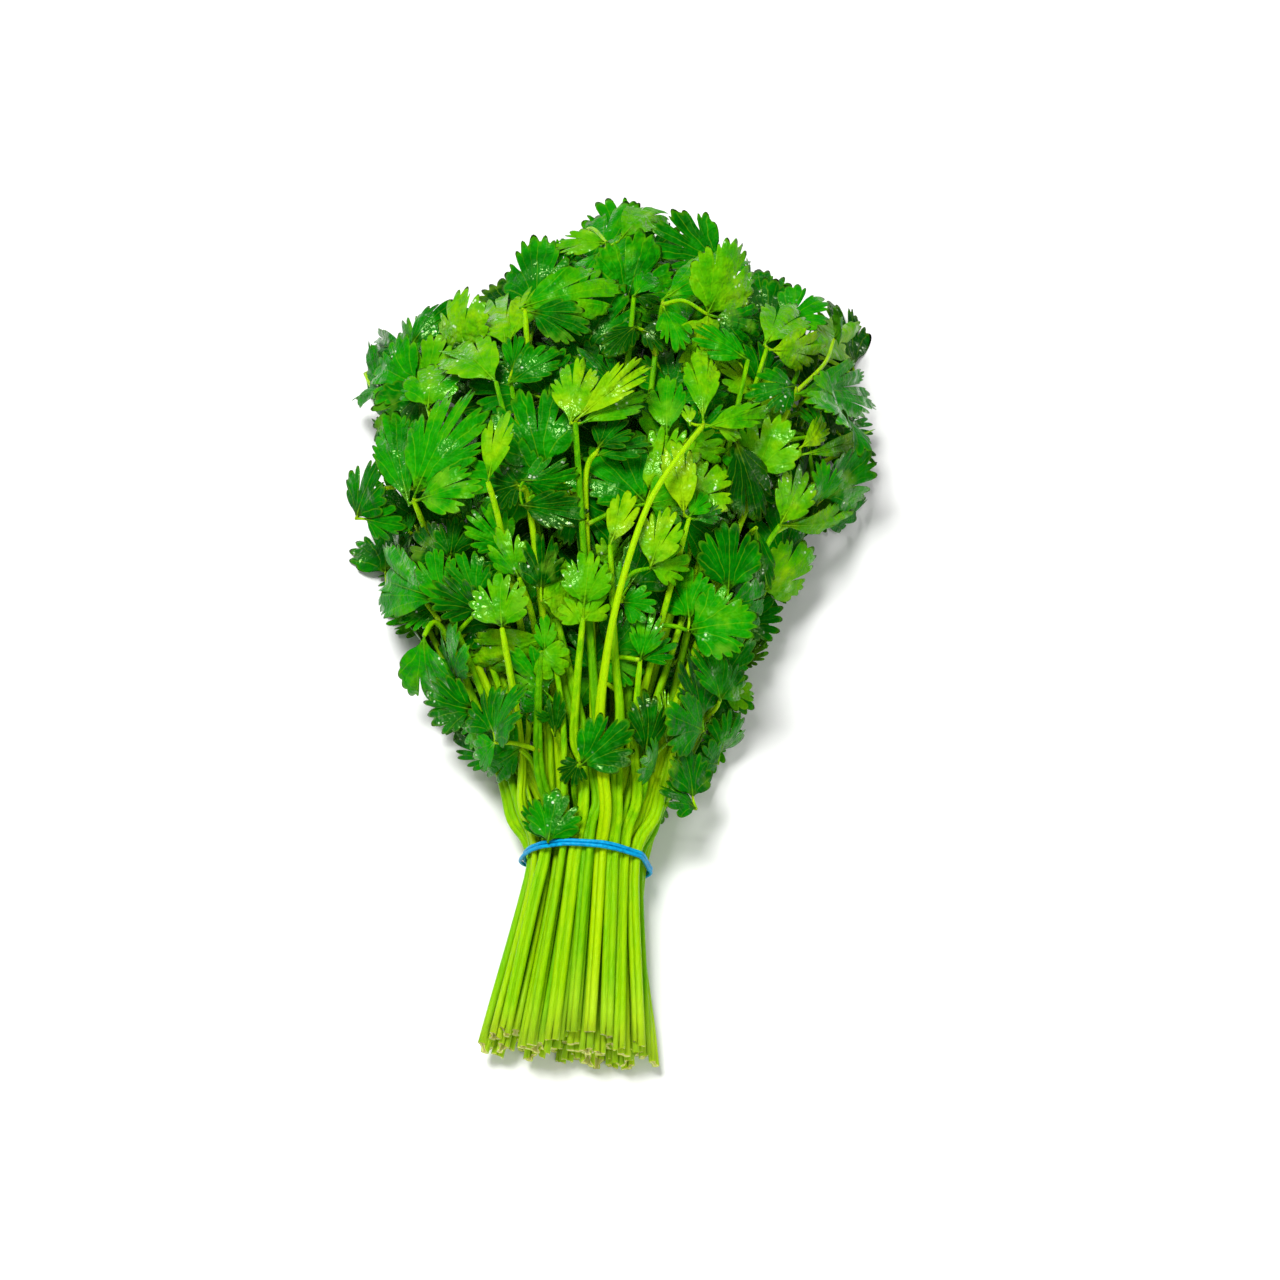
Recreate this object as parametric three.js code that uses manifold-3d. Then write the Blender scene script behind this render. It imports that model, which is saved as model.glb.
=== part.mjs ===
// Coriander bunch: fresh-cut sprigs held by one elastic band wound twice.
// Millimetres, +Z up, the bunch lying on the plane Z = 0: cut ends at -Y, leaf tips at +Y.
import * as THREE from "three";
import Module from "manifold-3d";

const wasm = await Module();
wasm.setup();

// ---- driving dimensions (mm) ----
const BAND_Y = -87.38; // middle of the band along the bunch
const BAND_STRAND_R = 0.5; // radius of the rubber strand
const BAND_PITCH = 0.6; // each winding's offset from the middle of the band
const BAND_CROSS_LIFT = 1.3; // how far one winding climbs over the other where they cross
const BAND_CROSS_AT = 0.57; // where they cross, as a share of the way round
const BAND_CROSS_HALF = 0.07; // half the length of the crossing, as a share of the way round
const STEM_SIDES = 5;
const STALK_SIDES = 3;
const STALK_R = 0.8; // leaf stalk where it leaves the stem
const STALK_TIP_R = 0.58; // leaf stalk where the leaflets start
const LEAFLET_T = 1.1; // thickness of a leaflet along its midrib, thinning to its edge
const FORK_L = 2.2; // length of the stalk's last joint, which the leaflets grow from
const PETIOLULE_R = 0.45; // a leaflet's own short stalk
const TOLERANCE = 0.02;
const SHARP = 0.34; // cosine of the sharpest turn a stem makes in one length
const INSIDE_OUT = 0.3; // area a leaf's surface may have inside out (mm2) before it is made in joined pieces
const SKIN = 0.004; // depth under a face where its solid is tested
const HEAD_BACK = 2.4; // the stem ends this far short of the leaflets at its head

const SMALL_LEAFLET = 17; // an inner leaflet shorter than this has the simplest rim
// Leaflet rims as [across, along] shares of the leaflet's width and length, from the root round the tip and back.
const RIMS = {
  lobed: [
    [0.27, 0.34],
    [0.5, 0.66],
    [0.25, 0.71],
    [0.15, 0.97],
    [-0.15, 0.97],
    [-0.25, 0.71],
    [-0.5, 0.66],
    [-0.27, 0.34],
  ],
  plain: [
    [0.34, 0.42],
    [0.41, 0.8],
    [0.0, 1.0],
    [-0.41, 0.8],
    [-0.34, 0.42],
  ],
  small: [
    [0.38, 0.5],
    [0.3, 0.9],
    [-0.3, 0.9],
    [-0.38, 0.5],
  ],
};

// Where the band's winding runs round the bunch, [x, z].
const BAND_LOOP = [[24.47,11.98],[23.95,14.22],[23.43,16.46],[22.92,18.71],[22.4,20.95],[21.39,22.94],[19.41,24.12],[17.42,25.27],[15.44,26.43],[13.32,27.31],[11.14,28.05],[8.85,28.15],[6.56,28.11],[4.26,27.95],[1.98,27.68],[-0.29,27.32],[-2.38,26.4],[-4.4,25.3],[-6.41,24.19],[-8.01,22.54],[-9.55,20.83],[-10.59,18.81],[-11.37,16.65],[-11.66,14.39],[-11.67,12.09],[-10.84,10],[-9.52,8.12],[-7.92,6.49],[-6.2,4.95],[-4.49,3.42],[-2.49,2.38],[-0.26,1.83],[1.97,1.28],[4.21,0.74],[6.51,0.66],[8.8,0.72],[11.08,1.03],[13.31,1.56],[15.5,2.26],[17.56,3.28],[19.56,4.4],[20.99,6.2],[22.37,8.04],[23.75,9.88]];

// One entry per sprig: [stem points [x, y, z, radius], leaves], where a leaf is
// [stalk control points or 0, end of the stalk, leaflets] and a leaflet is
// [root x, y, z, tip x, y, z, facing x, y, z, width, arch, fold, outline, shade, outer].
const SPRIGS = [
  [[[-11.17,-139.703,14.708,1.487],[-7.374,-105.38,19.404,1.427],[-5.205,-87.38,21.423,1.318],[-5.506,-77.38,29.21,0.64]],[[0,[-5.51,-77.38,29.21],[[-4.47,-87.66,27.1,-2.8,-74.62,33.96,-0.136,-0.448,0.884,15.4,0.032,-0.164,1,2,1],[-4.54,-87.23,26.12,-10.84,-75.35,27.34,-0.237,-0.222,0.946,8.44,0.08,-0.08,2,1,1]]]]],
  [[[8.539,-142.687,5.574,1.32],[7.997,-87.38,9.347,0.55],[1.576,-73.371,28.701,0.55],[2.803,-67.842,37.741,0.55]],[[0,[2.8,-67.84,37.74],[[2.88,-68.56,37.96,15.9,-56.95,44.61,-0.054,-0.45,0.892,16.77,0.041,0.079,0,1,1],[2.73,-67.12,37.52,-1.92,-72.14,34.14,-0.113,-0.48,0.87,8.97,0.108,-0.142,2,0,1]]]]],
  [[[-12.02,-143.231,10.058,1.456],[-5.27,-87.38,15.016,0.55],[-10.394,-65.826,27.556,0.55],[-14.871,-62.344,32.844,0.55]],[[0,[-14.87,-62.34,32.84],[[-14.87,-62.34,32.84,-25.52,-55.09,29.71,-0.442,-0.28,0.852,10.79,0.102,-0.137,1,2,1],[-14.87,-62.34,32.84,-25.83,-63,17,-0.443,-0.829,0.341,11.41,0.086,-0.091,0,2,1]]]]],
  [[[12.016,-139.969,18.113,1.536],[10.967,-105.38,23.064,1.524],[10.365,-87.38,25.069,1.502],[10.828,-77.38,31.168,1.454],[8.598,-65.38,35.906,1.399],[7.077,-53.033,41.509,1.306],[7.667,-40.326,48.952,1.221],[8.806,-30.684,54.997,1.154],[10.889,-19.103,60.56,1.079],[14.195,-5.341,65.401,0.992],[17.87,4.416,68.866,0.928],[24.247,16.237,71.071,0.849],[29.572,28.497,66.937,0.768]],[[[[10.7,-20.16,60.05],[13.97,-16.73,58.91],[17.81,-14.24,57.05]],[17.81,-14.24,57.05],[[17.83,-14.47,57.47,22.64,2.2,63.36,-0.026,-0.326,0.945,12.45,0.098,0.062,0,3,1],[17.79,-14,56.63,29.35,-8.96,54.15,0.355,-0.396,0.847,11.91,0.042,0.018,1,3,1]]],[0,[29.57,28.5,66.94],[[29.24,29.96,67.12,25.78,56.38,65.43,0.142,0.082,0.986,11.57,0.078,0.009,0,3,1],[30.28,27.55,67.31,47.6,38.94,60.46,0.422,-0.1,0.901,7.78,0.094,-0.062,0,3,1],[33.09,28.86,65.66,40.16,28.56,61.19,0.493,-0.339,0.801,4.6,0.108,-0.183,1,3,1],[25.68,27.61,67.65,23.96,34.78,67.41,0.044,0.044,0.998,4.59,0.093,0.022,0,3,1]]],[[[9.94,-24.37,58.03],[9.81,-22.66,55.26],[10.65,-23.22,52.25]],[10.65,-23.22,52.25],[[10.65,-23.22,52.25,20.36,-23.93,52.72,-0.071,-0.356,0.932,11.3,0.058,-0.027,0,2,1]]]]],
  [[[2.04,-141.687,17.511,1.649],[3.305,-87.38,24.983,1.543],[4.46,-77.38,29.19,1.291],[3.171,-65.38,32.086,1.131],[0.195,-59.16,34.836,1.116],[-0.224,-44.474,43.359,1.037],[0.225,-29.745,53.264,0.824]],[[0,[0.23,-29.74,53.26],[[0.28,-27.02,55.15,0.63,-12.09,60.93,0.092,-0.362,0.928,14.08,0.082,-0.091,1,3,1],[0.09,-31.5,52.15,-4.57,-23.9,54.57,-0.037,-0.324,0.945,9.58,0.085,0.063,2,3,1],[0.31,-30.71,52.5,5.51,-22.44,55.87,0.225,-0.486,0.845,9.58,0.075,-0.196,0,3,1]]]]],
  [[[-14.259,-140.79,12.938,1.57],[-7.558,-87.38,18.537,1.247],[-13.237,-77.38,23.51,0.981],[-14.365,-63.458,28.048,0.928],[-17.919,-48.369,37.355,0.99],[-22.505,-33.044,49.552,0.785]],[[0,[-22.51,-33.04,49.55],[[-22.51,-33.04,49.55,-24.34,-18.92,56.5,-0.215,-0.454,0.865,17.52,0.07,0.115,1,3,1]]],[[[-17.25,-51.2,35.61],[-21.62,-49.61,33.61],[-26.7,-50.41,29.44]],[-26.7,-50.41,29.44],[[-29.54,-49.21,28.61,-43.88,-43.9,25.21,-0.389,-0.603,0.696,15.92,0.101,0.17,2,1,0],[-26.7,-50.41,29.44,-30.73,-58.09,20.92,-0.435,-0.557,0.708,10.24,-0.012,0.042,0,2,0]]]]],
  [[[11.54,-143.4,14.267,1.607],[10.044,-87.38,21.601,1.572],[11.003,-77.38,26.102,1.516],[9.415,-65.38,30.918,1.457],[5.68,-50.38,37.389,1.35],[-1.757,-7.38,55.79,1.03],[-5.26,13.809,67.237,0.88],[-6.686,22.435,72.562,0.804]],[[0,[-6.69,22.43,72.56],[[-8.18,22.1,72.17,-6.68,44.84,72.11,0.003,0.003,1,14.88,0.048,-0.073,2,3,1],[-6.53,22.9,73.26,12.84,43.05,74.23,0.132,-0.174,0.976,9.71,0.1,0.128,2,4,1],[-5.35,22.3,72.25,13.45,36.11,70.27,0.226,-0.17,0.959,8.57,0.09,-0.081,0,3,1]]]]],
  [[[-3.424,-142.408,16.361,1.414],[-0.045,-87.38,24.382,1.338],[-1.013,-77.38,30.465,1.252],[-1.878,-65.38,33.27,1.154],[-4.072,-50.38,38.589,0.974],[-8.97,-33.052,46.375,0.707]],[[0,[-8.97,-33.05,46.38],[[-8.97,-33.05,46.38,-34.71,-35.14,30.75,-0.279,-0.777,0.564,14.29,0.037,-0.196,1,3,1]]]]],
  [[[-5.71,-143.255,13.864,1.596],[-0.961,-87.38,19.886,1.596],[-4.462,-77.38,20.988,1.493],[-6.236,-65.38,25.667,1.367],[-8.508,-50.38,30.62,1.176],[-14.354,-27.594,44.894,0.917],[-18.89,-19.754,55.367,0.798]],[[0,[-18.89,-19.75,55.37],[[-18.89,-19.75,55.37,-25.52,-6.76,60.23,-0.343,-0.478,0.809,12.46,0.059,-0.156,0,3,1]]],[[[-8.76,-49.39,31.24],[-7.05,-48.93,34.35],[-6.12,-49.14,36.85]],[-6.12,-49.14,36.85],[[-8.3,-47.31,38.31,-20.2,-37.31,43.67,-0.236,-0.662,0.712,16.21,-0.006,-0.215,0,2,0],[-6.12,-49.14,36.85,-16.73,-49.89,33.3,-0.188,-0.684,0.705,10.05,0.012,0.166,1,1,0]]]]],
  [[[-6.15,-138.485,9.821,1.628],[-1.959,-87.38,14.143,1.628],[-4.886,-77.38,17.614,1.556],[-11.473,-65.38,21.041,1.469],[-21.239,-50.38,24.863,1.326],[-32.141,-31.38,28.983,1.145],[-43.115,-4.398,18.462,0.897],[-52.149,4.481,52.704,0.814]],[[0,[-52.15,4.48,52.7],[[-53.58,4.02,50.83,-62.82,38.78,46.29,-0.39,0.017,0.92,15.21,0.068,0.111,1,2,1],[-52.05,5.09,53.76,-38.88,36.47,64.84,-0.184,-0.258,0.949,22.52,0.065,-0.082,2,2,1],[-50.81,4.33,53.52,-31.36,5.35,62.43,-0.405,-0.148,0.902,14.32,0.085,-0.004,0,2,1]]],[[[-42.69,-5.44,18.87],[-41.36,-3.12,8.84],[-42.35,-5.55,1.64]],[-42.35,-5.55,1.64],[[-45.54,-5.71,1.58,-62.58,-6.58,1.21,-0.021,-0.008,1,13.32,0,0.001,1,2,0],[-42.35,-5.55,1.64,-49.87,6.31,0.65,-0.056,0.048,0.997,13.3,0.091,0.184,0,1,0],[-42.35,-5.55,1.64,-49.01,-19.96,0.47,-0.045,-0.06,0.997,13.63,0.041,0.001,2,0,0]]],[[[-42.69,-5.44,18.87],[-45.17,5.75,19.03],[-49.8,13.65,22.03]],[-49.8,13.65,22.03],[[-52.6,15.02,22.76,-69.26,22.41,28.11,-0.025,-0.622,0.782,17.8,0.088,0.081,0,1,0],[-49.8,13.65,22.03,-50.99,25.87,29.75,-0.214,-0.537,0.816,14.95,-0.015,-0.159,2,2,0]]],[[[-43.41,-4.11,19.57],[-47.77,-3.29,18.55],[-51.45,-3.33,16.86]],[-51.45,-3.33,16.86],[[-51.45,-3.33,16.86,-44.31,-11.68,25.58,-0.552,-0.78,-0.295,11.84,0.044,0.168,0,1,0]]]]],
  [[[-4.404,-143.033,4.908,1.484],[-1.041,-87.38,8.011,1.337],[-8.802,-77.38,10.852,1.331],[-12.46,-65.38,14.321,1.341],[-17.691,-50.38,19.749,1.271],[-34.341,-7.38,36.635,1.002],[-52.17,36.679,54.228,0.742]],[[0,[-52.17,36.68,54.23],[[-51.58,34.77,55.1,-51.5,52.28,53.11,-0.198,0.111,0.974,17.07,0.075,-0.005,1,3,1],[-52.76,38.59,53.36,-62.02,48.98,42.73,-0.707,0.088,0.702,7.11,0.091,0.045,0,2,1]]],[[[-42.63,13.15,44.83],[-63.67,16.23,38.38],[-71.42,9.12,31.94]],[-71.42,9.12,31.94],[[-68.45,8.59,33.03,-56.48,4.99,36.58,-0.384,-0.538,0.75,11.45,0.097,0.001,0,1,0],[-71.42,9.12,31.94,-65.7,21.66,43.63,-0.616,-0.368,0.696,16.94,0.043,-0.175,0,1,0]]],[[[-23.36,-35.38,25.59],[-21.06,-35.14,28.32],[-18.11,-35.7,30.7]],[-18.11,-35.7,30.7],[[-17.6,-33.12,32.52,-17.63,-18.77,40.73,0.014,-0.497,0.868,15.58,0.003,-0.005,1,1,0]]],[[[-51.34,34.64,53.41],[-48.16,36.94,51.59],[-44.53,38.06,48.42]],[-44.53,38.06,48.42],[[-44.57,41.09,47.38,-43.09,57.98,34.61,0.111,0.593,0.797,18.68,0.044,-0.215,1,1,0],[-44.53,38.06,48.42,-30.95,46.1,41.11,0.251,0.385,0.888,15.9,0.11,0.159,1,0,0]]],[[[-46.36,22.39,48.51],[-54.48,25.77,45.5],[-61.36,26.15,37.83]],[-61.36,26.15,37.83],[[-61.36,26.15,37.83,-60.63,38.64,41.58,-0.891,-0.082,0.447,10.41,0.056,0.173,2,1,0]]]]],
  [[[7.517,-138.525,17.653,1.609],[6.888,-87.38,25.301,1.605],[7.793,-77.38,28.402,1.538],[6.142,-65.38,31.06,1.458],[-31.745,39.931,63.689,0.804]],[[0,[-31.74,39.93,63.69],[[-31.74,39.93,63.69,-49,61.15,53,-0.282,0.238,0.929,17.64,0.07,0.063,1,3,1]]],[[[-8.47,-25.12,43.72],[-10.65,-24.82,48.4],[-12.05,-24.89,52.35]],[-12.05,-24.89,52.35],[[-12.52,-21.83,53.18,-13.99,-8.99,61.8,0.689,-0.349,0.636,14.61,0.036,0.049,2,1,0],[-12.05,-24.89,52.35,-0.06,-14.34,44.3,0.602,-0.077,0.795,18.16,0.013,-0.097,1,3,0]]],[[[-12.16,-14.68,46.91],[-8.23,-12.28,44.46],[-3.29,-11.29,41.98]],[-3.29,-11.29,41.98],[[-2.46,-8.27,42.65,1.29,5.23,45.96,0.097,-0.262,0.96,13.86,-0.019,-0.235,1,0,0],[-3.29,-11.29,41.98,-14.17,-5.91,44.15,0.125,-0.144,0.982,11.45,-0.005,-0.145,0,1,0]]]]],
  [[[-1.815,-143.292,8.372,1.538],[1.26,-87.38,12.752,1.538],[-1.832,-77.38,14.902,1.494],[-4.118,-65.38,18.079,1.44],[-14.518,-7.38,35.191,1.163],[-22.593,44.62,51.638,0.92],[-26.301,67.359,61.448,0.769]],[[0,[-26.3,67.36,61.45],[[-27.85,67.92,61.49,1.83,81.22,58.62,0.161,-0.149,0.976,17.24,0.084,0.056,0,2,1],[-24.76,66.8,61.41,-6.33,60.79,63.14,-0.17,-0.246,0.954,12.97,0.094,-0.003,0,1,1]]],[[[-24.33,56.87,55.92],[-24.74,67.19,49.98],[-24.77,76.01,43.43]],[-24.77,76.01,43.43],[[-25.05,79.16,43.91,-26.69,104.17,46.15,-0.33,-0.106,0.938,22.28,-0.019,-0.17,1,1,0],[-24.77,76.01,43.43,-10.76,85.01,51.04,-0.492,0.031,0.87,15.8,0.061,-0.013,2,1,0]]],[[[-21.57,37.84,49.47],[-18,39.65,54.31],[-16.51,39.35,57.37]],[-16.51,39.35,57.37],[[-19.5,40.35,56.83,-40.44,48,56.15,-0.061,-0.079,0.995,19.87,-0.011,0.172,1,1,0],[-16.51,39.35,57.37,-15.7,55.73,60.34,-0.194,-0.166,0.967,16,0.082,-0.055,0,1,0],[-16.51,39.35,57.37,-18.66,21.61,52.77,-0.553,-0.146,0.821,16.18,0.028,0.05,1,0,0]]],[[[-23.54,51.3,53.97],[-25.32,60.17,47.31],[-30.49,64.36,39.35]],[-30.49,64.36,39.35],[[-33.44,65.57,39.22,-48.58,73.7,39.44,-0.233,-0.457,0.858,18.23,0.044,-0.109,1,1,0],[-30.49,64.36,39.35,-31.02,74.55,46.72,-0.824,-0.36,0.438,11.46,-0.016,-0.004,0,1,0],[-30.49,64.36,39.35,-40.45,55.98,30.78,-0.272,-0.511,0.816,13.62,0.039,-0.188,2,0,0]]],[[[-17.6,11.84,41.21],[-16.02,18,37.54],[-13.66,22.4,35.29]],[-13.66,22.4,35.29],[[-13.19,24.63,37.54,-9.34,43.48,50.47,-0.312,-0.493,0.812,23.07,0.035,0.06,2,2,0],[-13.66,22.4,35.29,-31.13,26.6,42.8,0.116,-0.728,0.676,20.01,-0.003,-0.125,0,1,0]]],[[[-22.08,41.23,50.55],[-18.36,44.64,47.78],[-13.52,46.53,43.91]],[-13.52,46.53,43.91],[[-13.52,46.53,43.91,-2.36,45.4,47.25,-0.243,0.312,0.919,10.36,0.065,-0.139,2,0,0],[-13.52,46.53,43.91,-21.91,55.42,35.12,-0.426,0.4,0.811,13.62,0.042,0.125,1,0,0]]]]],
  [[[2.599,-142.548,12.125,1.583],[4.183,-87.38,18.526,0.725],[6.506,-77.38,22.816,0.55],[3.364,-65.38,25.585,0.974],[-6.596,-31.38,34.1,1.278],[-30.569,58.343,56.598,0.792]],[[0,[-30.57,58.34,56.6],[[-31,56.95,56.75,-37.9,90.65,40.49,-0.196,0.393,0.898,18.06,0.038,-0.085,2,3,1],[-30.13,59.73,56.44,-23.13,87.24,48.14,-0.036,0.297,0.954,10.79,0.063,-0.027,2,3,1]]],[[[-28.32,49.79,54.46],[-36.38,55.08,48.26],[-43.06,58.6,43.42]],[-43.06,58.6,43.42],[[-43.69,61.43,44.78,-48.21,77.28,54.31,-0.581,-0.535,0.614,19.71,0.083,-0.106,1,3,0],[-43.06,58.6,43.42,-27.64,63.47,49.14,-0.248,-0.299,0.922,15.08,0.049,-0.236,0,1,0],[-43.06,58.6,43.42,-53.87,60.21,43.09,-0.098,-0.482,0.871,11.68,0.057,0.148,1,0,0]]],[[[-13.7,-5.21,40.68],[-5.46,1.83,46.31],[-0.07,5.93,50.91]],[-0.07,5.93,50.91],[[-2.37,8.06,51.53,-16.29,23.61,51.28,-0.116,-0.088,0.989,19.51,-0.003,-0.231,0,1,0],[-0.07,5.93,50.91,3.63,18.71,52.53,0.323,-0.211,0.923,11.66,0.021,0.177,2,1,0],[-0.07,5.93,50.91,-14.45,1.07,52.22,0.152,-0.188,0.97,15.29,0.06,0.109,2,2,0]]],[[[-23.63,32.04,50.02],[-24.98,38.12,40.42],[-28.24,35.03,31.14]],[-28.24,35.03,31.14],[[-30.98,33.37,31.26,-47.01,22.63,34.19,0.314,-0.217,0.924,19.05,0.087,-0.115,1,2,0],[-28.24,35.03,31.14,-40.72,48.78,35.29,0.121,-0.184,0.975,19.51,-0.013,-0.069,2,1,0],[-28.24,35.03,31.14,-23.36,18.78,22.38,0.247,-0.401,0.882,17.85,0.072,0.083,1,0,0]]],[[[-18.05,11.04,44.76],[-24.11,12.39,43.22],[-30.28,12.29,41.29]],[-30.28,12.29,41.29],[[-32.32,14.73,41.59,-43.62,29.53,42.63,-0.576,-0.486,0.657,18.37,0.059,-0.045,0,0,0],[-30.28,12.29,41.29,-26.54,20.76,54.41,-0.574,-0.603,0.553,16.3,0.048,-0.057,2,0,0],[-30.28,12.29,41.29,-39.29,11.99,31.6,-0.61,-0.536,0.584,13.17,-0.006,-0.187,1,2,0]]]]],
  [[[14.484,-139.702,4.808,1.511],[12.133,-87.38,8.591,1.511],[11.456,-31.38,25.498,1.259],[12.628,44.62,49.824,0.914],[13.611,68.763,58.006,0.806],[14.217,72.452,62.062,0.755]],[[0,[14.22,72.45,62.06],[[13.78,74.13,61.93,38.08,99.22,47.19,0.197,0.347,0.917,17.42,0.095,-0.208,2,2,1],[14.65,70.78,62.2,21.76,56,62.36,0.092,0.055,0.994,10.59,0.088,-0.062,1,2,1]]],[[[13.21,58.89,54.66],[9.99,64.51,57.76],[7.45,65.03,59.76]],[7.45,65.03,59.76],[[6.86,64.99,60.78,-1.01,54.19,62.08,0.114,0.037,0.993,8.82,0.042,-0.145,1,0,1],[8.03,65.08,58.74,19,61.7,57.26,0.088,-0.148,0.985,10.05,0.107,-0.181,2,0,1]]],[[[14.22,72.45,62.06],[20.37,72.6,64.45],[27.53,70.27,61.75]],[27.53,70.27,61.75],[[30.24,70.71,60.11,44.44,72.9,51.71,0.513,-0.388,0.766,17.9,0.03,-0.224,2,1,0],[27.53,70.27,61.75,28.62,54.22,51.25,0.52,-0.443,0.73,19.63,0.018,-0.091,2,3,0],[27.53,70.27,61.75,36.08,90.39,69.89,0.481,-0.497,0.723,20.97,0.001,-0.181,1,3,0]]],[[[12.48,38.97,48.01],[9.61,37.7,56.43],[5.53,35.05,61.94]],[5.53,35.05,61.94],[[4.13,37.93,61.94,-6.46,56,59.81,0.485,0.377,0.789,20.96,0.084,-0.133,2,1,0],[5.53,35.05,61.94,12.92,43.9,52.85,0.575,0.301,0.761,14.57,0.033,0.037,1,0,0],[5.53,35.05,61.94,-7.14,34.95,68.51,0.437,0.303,0.847,13.06,0.029,-0.22,1,1,0]]],[[[13.61,68.76,58.01],[17.4,74.66,52.85],[21.76,78.28,43.9]],[21.76,78.28,43.9],[[21.76,78.28,43.9,37.81,73.86,43.91,0.089,0.324,0.942,13.12,-0.014,-0.102,0,0,0],[21.76,78.28,43.9,9.12,87.38,46.32,0.324,0.205,0.923,15.68,0.067,-0.002,2,2,0]]],[[[12.23,29.92,45.11],[2.71,40.64,43.73],[-3.35,41.42,41.42]],[-3.35,41.42,41.42],[[-1.53,38.82,41.82,7.92,25.9,42.89,-0.307,-0.147,0.94,15.4,0.068,0.057,2,1,0],[-3.35,41.42,41.42,-13.53,27,36.01,-0.348,-0.104,0.932,16.06,0.062,-0.129,2,2,0]]]]],
  [[[16.731,-140.14,7.276,1.361],[13.48,-87.38,11.568,1.361],[14.85,-77.38,14.472,1.319],[24.094,-31.38,28.41,1.111],[45.844,62.931,57.586,0.681]],[[0,[45.84,62.93,57.59],[[44.91,63.52,57.9,53.57,87.85,44.22,0.321,0.375,0.87,14.97,0.069,0.096,0,3,1],[46.78,62.34,57.27,62.95,73.33,43.13,0.741,-0.368,0.562,12.52,0.064,-0.12,2,3,1]]],[[[36.69,24.18,45.57],[40.62,23.46,46.16],[43.95,21.95,46.73]],[43.95,21.95,46.73],[[45.1,24.54,48.22,51.23,39.6,56.22,-0.041,-0.455,0.89,18.05,0.035,0.134,1,3,0],[43.95,21.95,46.73,37.33,27.41,55.04,0.312,-0.661,0.683,11.31,0.109,-0.176,1,2,0]]],[[[39.57,36.43,49.37],[37.36,40.23,45.56],[35.53,42.82,41.01]],[35.53,42.82,41.01],[[36.56,45.83,40.62,44.33,67.82,38.51,0.262,-0,0.965,22.89,0.092,-0.045,2,2,0],[35.53,42.82,41.01,53.72,45.49,30.41,0.494,0.07,0.866,19.66,0.003,-0.058,1,1,0],[35.53,42.82,41.01,24.76,59.04,43.64,0.363,0.09,0.928,20.85,0.006,0.069,2,1,0]]],[[[24.34,-30.29,28.75],[32.38,-20.68,21.52],[38.11,-15.22,17.88]],[38.11,-15.22,17.88],[[38.11,-15.22,17.88,34.64,-21.29,23.5,0.922,-0.301,0.244,7.79,0.017,-0.099,1,2,0]]]]],
  [[[21.813,-143.397,13.374,1.43],[16.635,-87.38,19.036,1.43],[20.716,-77.38,21.485,1.382],[26.118,-50.38,28.291,1.246],[30.907,-31.38,31.895,1.148],[36.643,-7.38,35.577,1.024],[43.882,18.62,41.316,0.893],[55.332,52.465,51.974,0.715]],[[0,[55.33,52.46,51.97],[[55.42,50.97,52.12,78.22,79.47,11.61,0.846,0.073,0.528,16.99,0.074,0.133,2,2,1],[55.25,53.96,51.83,42.03,44.49,59.17,0.551,-0.13,0.824,14.08,0.085,0.04,0,1,1]]],[[[47.83,30.25,45.02],[53.02,32.12,48.68],[57.82,32.81,49.51]],[57.82,32.81,49.51],[[57.9,31.96,48.97,78.33,62.45,12.84,0.898,-0.091,0.431,7.22,0.075,-0.039,2,3,1],[57.74,33.67,50.06,64.92,47.98,43.89,0.777,-0.124,0.617,7.66,0.096,-0.191,2,4,1]]],[[[36.96,-6.25,35.83],[34.77,-2.86,33.25],[32.12,-0.42,31.35]],[32.12,-0.42,31.35],[[31.99,2.44,32.78,31.61,25.27,43.14,0.669,-0.298,0.681,24.5,-0.008,0.076,2,1,0],[32.12,-0.42,31.35,16.7,4.91,42.37,0.539,-0.153,0.829,17.28,0.042,-0.102,2,1,0]]],[[[45.32,22.85,42.66],[41.19,24.38,43.24],[38.44,24.23,42.68]],[38.44,24.23,42.68],[[41.19,25.69,41.95,53.43,33.29,36.8,0.517,-0.288,0.806,15.96,0.1,0.033,0,2,0],[38.44,24.23,42.68,46.27,16.85,37.13,0.353,-0.294,0.888,11.96,-0.018,-0.112,0,2,0],[38.44,24.23,42.68,40.79,35.96,45.05,0.409,-0.258,0.875,13.08,0.017,-0.123,0,1,0]]],[[[49.99,36.6,47.03],[59.02,41.61,43.39],[65.44,45.55,37.3]],[65.44,45.55,37.3],[[65.44,45.55,37.3,57.1,52.03,43.92,0.693,0.179,0.698,10.11,0.067,0.168,2,1,0]]],[[[54.98,51.41,51.65],[63.29,68.26,43.18],[65.95,82.92,35.25]],[65.95,82.92,35.25],[[65.95,82.92,35.25,67.62,84.41,46.71,0.955,0.243,-0.171,11.66,0.095,-0.176,0,1,0]]]]],
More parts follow.
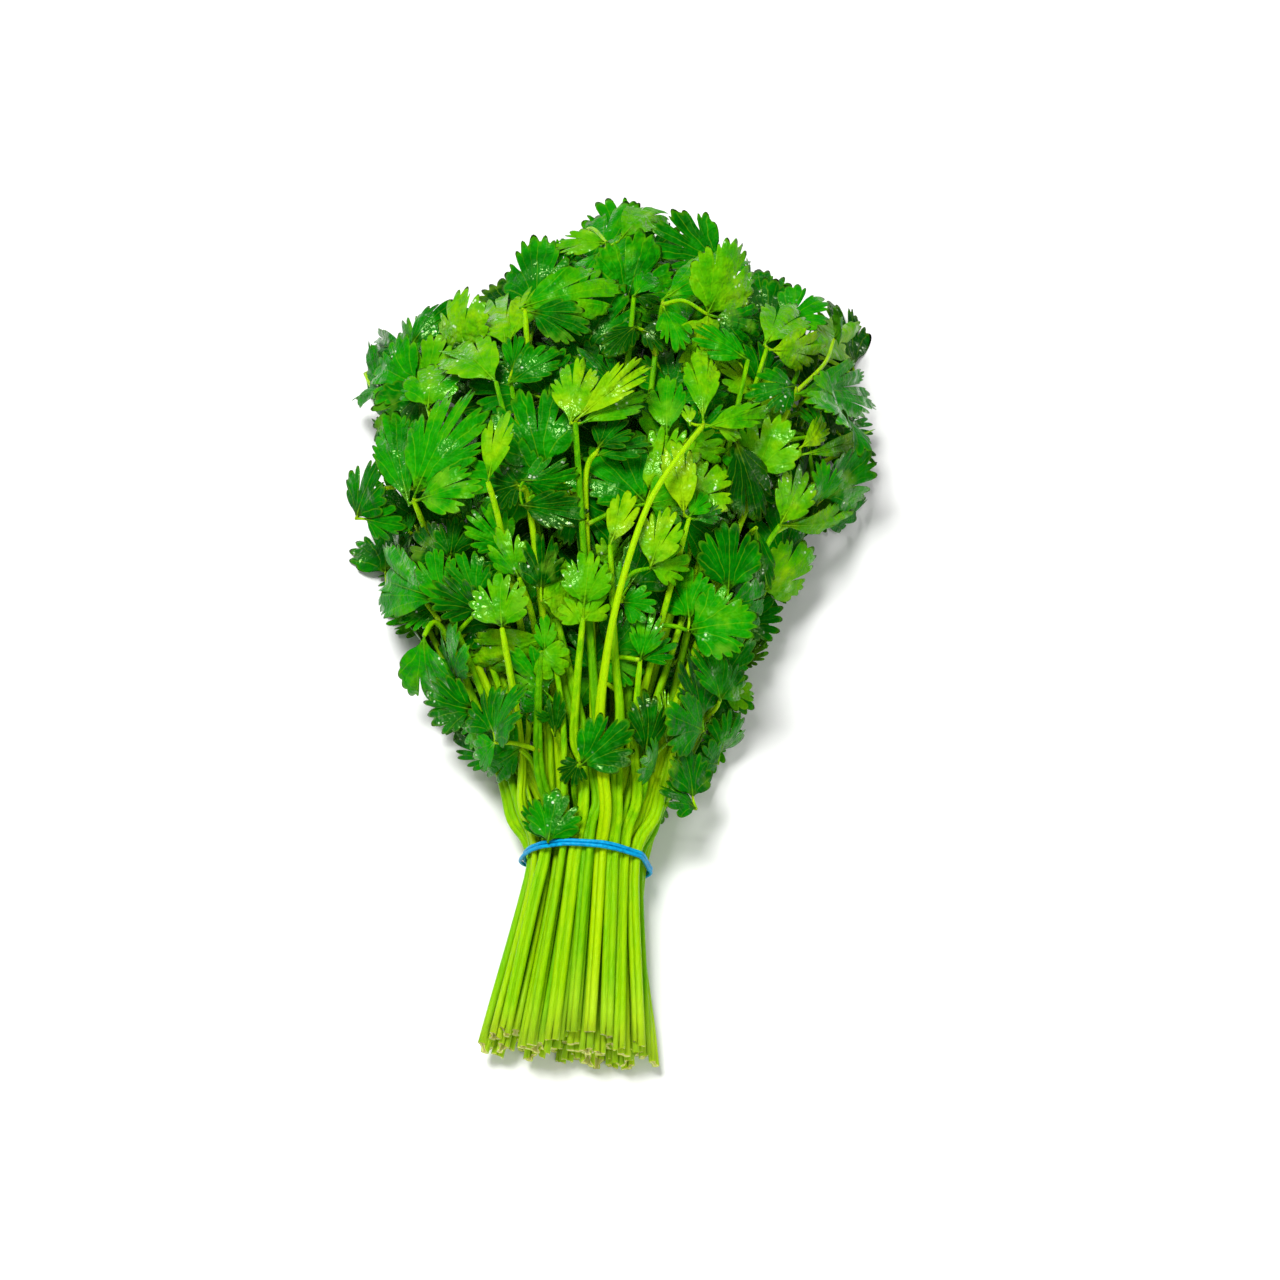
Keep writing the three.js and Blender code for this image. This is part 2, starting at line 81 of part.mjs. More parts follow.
  [[[27.392,-141.816,8.786,1.493],[20.381,-87.38,14.359,1.493],[23.583,-77.38,15.806,1.423],[26.513,-65.38,18.88,1.339],[35.891,-31.38,26.105,1.082],[48.726,3.783,35.942,0.828],[53.647,13.245,39.69,0.747]],[[0,[53.65,13.24,39.69],[[53.64,13.04,40.04,59.97,29.79,45.53,0.434,-0.424,0.795,13.46,0.075,0.036,1,3,1],[53.65,13.45,39.34,76.68,35.69,11.61,0.817,-0.509,0.271,8.36,0.088,-0.186,1,3,1]]],[[[52.66,11.35,38.94],[60.13,20.25,32.29],[66.34,26.08,20.37]],[66.34,26.08,20.37],[[66.34,26.08,20.37,79.44,45.4,4.28,0.879,-0.437,0.191,13.04,0.054,-0.122,2,1,1]]],[[[30.98,-49.26,22.32],[34.07,-48.76,24.26],[36.13,-48.75,26.3]],[36.13,-48.75,26.3],[[35.69,-45.96,27.82,31.36,-29.65,37.77,0.786,-0.156,0.598,20.05,-0.012,0.066,2,1,0],[36.13,-48.75,26.3,25.58,-51.93,41.5,0.813,-0.294,0.503,18.14,0.034,0.014,1,1,0]]],[[[34.66,-35.85,25.16],[38.13,-33.57,22.13],[40.88,-31.95,19.48]],[40.88,-31.95,19.48],[[41.38,-28.91,20.31,43.29,-11.46,25.13,0.54,-0.278,0.794,15.68,-0.002,-0.067,0,1,0],[40.88,-31.95,19.48,49.98,-29.39,14.3,0.535,-0.313,0.785,10.29,0.008,0.156,1,3,0]]]]],
  [[[-2.752,-142.959,11.73,1.604],[0.55,-87.38,16.685,1.604],[-1.015,-77.38,19.121,1.535],[-5.683,-50.38,30.173,1.325],[-10.35,-31.38,39.752,1.166],[-18.646,4.545,58.996,0.883],[-20.671,4.165,63.893,0.802]],[[0,[-20.67,4.16,63.89],[[-20.43,6.16,65.94,-4.63,8.28,68,0.042,-0.84,0.541,13.61,0.098,-0.11,2,1,1],[-20.6,0.77,61.09,-1.59,-0.78,61.47,-0.056,-0.47,0.881,10.8,0.059,0.075,0,0,1],[-20.98,5.56,64.65,-30.18,4.09,60.26,-0.344,-0.394,0.852,13.1,0.076,-0.13,2,0,1]]],[[[-18.65,4.54,59],[-14.95,8.83,62.08],[-9.09,9.36,60.89]],[-9.09,9.36,60.89],[[-6.93,7.5,59.43,7.61,-5.01,49.23,0.287,-0.383,0.878,22.4,-0.014,0.031,2,1,0],[-9.09,9.36,60.89,-15.22,-1.46,57.32,0.376,-0.475,0.796,13.54,0.002,0.02,2,3,0]]],[[[-4.48,-57.88,27.06],[-1.17,-53.82,25.32],[1.16,-50.84,23.5]],[1.16,-50.84,23.5],[[-0.29,-48.2,24.58,-10.9,-28.7,31.98,0.077,-0.317,0.945,21.58,-0.001,0.194,0,2,0],[1.16,-50.84,23.5,-12.81,-50.25,25.34,0.106,-0.37,0.923,12.37,0.101,0.195,2,1,0]]]]],
  [[[14.833,-141.791,12.77,1.396],[11.501,-87.38,18.591,1.396],[14.586,-65.38,27.238,1.242],[20.649,-31.38,41.15,0.965],[27.618,2.502,58.384,0.698]],[[0,[27.62,2.5,58.38],[[26.1,2.25,59.33,22.08,22.52,67.18,0.146,-0.332,0.932,10.26,0.106,-0.125,1,4,1],[27.78,2.74,58.75,31.72,11.03,58.84,0.286,-0.146,0.947,7.42,0.086,0.152,0,2,1],[28.97,2.51,57.08,36.63,8.38,53.94,0.514,-0.229,0.826,5.72,0.091,0.097,2,1,1]]],[[[21.89,-25.31,44.21],[26.31,-25.83,44.97],[29.71,-26.69,44.83]],[29.71,-26.69,44.83],[[29.93,-23.55,45.41,27.82,-7.95,47.18,-0.412,-0.157,0.898,14.48,0.059,-0.123,1,2,0],[29.71,-26.69,44.83,48.69,-23.85,47.85,-0.125,-0.201,0.972,20.79,0.072,0.183,1,2,0]]]]],
  [[[12.007,-141.676,10.53,1.589],[10.611,-87.38,15.387,1.589],[12.876,-77.38,18.553,1.524],[12.688,-65.38,23.814,1.447],[15.019,-31.38,38.022,1.199],[19.225,26.233,63.055,0.794]],[[0,[19.23,26.23,63.05],[[19.23,26.23,63.05,17.5,47.05,63.66,-0.138,-0.04,0.99,11.57,0.053,0.088,1,2,1]]],[[[15.73,-21.56,42.25],[12.55,-20.21,46.13],[10.49,-19.68,49.5]],[10.49,-19.68,49.5],[[11.92,-17.19,50.92,22.14,-0.57,54.56,0.462,-0.451,0.763,18.5,0.02,0.191,2,1,0],[10.49,-19.68,49.5,4.17,-12.85,55.29,0.124,-0.572,0.811,10.01,0.034,-0.09,2,2,0]]],[[[16.67,-8.47,47.89],[13.23,-2.22,45.72],[11.52,-1.22,41.66]],[11.52,-1.22,41.66],[[13.5,-3.41,40.44,22.04,-13.38,33.21,0.473,-0.215,0.855,14.63,-0.002,-0.228,0,1,0],[11.52,-1.22,41.66,9.15,-13.88,40.3,0.258,-0.151,0.954,11.55,0.103,0,2,0,0],[11.52,-1.22,41.66,28.84,3.6,30.26,0.577,-0.207,0.79,19.24,0.013,-0.227,1,2,0]]],[[[18.62,18,59.44],[20.07,20.48,55],[20.22,21.47,51.08]],[20.22,21.47,51.08],[[18.86,23.96,52.56,12.85,35.34,61.4,0.361,-0.446,0.819,14.93,0.094,-0.011,0,3,0],[20.22,21.47,51.08,32.67,34.78,51.09,0.343,-0.321,0.883,16.98,0.047,-0.019,2,0,0],[20.22,21.47,51.08,-0.54,15.39,56.2,0.32,-0.351,0.88,22.75,0.033,0.101,0,0,0]]]]],
  [[[25.111,-140.666,11.684,1.469],[19.513,-87.38,17.545,1.469],[22.784,-77.38,18.937,1.422],[25.501,-50.38,25.281,1.289],[27.911,-31.38,30.551,1.195],[40.605,55.577,61.251,0.735]],[[0,[40.6,55.58,61.25],[[40.6,55.58,61.25,24.15,62.51,64.52,0.109,-0.2,0.974,11.13,0.097,-0.194,2,2,1]]],[[[23.29,-70.83,20.46],[30.98,-70.82,22.36],[36.03,-72.12,23.35]],[36.03,-72.12,23.35],[[34.84,-69.17,23.71,30.41,-54.56,26.95,0.689,0.049,0.723,16.02,0.062,-0.019,1,1,0],[36.03,-72.12,23.35,25.53,-70.99,31.01,0.574,0.361,0.735,11.55,0.07,-0.084,0,1,0]]],[[[37.01,33.02,52.06],[29.23,39.99,53.22],[20.21,45.27,51.81]],[20.21,45.27,51.81],[[19.26,48.3,51.39,14.72,66.77,49.02,-0.139,0.092,0.986,19.22,-0.019,0.152,2,1,0],[20.21,45.27,51.81,31,60.32,47.1,0.032,0.278,0.96,19.52,-0.01,-0.072,0,2,0]]]]],
  [[[5.597,-139.479,7.577,1.626],[6.107,-87.38,12.28,0.55],[1.128,-77.38,12.567,0.55],[2.086,-65.38,13.674,0.781],[2.227,-31.38,21.582,1.391],[0.72,18.62,31.879,1.18],[-0.676,44.62,36.734,1.072],[-4.944,103.384,46.785,0.813]],[[0,[-4.94,103.38,46.79],[[-2.27,105.44,46.18,9.72,132.93,30.34,0.28,0.385,0.88,13.08,0.101,-0.17,1,3,1],[-5.29,104.78,46.21,-22.69,104.88,41.42,-0.264,0.097,0.96,10.46,0.077,0.037,1,3,1],[-7.27,99.93,47.97,-12.87,83.31,53.88,0.059,0.317,0.947,9.09,0.031,-0.19,0,2,1]]],[[[-4.61,99.21,46.1],[-9.1,101.76,39.21],[-11.2,102.48,32.8]],[-11.2,102.48,32.8],[[-9.94,105.42,32.97,1.35,129.91,31.78,-0.225,0.151,0.963,23.82,-0.001,-0.059,1,2,0],[-11.2,102.48,32.8,11.4,101.39,42.65,-0.396,0.064,0.916,26.49,0.067,-0.012,1,2,0],[-11.2,102.48,32.8,-21.88,115.5,29.43,-0.254,0.042,0.966,18.09,0.018,0.051,2,1,0]]],[[[-1.51,57.05,38.92],[-7.03,58.54,43.69],[-10.53,58.91,47.53]],[-10.53,58.91,47.53],[[-9.33,61.86,47.86,1.17,82.57,54.41,-0.035,-0.285,0.958,24.25,0.1,-0.115,0,1,0],[-10.53,58.91,47.53,8.13,56.39,46.06,0.082,0.026,0.996,16.31,-0.02,-0.199,0,1,0],[-10.53,58.91,47.53,-20.97,69.18,45.48,-0.182,0.011,0.983,13.23,0.085,-0.063,2,1,0]]],[[[-2.95,77.6,42.48],[1.38,87.4,36.72],[10.46,89.81,31.16]],[10.46,89.81,31.16],[[13.63,89.51,31.5,32.44,87.35,35.82,-0.238,-0.146,0.96,19.96,0.088,-0.004,1,2,0],[10.46,89.81,31.16,16.34,100.62,33.55,-0.117,-0.154,0.981,13.15,0.009,0.162,1,1,0]]],[[[-1.81,61.58,39.71],[-13.8,68.48,37.19],[-19.63,70.57,34.24]],[-19.63,70.57,34.24],[[-16.63,71.64,34.43,6.54,79.08,32.33,0.139,-0.158,0.978,22.59,0.001,-0.098,0,2,0],[-19.63,70.57,34.24,-11.56,56.39,31.93,-0.211,-0.272,0.939,15.94,0.052,-0.014,1,2,0]]],[[[-4.27,95.04,45.42],[-19.51,106.33,37.54],[-35.16,98.93,23.69]],[-35.16,98.93,23.69],[[-36.56,96.87,21.68,-46.22,83.43,8.44,-0.868,0.472,0.155,19.29,0.044,0.063,2,1,0],[-35.16,98.93,23.69,-36.33,101.45,10.81,-0.875,0.454,0.168,10.33,0.042,0.106,0,0,0]]],[[[-3.3,82.25,43.26],[-8.65,89.37,22.98],[-13.33,90.17,9.6]],[-13.33,90.17,9.6],[[-13.33,90.17,9.6,-29.06,89.69,15.48,-0.294,0.61,-0.736,13.38,0.077,-0.08,2,1,0],[-13.33,90.17,9.6,-4.78,98.36,10.35,-0.471,0.554,-0.686,11.01,-0.011,0.185,1,0,0]]],[[[-2.5,71.78,41.5],[-3.25,71.62,45.19],[-3.42,70.87,47.64]],[-3.42,70.87,47.64],[[-3.42,70.87,47.64,6.45,73.92,47.8,-0.07,0.175,0.982,10.35,0.083,-0.089,1,0,0],[-3.42,70.87,47.64,-12.89,80.75,44.74,0.005,0.286,0.958,13.48,0.04,-0.052,1,0,0]]],[[[-3.47,84.58,43.65],[-11.22,88.23,38.02],[-19,88.57,29.48]],[-19,88.57,29.48],[[-19,88.57,29.48,-1.56,103.24,30.98,-0.417,0.414,0.809,22.11,0.041,-0.027,1,1,0],[-19,88.57,29.48,-29.88,83.43,27.02,-0.386,0.425,0.819,9.75,0.053,-0.108,0,1,0]]],[[[-4.94,103.38,46.79],[-12.94,118.8,33.41],[-19.94,115.14,14.17]],[-19.94,115.14,14.17],[[-20.32,112.89,11.92,-21.6,102.41,1.99,0.747,-0.503,0.434,14.17,0.102,0.032,2,1,0],[-19.94,115.14,14.17,-28.93,103.14,19.96,0.822,-0.44,0.362,12.77,0.096,-0.105,0,0,0]]],[[[-3.92,90.39,44.63],[-12.49,91.6,41.98],[-19.55,91.23,39.42]],[-19.55,91.23,39.42],[[-19.75,94.4,39.86,-20.04,107.18,40.61,-0.421,-0.063,0.905,10.5,0.002,0.166,2,2,0],[-19.55,91.23,39.42,-10.54,95.14,45.29,-0.481,-0.18,0.858,9.12,0.088,0.084,0,1,0]]]]],
  [[[-0.251,-143.501,14.275,1.645],[2.23,-87.38,21.512,1.57],[-8.104,-71.553,27.73,1.334],[-10.904,-49.142,40.088,1.002],[-10.538,-38.318,46.961,0.822]],[[0,[-10.54,-38.32,46.96],[[-11.21,-38.54,47.26,-3.51,-42.6,44.1,0.052,-0.551,0.833,11.85,0.067,-0.217,1,3,1],[-9.86,-38.1,46.66,-10.77,-28.24,50.31,-0.052,-0.351,0.935,6.78,0.094,-0.021,0,2,1]]],[[[-9.25,-62.38,32.79],[-15.82,-62.06,35.73],[-21.72,-62.33,35.81]],[-21.72,-62.33,35.81],[[-22.45,-59.3,35.07,-27.8,-45.48,33.81,-0.543,-0.135,0.829,14.71,0.082,-0.121,2,1,0],[-21.72,-62.33,35.81,-15.48,-51.38,49.9,-0.874,-0.111,0.474,19.67,0.089,-0.015,0,1,0],[-21.72,-62.33,35.81,-27.12,-63.83,25.24,-0.829,-0.309,0.467,10.47,0.024,0.163,0,2,0]]]]],
  [[[-8.695,-139.89,12.237,1.6],[-4.064,-87.38,18.191,0.55],[-9.531,-77.38,23.526,0.55],[-13.514,-65.38,23.913,0.55],[-13.646,-50.38,29.121,0.978],[-16.953,-31.38,38.3,1.113],[-25.931,-4.663,59.287,0.888],[-29.761,3.614,67.686,0.8]],[[0,[-29.76,3.61,67.69],[[-29.76,3.61,67.69,-25.82,22.51,75.43,-0.255,-0.321,0.912,9.63,0.084,0.064,1,3,1]]],[[[-22.94,-13.57,52.29],[-21.05,-10.53,50.02],[-20.18,-9,47.32]],[-20.18,-9,47.32],[[-22.73,-7.45,48.47,-34.83,0.16,55.59,0.039,-0.648,0.76,13.99,0.006,0.156,2,2,0],[-20.18,-9,47.32,-30.82,-13.77,41.08,0.044,-0.829,0.557,11.82,0.028,-0.12,2,1,0]]]]],
  [[[16.882,-138.472,17.122,1.593],[14.802,-105.38,21.981,1.593],[13.706,-87.38,24.137,1.593],[13.889,-77.38,27.894,1.5],[12.965,-65.38,31.849,1.389],[12.453,-50.364,37.117,1.236],[9.793,-36.214,44.522,1.091],[6.01,-9.154,59.488,0.796]],[[0,[6.01,-9.15,59.49],[[6.01,-9.15,59.49,10.96,5.62,64.78,0.046,-0.351,0.935,8.5,0.093,0.057,1,4,1]]],[[[11.5,-45.31,39.76],[8.07,-42.16,37.81],[4.66,-39.81,35.58]],[4.66,-39.81,35.58],[[3.48,-37.04,36.65,-2.45,-25.83,39.35,-0.108,-0.287,0.952,11.54,-0.012,-0.073,0,1,0],[4.66,-39.81,35.58,15.13,-27.24,36.09,0.265,-0.258,0.929,14.57,0.017,-0.226,2,2,0]]]]],
  [[[7.867,-141.803,13.77,1.505],[7.54,-87.38,19.223,1.504],[9.793,-77.38,22.49,1.44],[7.164,-65.38,27.913,1.365],[2.703,-31.38,42.715,1.116],[-2.81,10.36,61.644,0.828],[-0.066,16.972,66.49,0.753]],[[0,[-0.07,16.97,66.49],[[0.13,17.98,67.06,6.64,28.35,67.62,0.065,-0.095,0.993,12.01,0.078,0.046,1,1,1],[-0.26,15.96,65.92,14.59,23.02,65.35,0.059,-0.043,0.997,9.14,0.044,-0.024,1,1,1]]],[[[-1.19,-1.12,56.4],[6.73,3.28,57.59],[15.05,6.12,58.03]],[15.05,6.12,58.03],[[15.67,9.02,59.24,23.01,26.49,66.34,-0.018,-0.37,0.929,20.1,-0.014,-0.223,2,3,0],[15.05,6.12,58.03,28.13,10.17,58.45,0.169,-0.623,0.764,14.37,0.071,-0.186,1,2,0],[15.05,6.12,58.03,-1.7,20.59,62.76,0.01,-0.3,0.954,20.03,0.007,-0.09,1,1,0]]]]],
  [[[4.556,-139.973,15.297,1.52],[5.698,-87.38,22.043,1.459],[5.327,-77.38,25.988,1.402],[3.416,-65.38,28.94,1.372],[-1.647,-50.38,33.399,1.309],[-28.078,43.007,61.638,0.76]],[[0,[-28.08,43.01,61.64],[[-28.32,40.26,62.59,-14.43,53.2,62.85,0.077,-0.103,0.992,11.09,0.045,0.136,1,1,1],[-27.83,45.75,60.69,-27.14,60.23,58.2,0.164,0.16,0.973,8.82,0.065,0.076,0,1,1]]],[[[-18.13,8.09,50.91],[-15.98,9.92,54.72],[-14.26,11.05,57.96]],[-14.26,11.05,57.96],[[-15.58,13.84,58.81,-24.21,35.96,66.58,-0.011,-0.335,0.942,24.48,0.018,0.192,2,1,0],[-14.26,11.05,57.96,-37.55,11.66,55.01,-0.126,-0.364,0.923,23.71,0.057,-0.028,1,2,0]]],[[[-21.84,21.35,54.9],[-30.4,24.03,53.67],[-39.37,22.62,48.51]],[-39.37,22.62,48.51],[[-41.66,23.67,46.54,-59.01,29.37,34.3,-0.579,-0.617,0.533,21.04,0.009,-0.04,0,0,0],[-39.37,22.62,48.51,-44.57,34.36,55.89,-0.663,-0.586,0.465,15.01,0.016,0.052,0,1,0],[-39.37,22.62,48.51,-38.83,7.92,36.54,-0.675,-0.48,0.56,17.6,-0.005,0.161,0,2,0]]],[[[-22.76,24.66,55.9],[-31.95,29.72,52.94],[-37.93,33.68,48.14]],[-37.93,33.68,48.14],[[-37.93,33.68,48.14,-25.56,34.19,54.04,-0.426,0.237,0.873,11.41,0.105,0.134,1,1,0],[-37.93,33.68,48.14,-49.42,36.21,42.12,-0.411,0.231,0.882,10.62,0.048,-0.037,1,1,0]]]]],
  [[[-10.56,-141.174,7.109,1.389],[-5.191,-87.38,11.831,1.327],[-10.717,-77.38,14.736,1.304],[-17.096,-65.38,15.048,1.283],[-21.268,-50.38,18.596,1.223],[-27.628,-31.38,22.109,1.135],[-62.099,66.192,38.589,0.695]],[[0,[-62.1,66.19,38.59],[[-62.1,66.19,38.59,-50.63,82.1,42.58,-0.24,-0.07,0.968,11.55,0.105,-0.213,0,1,1],[-62.1,66.19,38.59,-77.82,82.95,9.61,-0.886,-0.029,0.464,11.14,0.102,0.132,2,1,1]]],[[[-56.66,50.96,36.07],[-62.95,52.99,35.59],[-68.54,53.47,32.83]],[-68.54,53.47,32.83],[[-68.4,52.93,33.67,-77.15,76.66,22.32,-0.779,0.013,0.627,7.97,0.072,0.081,1,1,1],[-68.68,54.01,31.98,-81.04,64.93,10.25,-0.833,0.129,0.538,9.24,0.079,-0.152,1,2,1]]],[[[-56.66,50.96,36.07],[-55.69,50.75,40.11],[-55.17,49.37,42.43]],[-55.17,49.37,42.43],[[-57.38,51.29,41.13,-72.79,62.53,33.93,-0.547,-0.235,0.803,21.65,0.088,0.187,0,2,0],[-55.17,49.37,42.43,-54.22,65.36,47.9,-0.612,-0.223,0.759,17.48,-0.017,0.045,1,3,0],[-55.17,49.37,42.43,-69.39,37.11,30.86,-0.378,-0.365,0.851,20.79,0.048,0.088,0,1,0]]],[[[-60.94,62.95,38.05],[-60.2,64.1,34.57],[-59.5,64.19,30.79]],[-59.5,64.19,30.79],[[-60.89,66.88,29.75,-68.85,83.3,22.93,-0.705,-0.048,0.708,20.37,-0.02,0.059,0,2,0],[-59.5,64.19,30.79,-56.93,72.69,38.06,-0.791,-0.242,0.562,12.3,0.009,-0.206,2,1,0]]],[[[-57.46,53.19,36.44],[-57.59,61.12,28.9],[-55.49,66.74,24.14]],[-55.49,66.74,24.14],[[-55.05,69.11,26.25,-48.5,83.81,35.66,-0.164,-0.479,0.862,19.31,-0.006,0.194,1,1,0],[-55.49,66.74,24.14,-40.67,66.62,28.25,-0.218,-0.601,0.769,14.68,0.064,0.072,0,1,0]]],[[[-49.12,29.77,32.54],[-59.32,32.71,25.81],[-65.56,34.44,19.47]],[-65.56,34.44,19.47],[[-65.56,34.44,19.47,-65.06,37.23,29.38,-0.988,0.156,0.006,10.11,0.036,0.189,2,0,0],[-65.56,34.44,19.47,-63.28,40.03,5.16,-0.98,0.179,-0.086,13.9,0.093,0.038,2,0,0]]],[[[-55.07,46.5,35.33],[-55.65,53.44,27.23],[-54.78,55,22.81]],[-54.78,55,22.81],[[-54.78,55,22.81,-49.9,39.94,27.52,-0.95,-0.311,-0.009,15.33,-0,-0.107,2,1,0]]]]],
  [[[7.941,-142.027,10.214,1.646],[7.056,-87.38,15.765,1.364],[9.459,-77.38,19.109,1.345],[7.635,-65.38,22.22,1.447],[5.872,-31.38,30.6,1.372],[5.173,-7.38,36.667,1.254],[4.821,18.62,43.315,1.127],[5.173,77.276,58.44,0.823]],[[0,[5.17,77.28,58.44],[[5.22,76.79,59.13,10.28,87.68,54.71,0.159,0.307,0.938,7.18,0.108,-0.023,1,2,1],[5.13,77.76,57.75,12.91,77.88,56.48,0.162,-0.151,0.975,5.97,0.074,-0.211,0,0,1]]],[[[5.37,-14.24,34.93],[2.83,-13.31,41.67],[2.58,-14.41,47.97]],[2.58,-14.41,47.97],[[4.55,-12.4,49.51,12.22,-4.31,56.88,0.441,-0.796,0.414,12.86,0.01,-0.22,2,3,0],[2.58,-14.41,47.97,15.43,-14.02,38.78,0.4,-0.749,0.528,15.53,0.102,-0.18,1,0,0]]],[[[5.02,3.92,39.56],[2.73,5.12,36.81],[1.92,5.04,34.24]],[1.92,5.04,34.24],[[4.38,7.03,34.68,23.3,19.16,35.72,0.128,-0.282,0.951,22.84,0.017,-0.193,2,0,0],[1.92,5.04,34.24,21.18,-3.41,29.04,0.114,-0.318,0.941,20.47,0.068,-0.049,0,1,0],[1.92,5.04,34.24,-4.34,22.44,38.48,0.045,-0.221,0.974,16.9,0.106,0.112,0,2,0]]],[[[4.82,41.23,49.13],[7.84,42.71,46.91],[12.06,41.81,43.88]],[12.06,41.81,43.88],[[14.94,42.98,43.08,32.92,52.06,37.85,0.296,-0.036,0.955,20.27,0.077,-0.159,2,1,0],[12.06,41.81,43.88,11.55,59.43,39,0.161,0.268,0.95,17.7,0.039,-0.156,0,1,0]]],[[[4.82,24.27,44.77],[4.08,25.39,49.45],[2.8,25.87,53.3]],[2.8,25.87,53.3],[[1.82,28.87,53.83,-3.63,45.38,56.68,0.231,-0.091,0.969,17.76,0.027,-0.089,2,0,0],[2.8,25.87,53.3,-10.98,28.63,57.57,0.275,-0.103,0.956,12.27,0.08,-0.025,1,0,0]]],[[[4.86,48.04,50.89],[0.87,48.36,50.41],[-3.46,47.37,49.74]],[-3.46,47.37,49.74],[[-5.31,49.89,50.44,-16.23,64.45,53.7,0.296,0.008,0.955,16.98,0.063,0.082,0,1,0],[-3.46,47.37,49.74,4.74,56.76,48.24,0.273,-0.086,0.958,12.09,-0.004,0.069,0,0,0]]]]],
  [[[21.904,-140.7,10.354,1.467],[16.74,-87.38,15.801,1.355],[20.488,-77.38,16.602,1.338],[21.86,-65.38,19.179,1.343],[35.717,-7.38,30.897,1.099],[57.528,71.654,44.9,0.733]],[[0,[57.53,71.65,44.9],[[57.53,71.65,44.9,71.51,102.63,9.96,0.808,0.242,0.538,14.2,0.039,-0.204,1,3,1]]],[[[50.63,46.8,40.75],[46.74,49.25,45.62],[43.15,50.62,49.58]],[43.15,50.62,49.58],[[44,53.69,49.93,46.16,69.56,50.42,0.56,-0.102,0.822,16.06,0.087,0.018,0,1,0],[43.15,50.62,49.58,56.77,53.6,47.18,0.24,-0.376,0.895,14.11,0.043,-0.192,1,3,0],[43.15,50.62,49.58,34.98,61.39,54.15,0.478,-0.01,0.878,13.16,0.037,0.06,2,3,0]]],[[[57.53,71.65,44.9],[51.85,78.67,42.1],[48.2,83.26,38.4]],[48.2,83.26,38.4],[[50.44,85.51,37.94,62.02,97.01,36.78,0.102,-0.002,0.995,16.96,0.088,0.168,0,2,0],[48.2,83.26,38.4,34.31,99.36,37.52,0.086,0.128,0.988,21.79,-0.009,0.153,0,1,0]]],[[[44.67,25.4,36.97],[54.28,28.58,31.65],[64.11,29.2,25.94]],[64.11,29.2,25.94],[[66.08,31.72,25.95,80.02,47.7,26.44,0.704,-0.624,0.339,21.93,-0.007,0.19,1,1,0],[64.11,29.2,25.94,65.13,34.97,40.07,0.736,-0.644,0.209,14.78,0.092,0.075,0,2,0]]],[[[51.84,51.16,41.49],[42.7,60.6,45.21],[37.13,64.74,45.56]],[37.13,64.74,45.56],[[39.9,65.47,44.13,56.96,69.76,36.29,0.432,-0.078,0.898,19.16,0.096,0.173,0,0,0],[37.13,64.74,45.56,41.65,85.27,41.32,0.518,0.062,0.853,18.72,0.1,-0.209,1,2,0]]],[[[51.23,48.98,41.12],[62.04,55.6,38.07],[69.07,54.6,38.11]],[69.07,54.6,38.11],[[68.13,53.11,40.78,63.35,43.09,61.05,0.863,0.342,0.372,18.53,0.099,0.15,0,2,0],[69.07,54.6,38.11,75.78,39.34,41.2,0.786,0.434,0.439,14.36,0.109,0.199,1,1,0]]],[[[53.64,57.7,42.6],[58.93,58.97,39.32],[62.5,59.39,35.38]],[62.5,59.39,35.38],[[62.5,59.39,35.38,61.08,63.69,43.74,0.988,0.038,0.148,7.89,0.049,0.078,1,1,0]]]]],
  [[[11.733,-143.352,6.818,1.64],[10.15,-87.38,11.848,1.622],[11.532,-77.38,14.803,1.571],[21.198,-31.38,31.117,1.295],[36.284,36.666,55.876,0.867],[38.754,28.565,59.911,0.82]],[[0,[38.75,28.57,59.91],[[38.75,28.57,59.91,47.85,13.15,40.85,0.455,-0.574,0.681,15.5,0.066,-0.185,1,0,1]]],[[[36.59,35.65,56.38],[28.97,27.11,58.64],[23.66,26.07,59.48]],[23.66,26.07,59.48],[[25.9,28.24,60.19,35.28,36.55,64.41,0.037,-0.485,0.874,12.95,0.077,-0.211,2,1,0],[23.66,26.07,59.48,35.94,24.53,57.72,-0.006,-0.774,0.634,13.07,0.06,0.08,1,3,0]]],[[[29.41,5.83,44.62],[25.58,6.95,50.31],[23.31,6.73,54.38]],[23.31,6.73,54.38],[[25.46,9.08,54.71,37.66,20.2,56.2,0.198,-0.341,0.919,16.05,0.033,0.067,0,3,0],[23.31,6.73,54.38,37.38,2.91,42.26,0.493,-0.482,0.724,17.36,-0.015,0.042,2,1,0]]],[[[31.86,16.85,48.64],[25.2,26.75,44.57],[20.87,27.29,38.89]],[20.87,27.29,38.89],[[20.87,27.29,38.89,14.32,16.96,38.63,0.082,-0.077,0.994,12.43,0.084,-0.103,2,1,0],[20.87,27.29,38.89,35.18,30.5,36.9,0.145,-0.033,0.989,14.9,0.105,-0.083,2,2,0]]]]],
